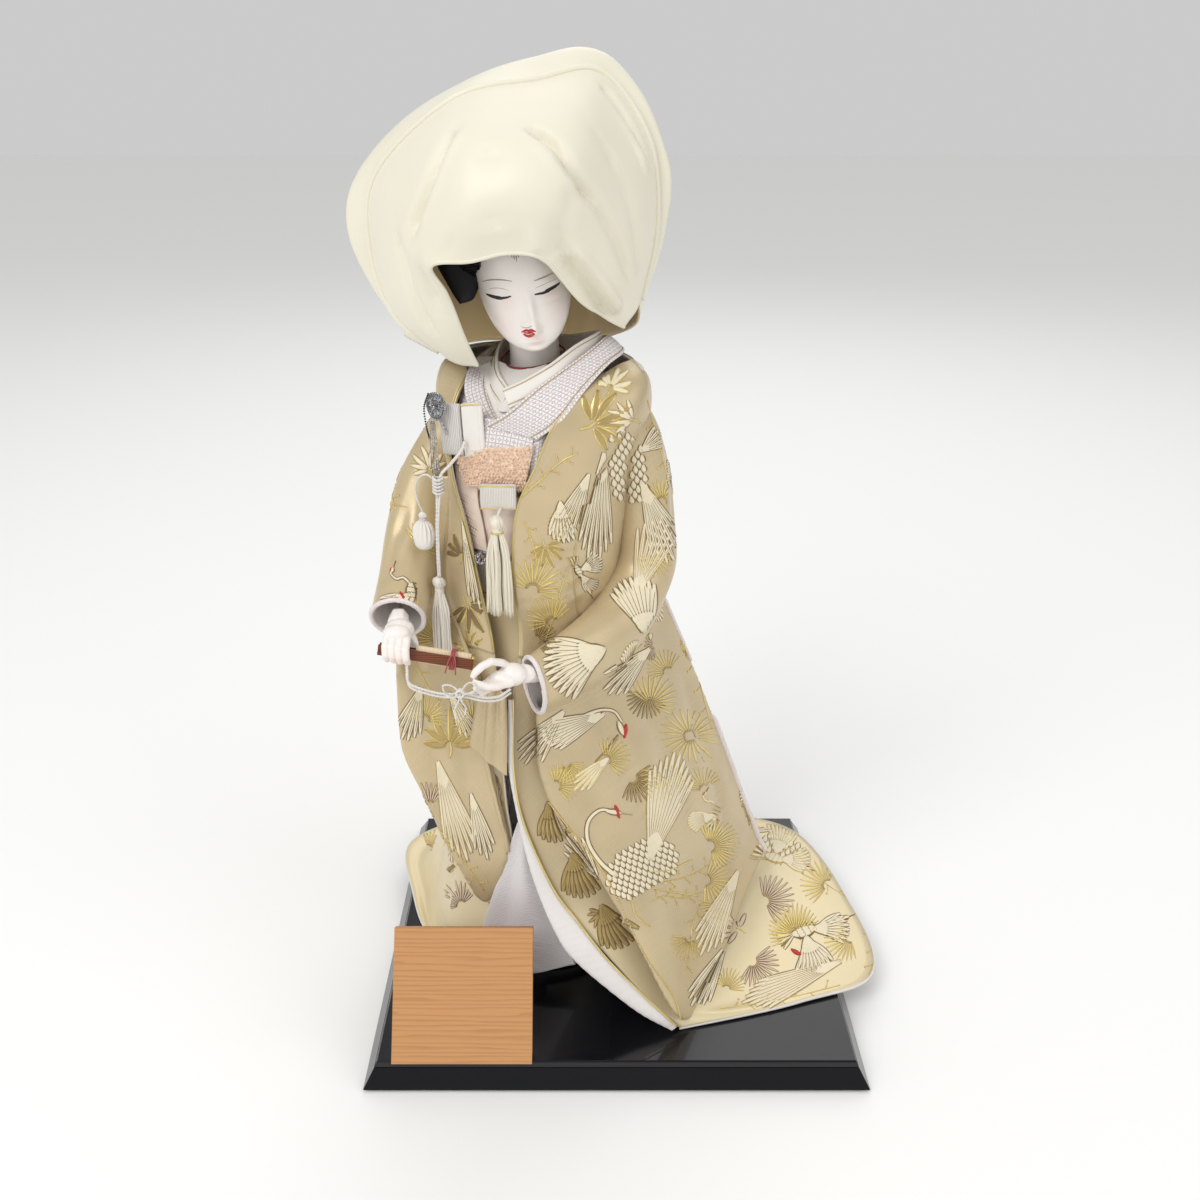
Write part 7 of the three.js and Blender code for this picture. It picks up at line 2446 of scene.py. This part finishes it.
def work_front():
    g = PICTURE
    seen_crane(g)
    arm_wings(g)
    # crane at the top of the left sleeve's bag
    plume(g, (608, 712), (538, 742), 9, 16, 2.9)
    plume(g, (566, 708), (520, 764), 6, 18, 2.6)
    stitch(g, [(554, 742), (574, 722), (596, 711), (613, 711), (622, 722)], 2.6, "ivory", "brown",
           "neck", 0.5)
    stitch(g, [(618, 721), (623, 735)], 3.8, "ivory", "brown", "leaf", 0.66)
    stitch(g, [(626, 724), (624, 738)], 3.2, "red", None, "leaf", 0.85)
    stitch(g, [(618, 735), (606, 750), (595, 762)], 1.0, "old_gold", "brown", "neck", 0.5)
    plume(g, (610, 756), (574, 790), 5, 16, 2.4, "ivory", "gold")
    # pines in gold, some with brown edges
    for at, turn, size, spread, *look in (
        ((690, 736), 60, 1.7, 330), ((650, 704), -30, 1.7, 170),
        ((648, 694), 160, 1.4, 150, "old_gold", "brown"), ((664, 772), 170, 1.6, 170),
        ((632, 778), -130, 1.5, 150, "old_gold", "brown"), ((606, 760), -60, 1.4, 160),
        ((668, 672), 40, 1.3, 150), ((704, 790), 20, 1.3, 150),
        ((710, 846), -70, 1.7, 190), ((706, 880), -100, 1.6, 170),
        ((718, 905), 150, 1.3, 150), ((556, 786), -60, 1.4, 160),
        ((566, 764), 200, 1.2, 150), ((690, 938), 160, 1.3, 150),
        ((662, 502), -30, 1.4, 160), ((652, 552), -170, 1.4, 160),
        ((532, 590), -20, 1.9, 180), ((552, 622), 30, 1.6, 160),
        ((570, 528), 60, 1.3, 150), ((536, 640), -70, 1.2, 150, "old_gold", "brown"),
        ((424, 720), -20, 1.5, 170), ((430, 806), 40, 1.4, 160, "pink", "brown"),
        ((472, 722), 60, 1.3, 150), ((418, 545), -40, 1.4, 160),
        ((438, 640), 30, 1.3, 150), ((796, 936), 20, 1.8, 190),
        ((764, 902), -70, 1.7, 160, "pink", "brown"), ((828, 886), 60, 1.6, 160),
        ((850, 938), 120, 1.5, 150), ((752, 962), -130, 1.6, 160, "pink", "brown"),
        ((726, 990), -20, 1.2, 150), ((428, 850), -60, 1.4, 150),
        ((462, 905), 30, 1.4, 150, "pink", "brown"),
    ):
        pine(g, at, turn, size, spread, 22 if spread > 180 else 14, *look)
    for at, turn, size, colour, outline in (
        ((592, 424), -66, 2.0, "old_gold", "gold"), ((610, 388), -20, 1.3, "ivory", "gold"),
        ((632, 420), 70, 1.2, "ivory", "old_gold"), ((545, 545), 200, 1.1, "old_gold", "gold"),
        ((468, 604), -150, 1.5, "brown", "gold"), ((462, 556), -10, 1.2, "brown", "old_gold"),
        ((450, 746), 0, 1.8, "old_gold", "gold"), ((430, 470), 20, 1.2, "ivory", "old_gold"),
        ((600, 912), 160, 0.8, "old_gold", "brown"), ((440, 880), -20, 1.4, "brown", "gold"),
        ((738, 930), 60, 1.2, "pink", "brown"), ((470, 650), 10, 1.0, "old_gold", "gold"),
    ):
        leaf_fan(g, at, turn, size, colour, outline)
    for path in (
        ((655, 884), (674, 880), (694, 874), (712, 862)),
        ((650, 902), (664, 896), (684, 898), (702, 892)),
        ((520, 498), (540, 480), (560, 462), (578, 452)),
        ((545, 640), (556, 610), (560, 590), (566, 570)),
        ((700, 905), (692, 925), (690, 950), (684, 975)),
        ((414, 660), (430, 690), (446, 700), (470, 700)),
        ((440, 830), (456, 850), (470, 870), (484, 890)),
        ((770, 830), (792, 850), (820, 880), (850, 900)),
        ((860, 905), (872, 935), (874, 960), (868, 978)),
        ((720, 1010), (760, 1004), (800, 996), (840, 986)),
        ((524, 520), (532, 540), (536, 560), (534, 580)),
        ((680, 640), (696, 672), (704, 700), (712, 730)),
        ((646, 400), (655, 430), (662, 456), (668, 480)),
    ):
        twig(g, path)
    # smaller cranes, and long feathers
    crane(g, (716, 812), 68, 0.62, False, "standing", "ivory", "gold")
    crane(g, (578, 572), -75, 0.55)
    stitch(g, [(570, 566), (577, 582)], 3.0, "red", None, "leaf", 0.85)
    crane(g, (412, 590), 80, 0.8, False, "standing")
    stitch(g, [(400, 592), (405, 601)], 2.8, "red", None, "leaf", 0.85)
    plume(g, (740, 866), (700, 956), 7, 12, 2.9, "ivory", "old_gold")
    plume(g, (726, 944), (692, 1010), 6, 13, 2.8)
    plume(g, (462, 516), (484, 612), 6, 9, 2.6)
    plume(g, (436, 756), (468, 862), 7, 12, 3.0, "ivory", "old_gold")
    plume(g, (422, 684), (404, 742), 6, 18, 2.8)
    plume(g, (470, 790), (488, 860), 5, 12, 2.6)
    plume(g, (448, 690), (474, 740), 5, 14, 2.6)
    # train
    crane(g, (806, 930), 150, 1.0, True)
    stitch(g, [(791, 950), (801, 956)], 3.0, "red", None, "leaf", 0.85)
    crane(g, (776, 860), -30, 0.8, False, "flying", "ivory", "gold")
    scallops(g, (786, 836), -20, 5, 6, 4.4, "ivory", "old_gold")
    plume(g, (846, 960), (742, 1004), 9, 10, 3.2, "ivory", "old_gold")
    lone_wing(g, (572, 850), 165, 30, 8, 56, "old_gold")
    lone_wing(g, (600, 904), 150, 30, 8, 56, "old_gold")
    lone_wing(g, (548, 800), 170, 26, 7, 50, "old_gold")


def in_picture(g, at):
    """Whether a point of a ground is seen from the camera, or lies off the cloth."""
    spots, _, piece = g.lay(np.array([at], float))
    if piece[0] < 0:
        return True
    ray = spots[0] - EYE
    far = np.linalg.norm(ray)
    for tree, _ in GARMENTS:
        place, _, _, there = tree.ray_cast(Vector(EYE), Vector(ray / far))
        if place is not None and there < far - 2.5:
            return False
    return True


HEIGHTS = (20, 385)
ROW_PITCH = 34
COLUMN_PITCH = 37
SEEN = -1  # kind of figure for a place that the camera sees, which stays as work_front made it


def work_side(ahead, span, seed):
    """Figures over a side that the photo doesn't show, in staggered rows."""
    random = np.random.default_rng(seed)
    g = Ground(ahead)
    for row, up in enumerate(range(*HEIGHTS, ROW_PITCH)):
        first = span[0] + (COLUMN_PITCH // 2 if row % 2 else 0)
        for column, across in enumerate(range(first, span[1], COLUMN_PITCH)):
            at = (across + random.uniform(-4, 4), -(up + random.uniform(-4, 4)))
            turn = random.uniform(-40, 40)
            which = SEEN if in_picture(g, at) else (row * 3 + column) % 5
            if which in (0, 3):
                crane(g, at, turn, random.uniform(0.62, 0.8), bool((row + column) % 2),
                      "flying" if which else "standing", "ivory", "brown" if column % 2 else "old_gold")
            elif which == 1:
                pine(g, at, turn, 1.25, 155, 15, "gold")
                pine(g, (at[0] + 12, at[1] + 9), turn + 110, 1.05, 150, 13, "pink", "brown")
            elif which == 2:
                leaf_fan(g, at, turn, 1.1, "brown", "gold")
                twig(g, [at, (at[0] + 12, at[1] - 5), (at[0] + 22, at[1] - 2)])
            elif which == 4:
                plume(g, at, (at[0] + random.uniform(-14, 14), at[1] + 30), 6, 15, 2.5, "ivory",
                      "old_gold")
                pine(g, (at[0] - 12, at[1]), turn - 90, 1.05, 150, 13, "gold")


work_front()
work_side((-0.95, 0.2, -0.25), (-120, 150), 51)
work_side((0.15, -0.97, -0.2), (-120, 150), 52)
work_side((0.97, -0.1, -0.2), (-100, 130), 53)
for colour, heap in worked.items():
    heap.put("robe_figures_" + colour, THREADS[colour])


# Rims of the sleeves

def open_rims(piece):
    """Ordered loops of a mesh's open edges, in millimetres, smoothed."""
    data = piece.data
    shared = {}
    for face in data.polygons:
        for a, b in face.edge_keys:
            shared[(a, b)] = shared.get((a, b), 0) + 1
    after = {}
    for (a, b), times in shared.items():
        if times == 1:
            after.setdefault(a, []).append(b)
            after.setdefault(b, []).append(a)
    loops = []
    while after:
        start = next(iter(after))
        loop = [start]
        here = start
        while here in after and after[here]:
            there = after[here].pop()
            if here in after.get(there, []):
                after[there].remove(here)
            if not after[here]:
                del after[here]
            if there == start or there not in after:
                break
            loop.append(there)
            here = there
        if start in after and not after[start]:
            del after[start]
        if len(loop) > 24:
            points = local(np.array([data.vertices[k].co for k in loop]))
            for _ in range(14):
                points = (np.roll(points, 1, 0) + points * 2 + np.roll(points, -1, 0)) / 4
            loops.append(points)
        elif len(loop) == 1 and start in after:
            del after[start]
    return loops


BEADED_EDGE = [  # places of the picture
    (548, 800), (569, 828), (594, 859), (611, 886), (645, 955), (672, 994), (681, 1020),
]


def make_rims():
    """Wadded rims of the sleeves' openings, and the beads along the left sleeve's front edge."""
    for side, piece in (("left", left_sleeve), ("right", right_sleeve)):
        for k, loop in enumerate(sorted(open_rims(piece), key=lambda one: -len(one))[:3]):
            thick = 2.3 if side == "left" and k == 0 else 1.35
            grid, _ = rope(np.concatenate([loop, loop[:1]]), thick, 0, sides=10, smooth=False)
            fluffed = grid + np.random.default_rng(k).normal(0, 0.07, grid.shape)
            look = ROBE_BROCADE if side == "right" and k == 0 else FLUFF
            closed_piece("sleeve_rim_%s_%d" % (side, k), fluffed, look)
    path = spline(BEADED_EDGE, np.linspace(0, 1, 150))
    spots, sides, met = cast(tree_of(left_sleeve), [sight(*p) for p in path])
    heap = Heap()
    beads(heap, (spots + sides * 0.4)[met], 0.5, 7)
    heap.put("sleeve_beaded_edge", GOLD_THREAD)


make_rims()


# Studio

def make_studio():
    size = 9
    floor = bpy.data.meshes.new("floor")
    floor.from_pydata(
        [(-size, -size, 0), (size, -size, 0), (size, size, 0), (-size, size, 0)], [], [(0, 1, 2, 3)])
    floor_object = bpy.data.objects.new("floor", floor)
    bpy.context.collection.objects.link(floor_object)

    paper = bpy.data.materials.new("studio_paper")
    paper.use_nodes = True
    desk = Desk(paper.node_tree)
    shader = paper.node_tree.nodes["Principled BSDF"]
    desk.feed(shader.inputs["Base Color"], (0.88, 0.88, 0.87))
    desk.feed(shader.inputs["Roughness"], 0.9)
    floor.materials.append(paper)

    sky = bpy.data.worlds.new("studio")
    sky.use_nodes = True
    desk = Desk(sky.node_tree)
    background = sky.node_tree.nodes["Background"]
    path = desk.node("ShaderNodeLightPath")
    glow = desk.math("MULTIPLY_ADD", path.outputs["Is Camera Ray"], -0.102, 0.70)
    desk.feed(background.inputs["Color"], (1, 1, 1))
    desk.feed(background.inputs["Strength"], desk.math("MULTIPLY_ADD", path.outputs["Is Glossy Ray"],
                                                       -0.42, glow))
    bpy.context.scene.world = sky

    for name, place, power, width in (
        ("key_light", (-1.1, -1.3, 1.9), 24, 1.2),
        ("fill_light", (1.5, -0.9, 1.2), 7, 1.4),
        ("back_light", (0.2, 1.6, 1.8), 10, 1.4),
    ):
        lamp = bpy.data.lights.new(name, "AREA")
        lamp.energy = power
        lamp.size = width
        lamp_object = bpy.data.objects.new(name, lamp)
        lamp_object.location = place
        toward = Vector((0, 0, 0.25)) - Vector(place)
        lamp_object.rotation_euler = toward.to_track_quat("-Z", "Y").to_euler()
        bpy.context.collection.objects.link(lamp_object)


make_studio()
bpy.context.scene.view_settings.view_transform = "Standard"
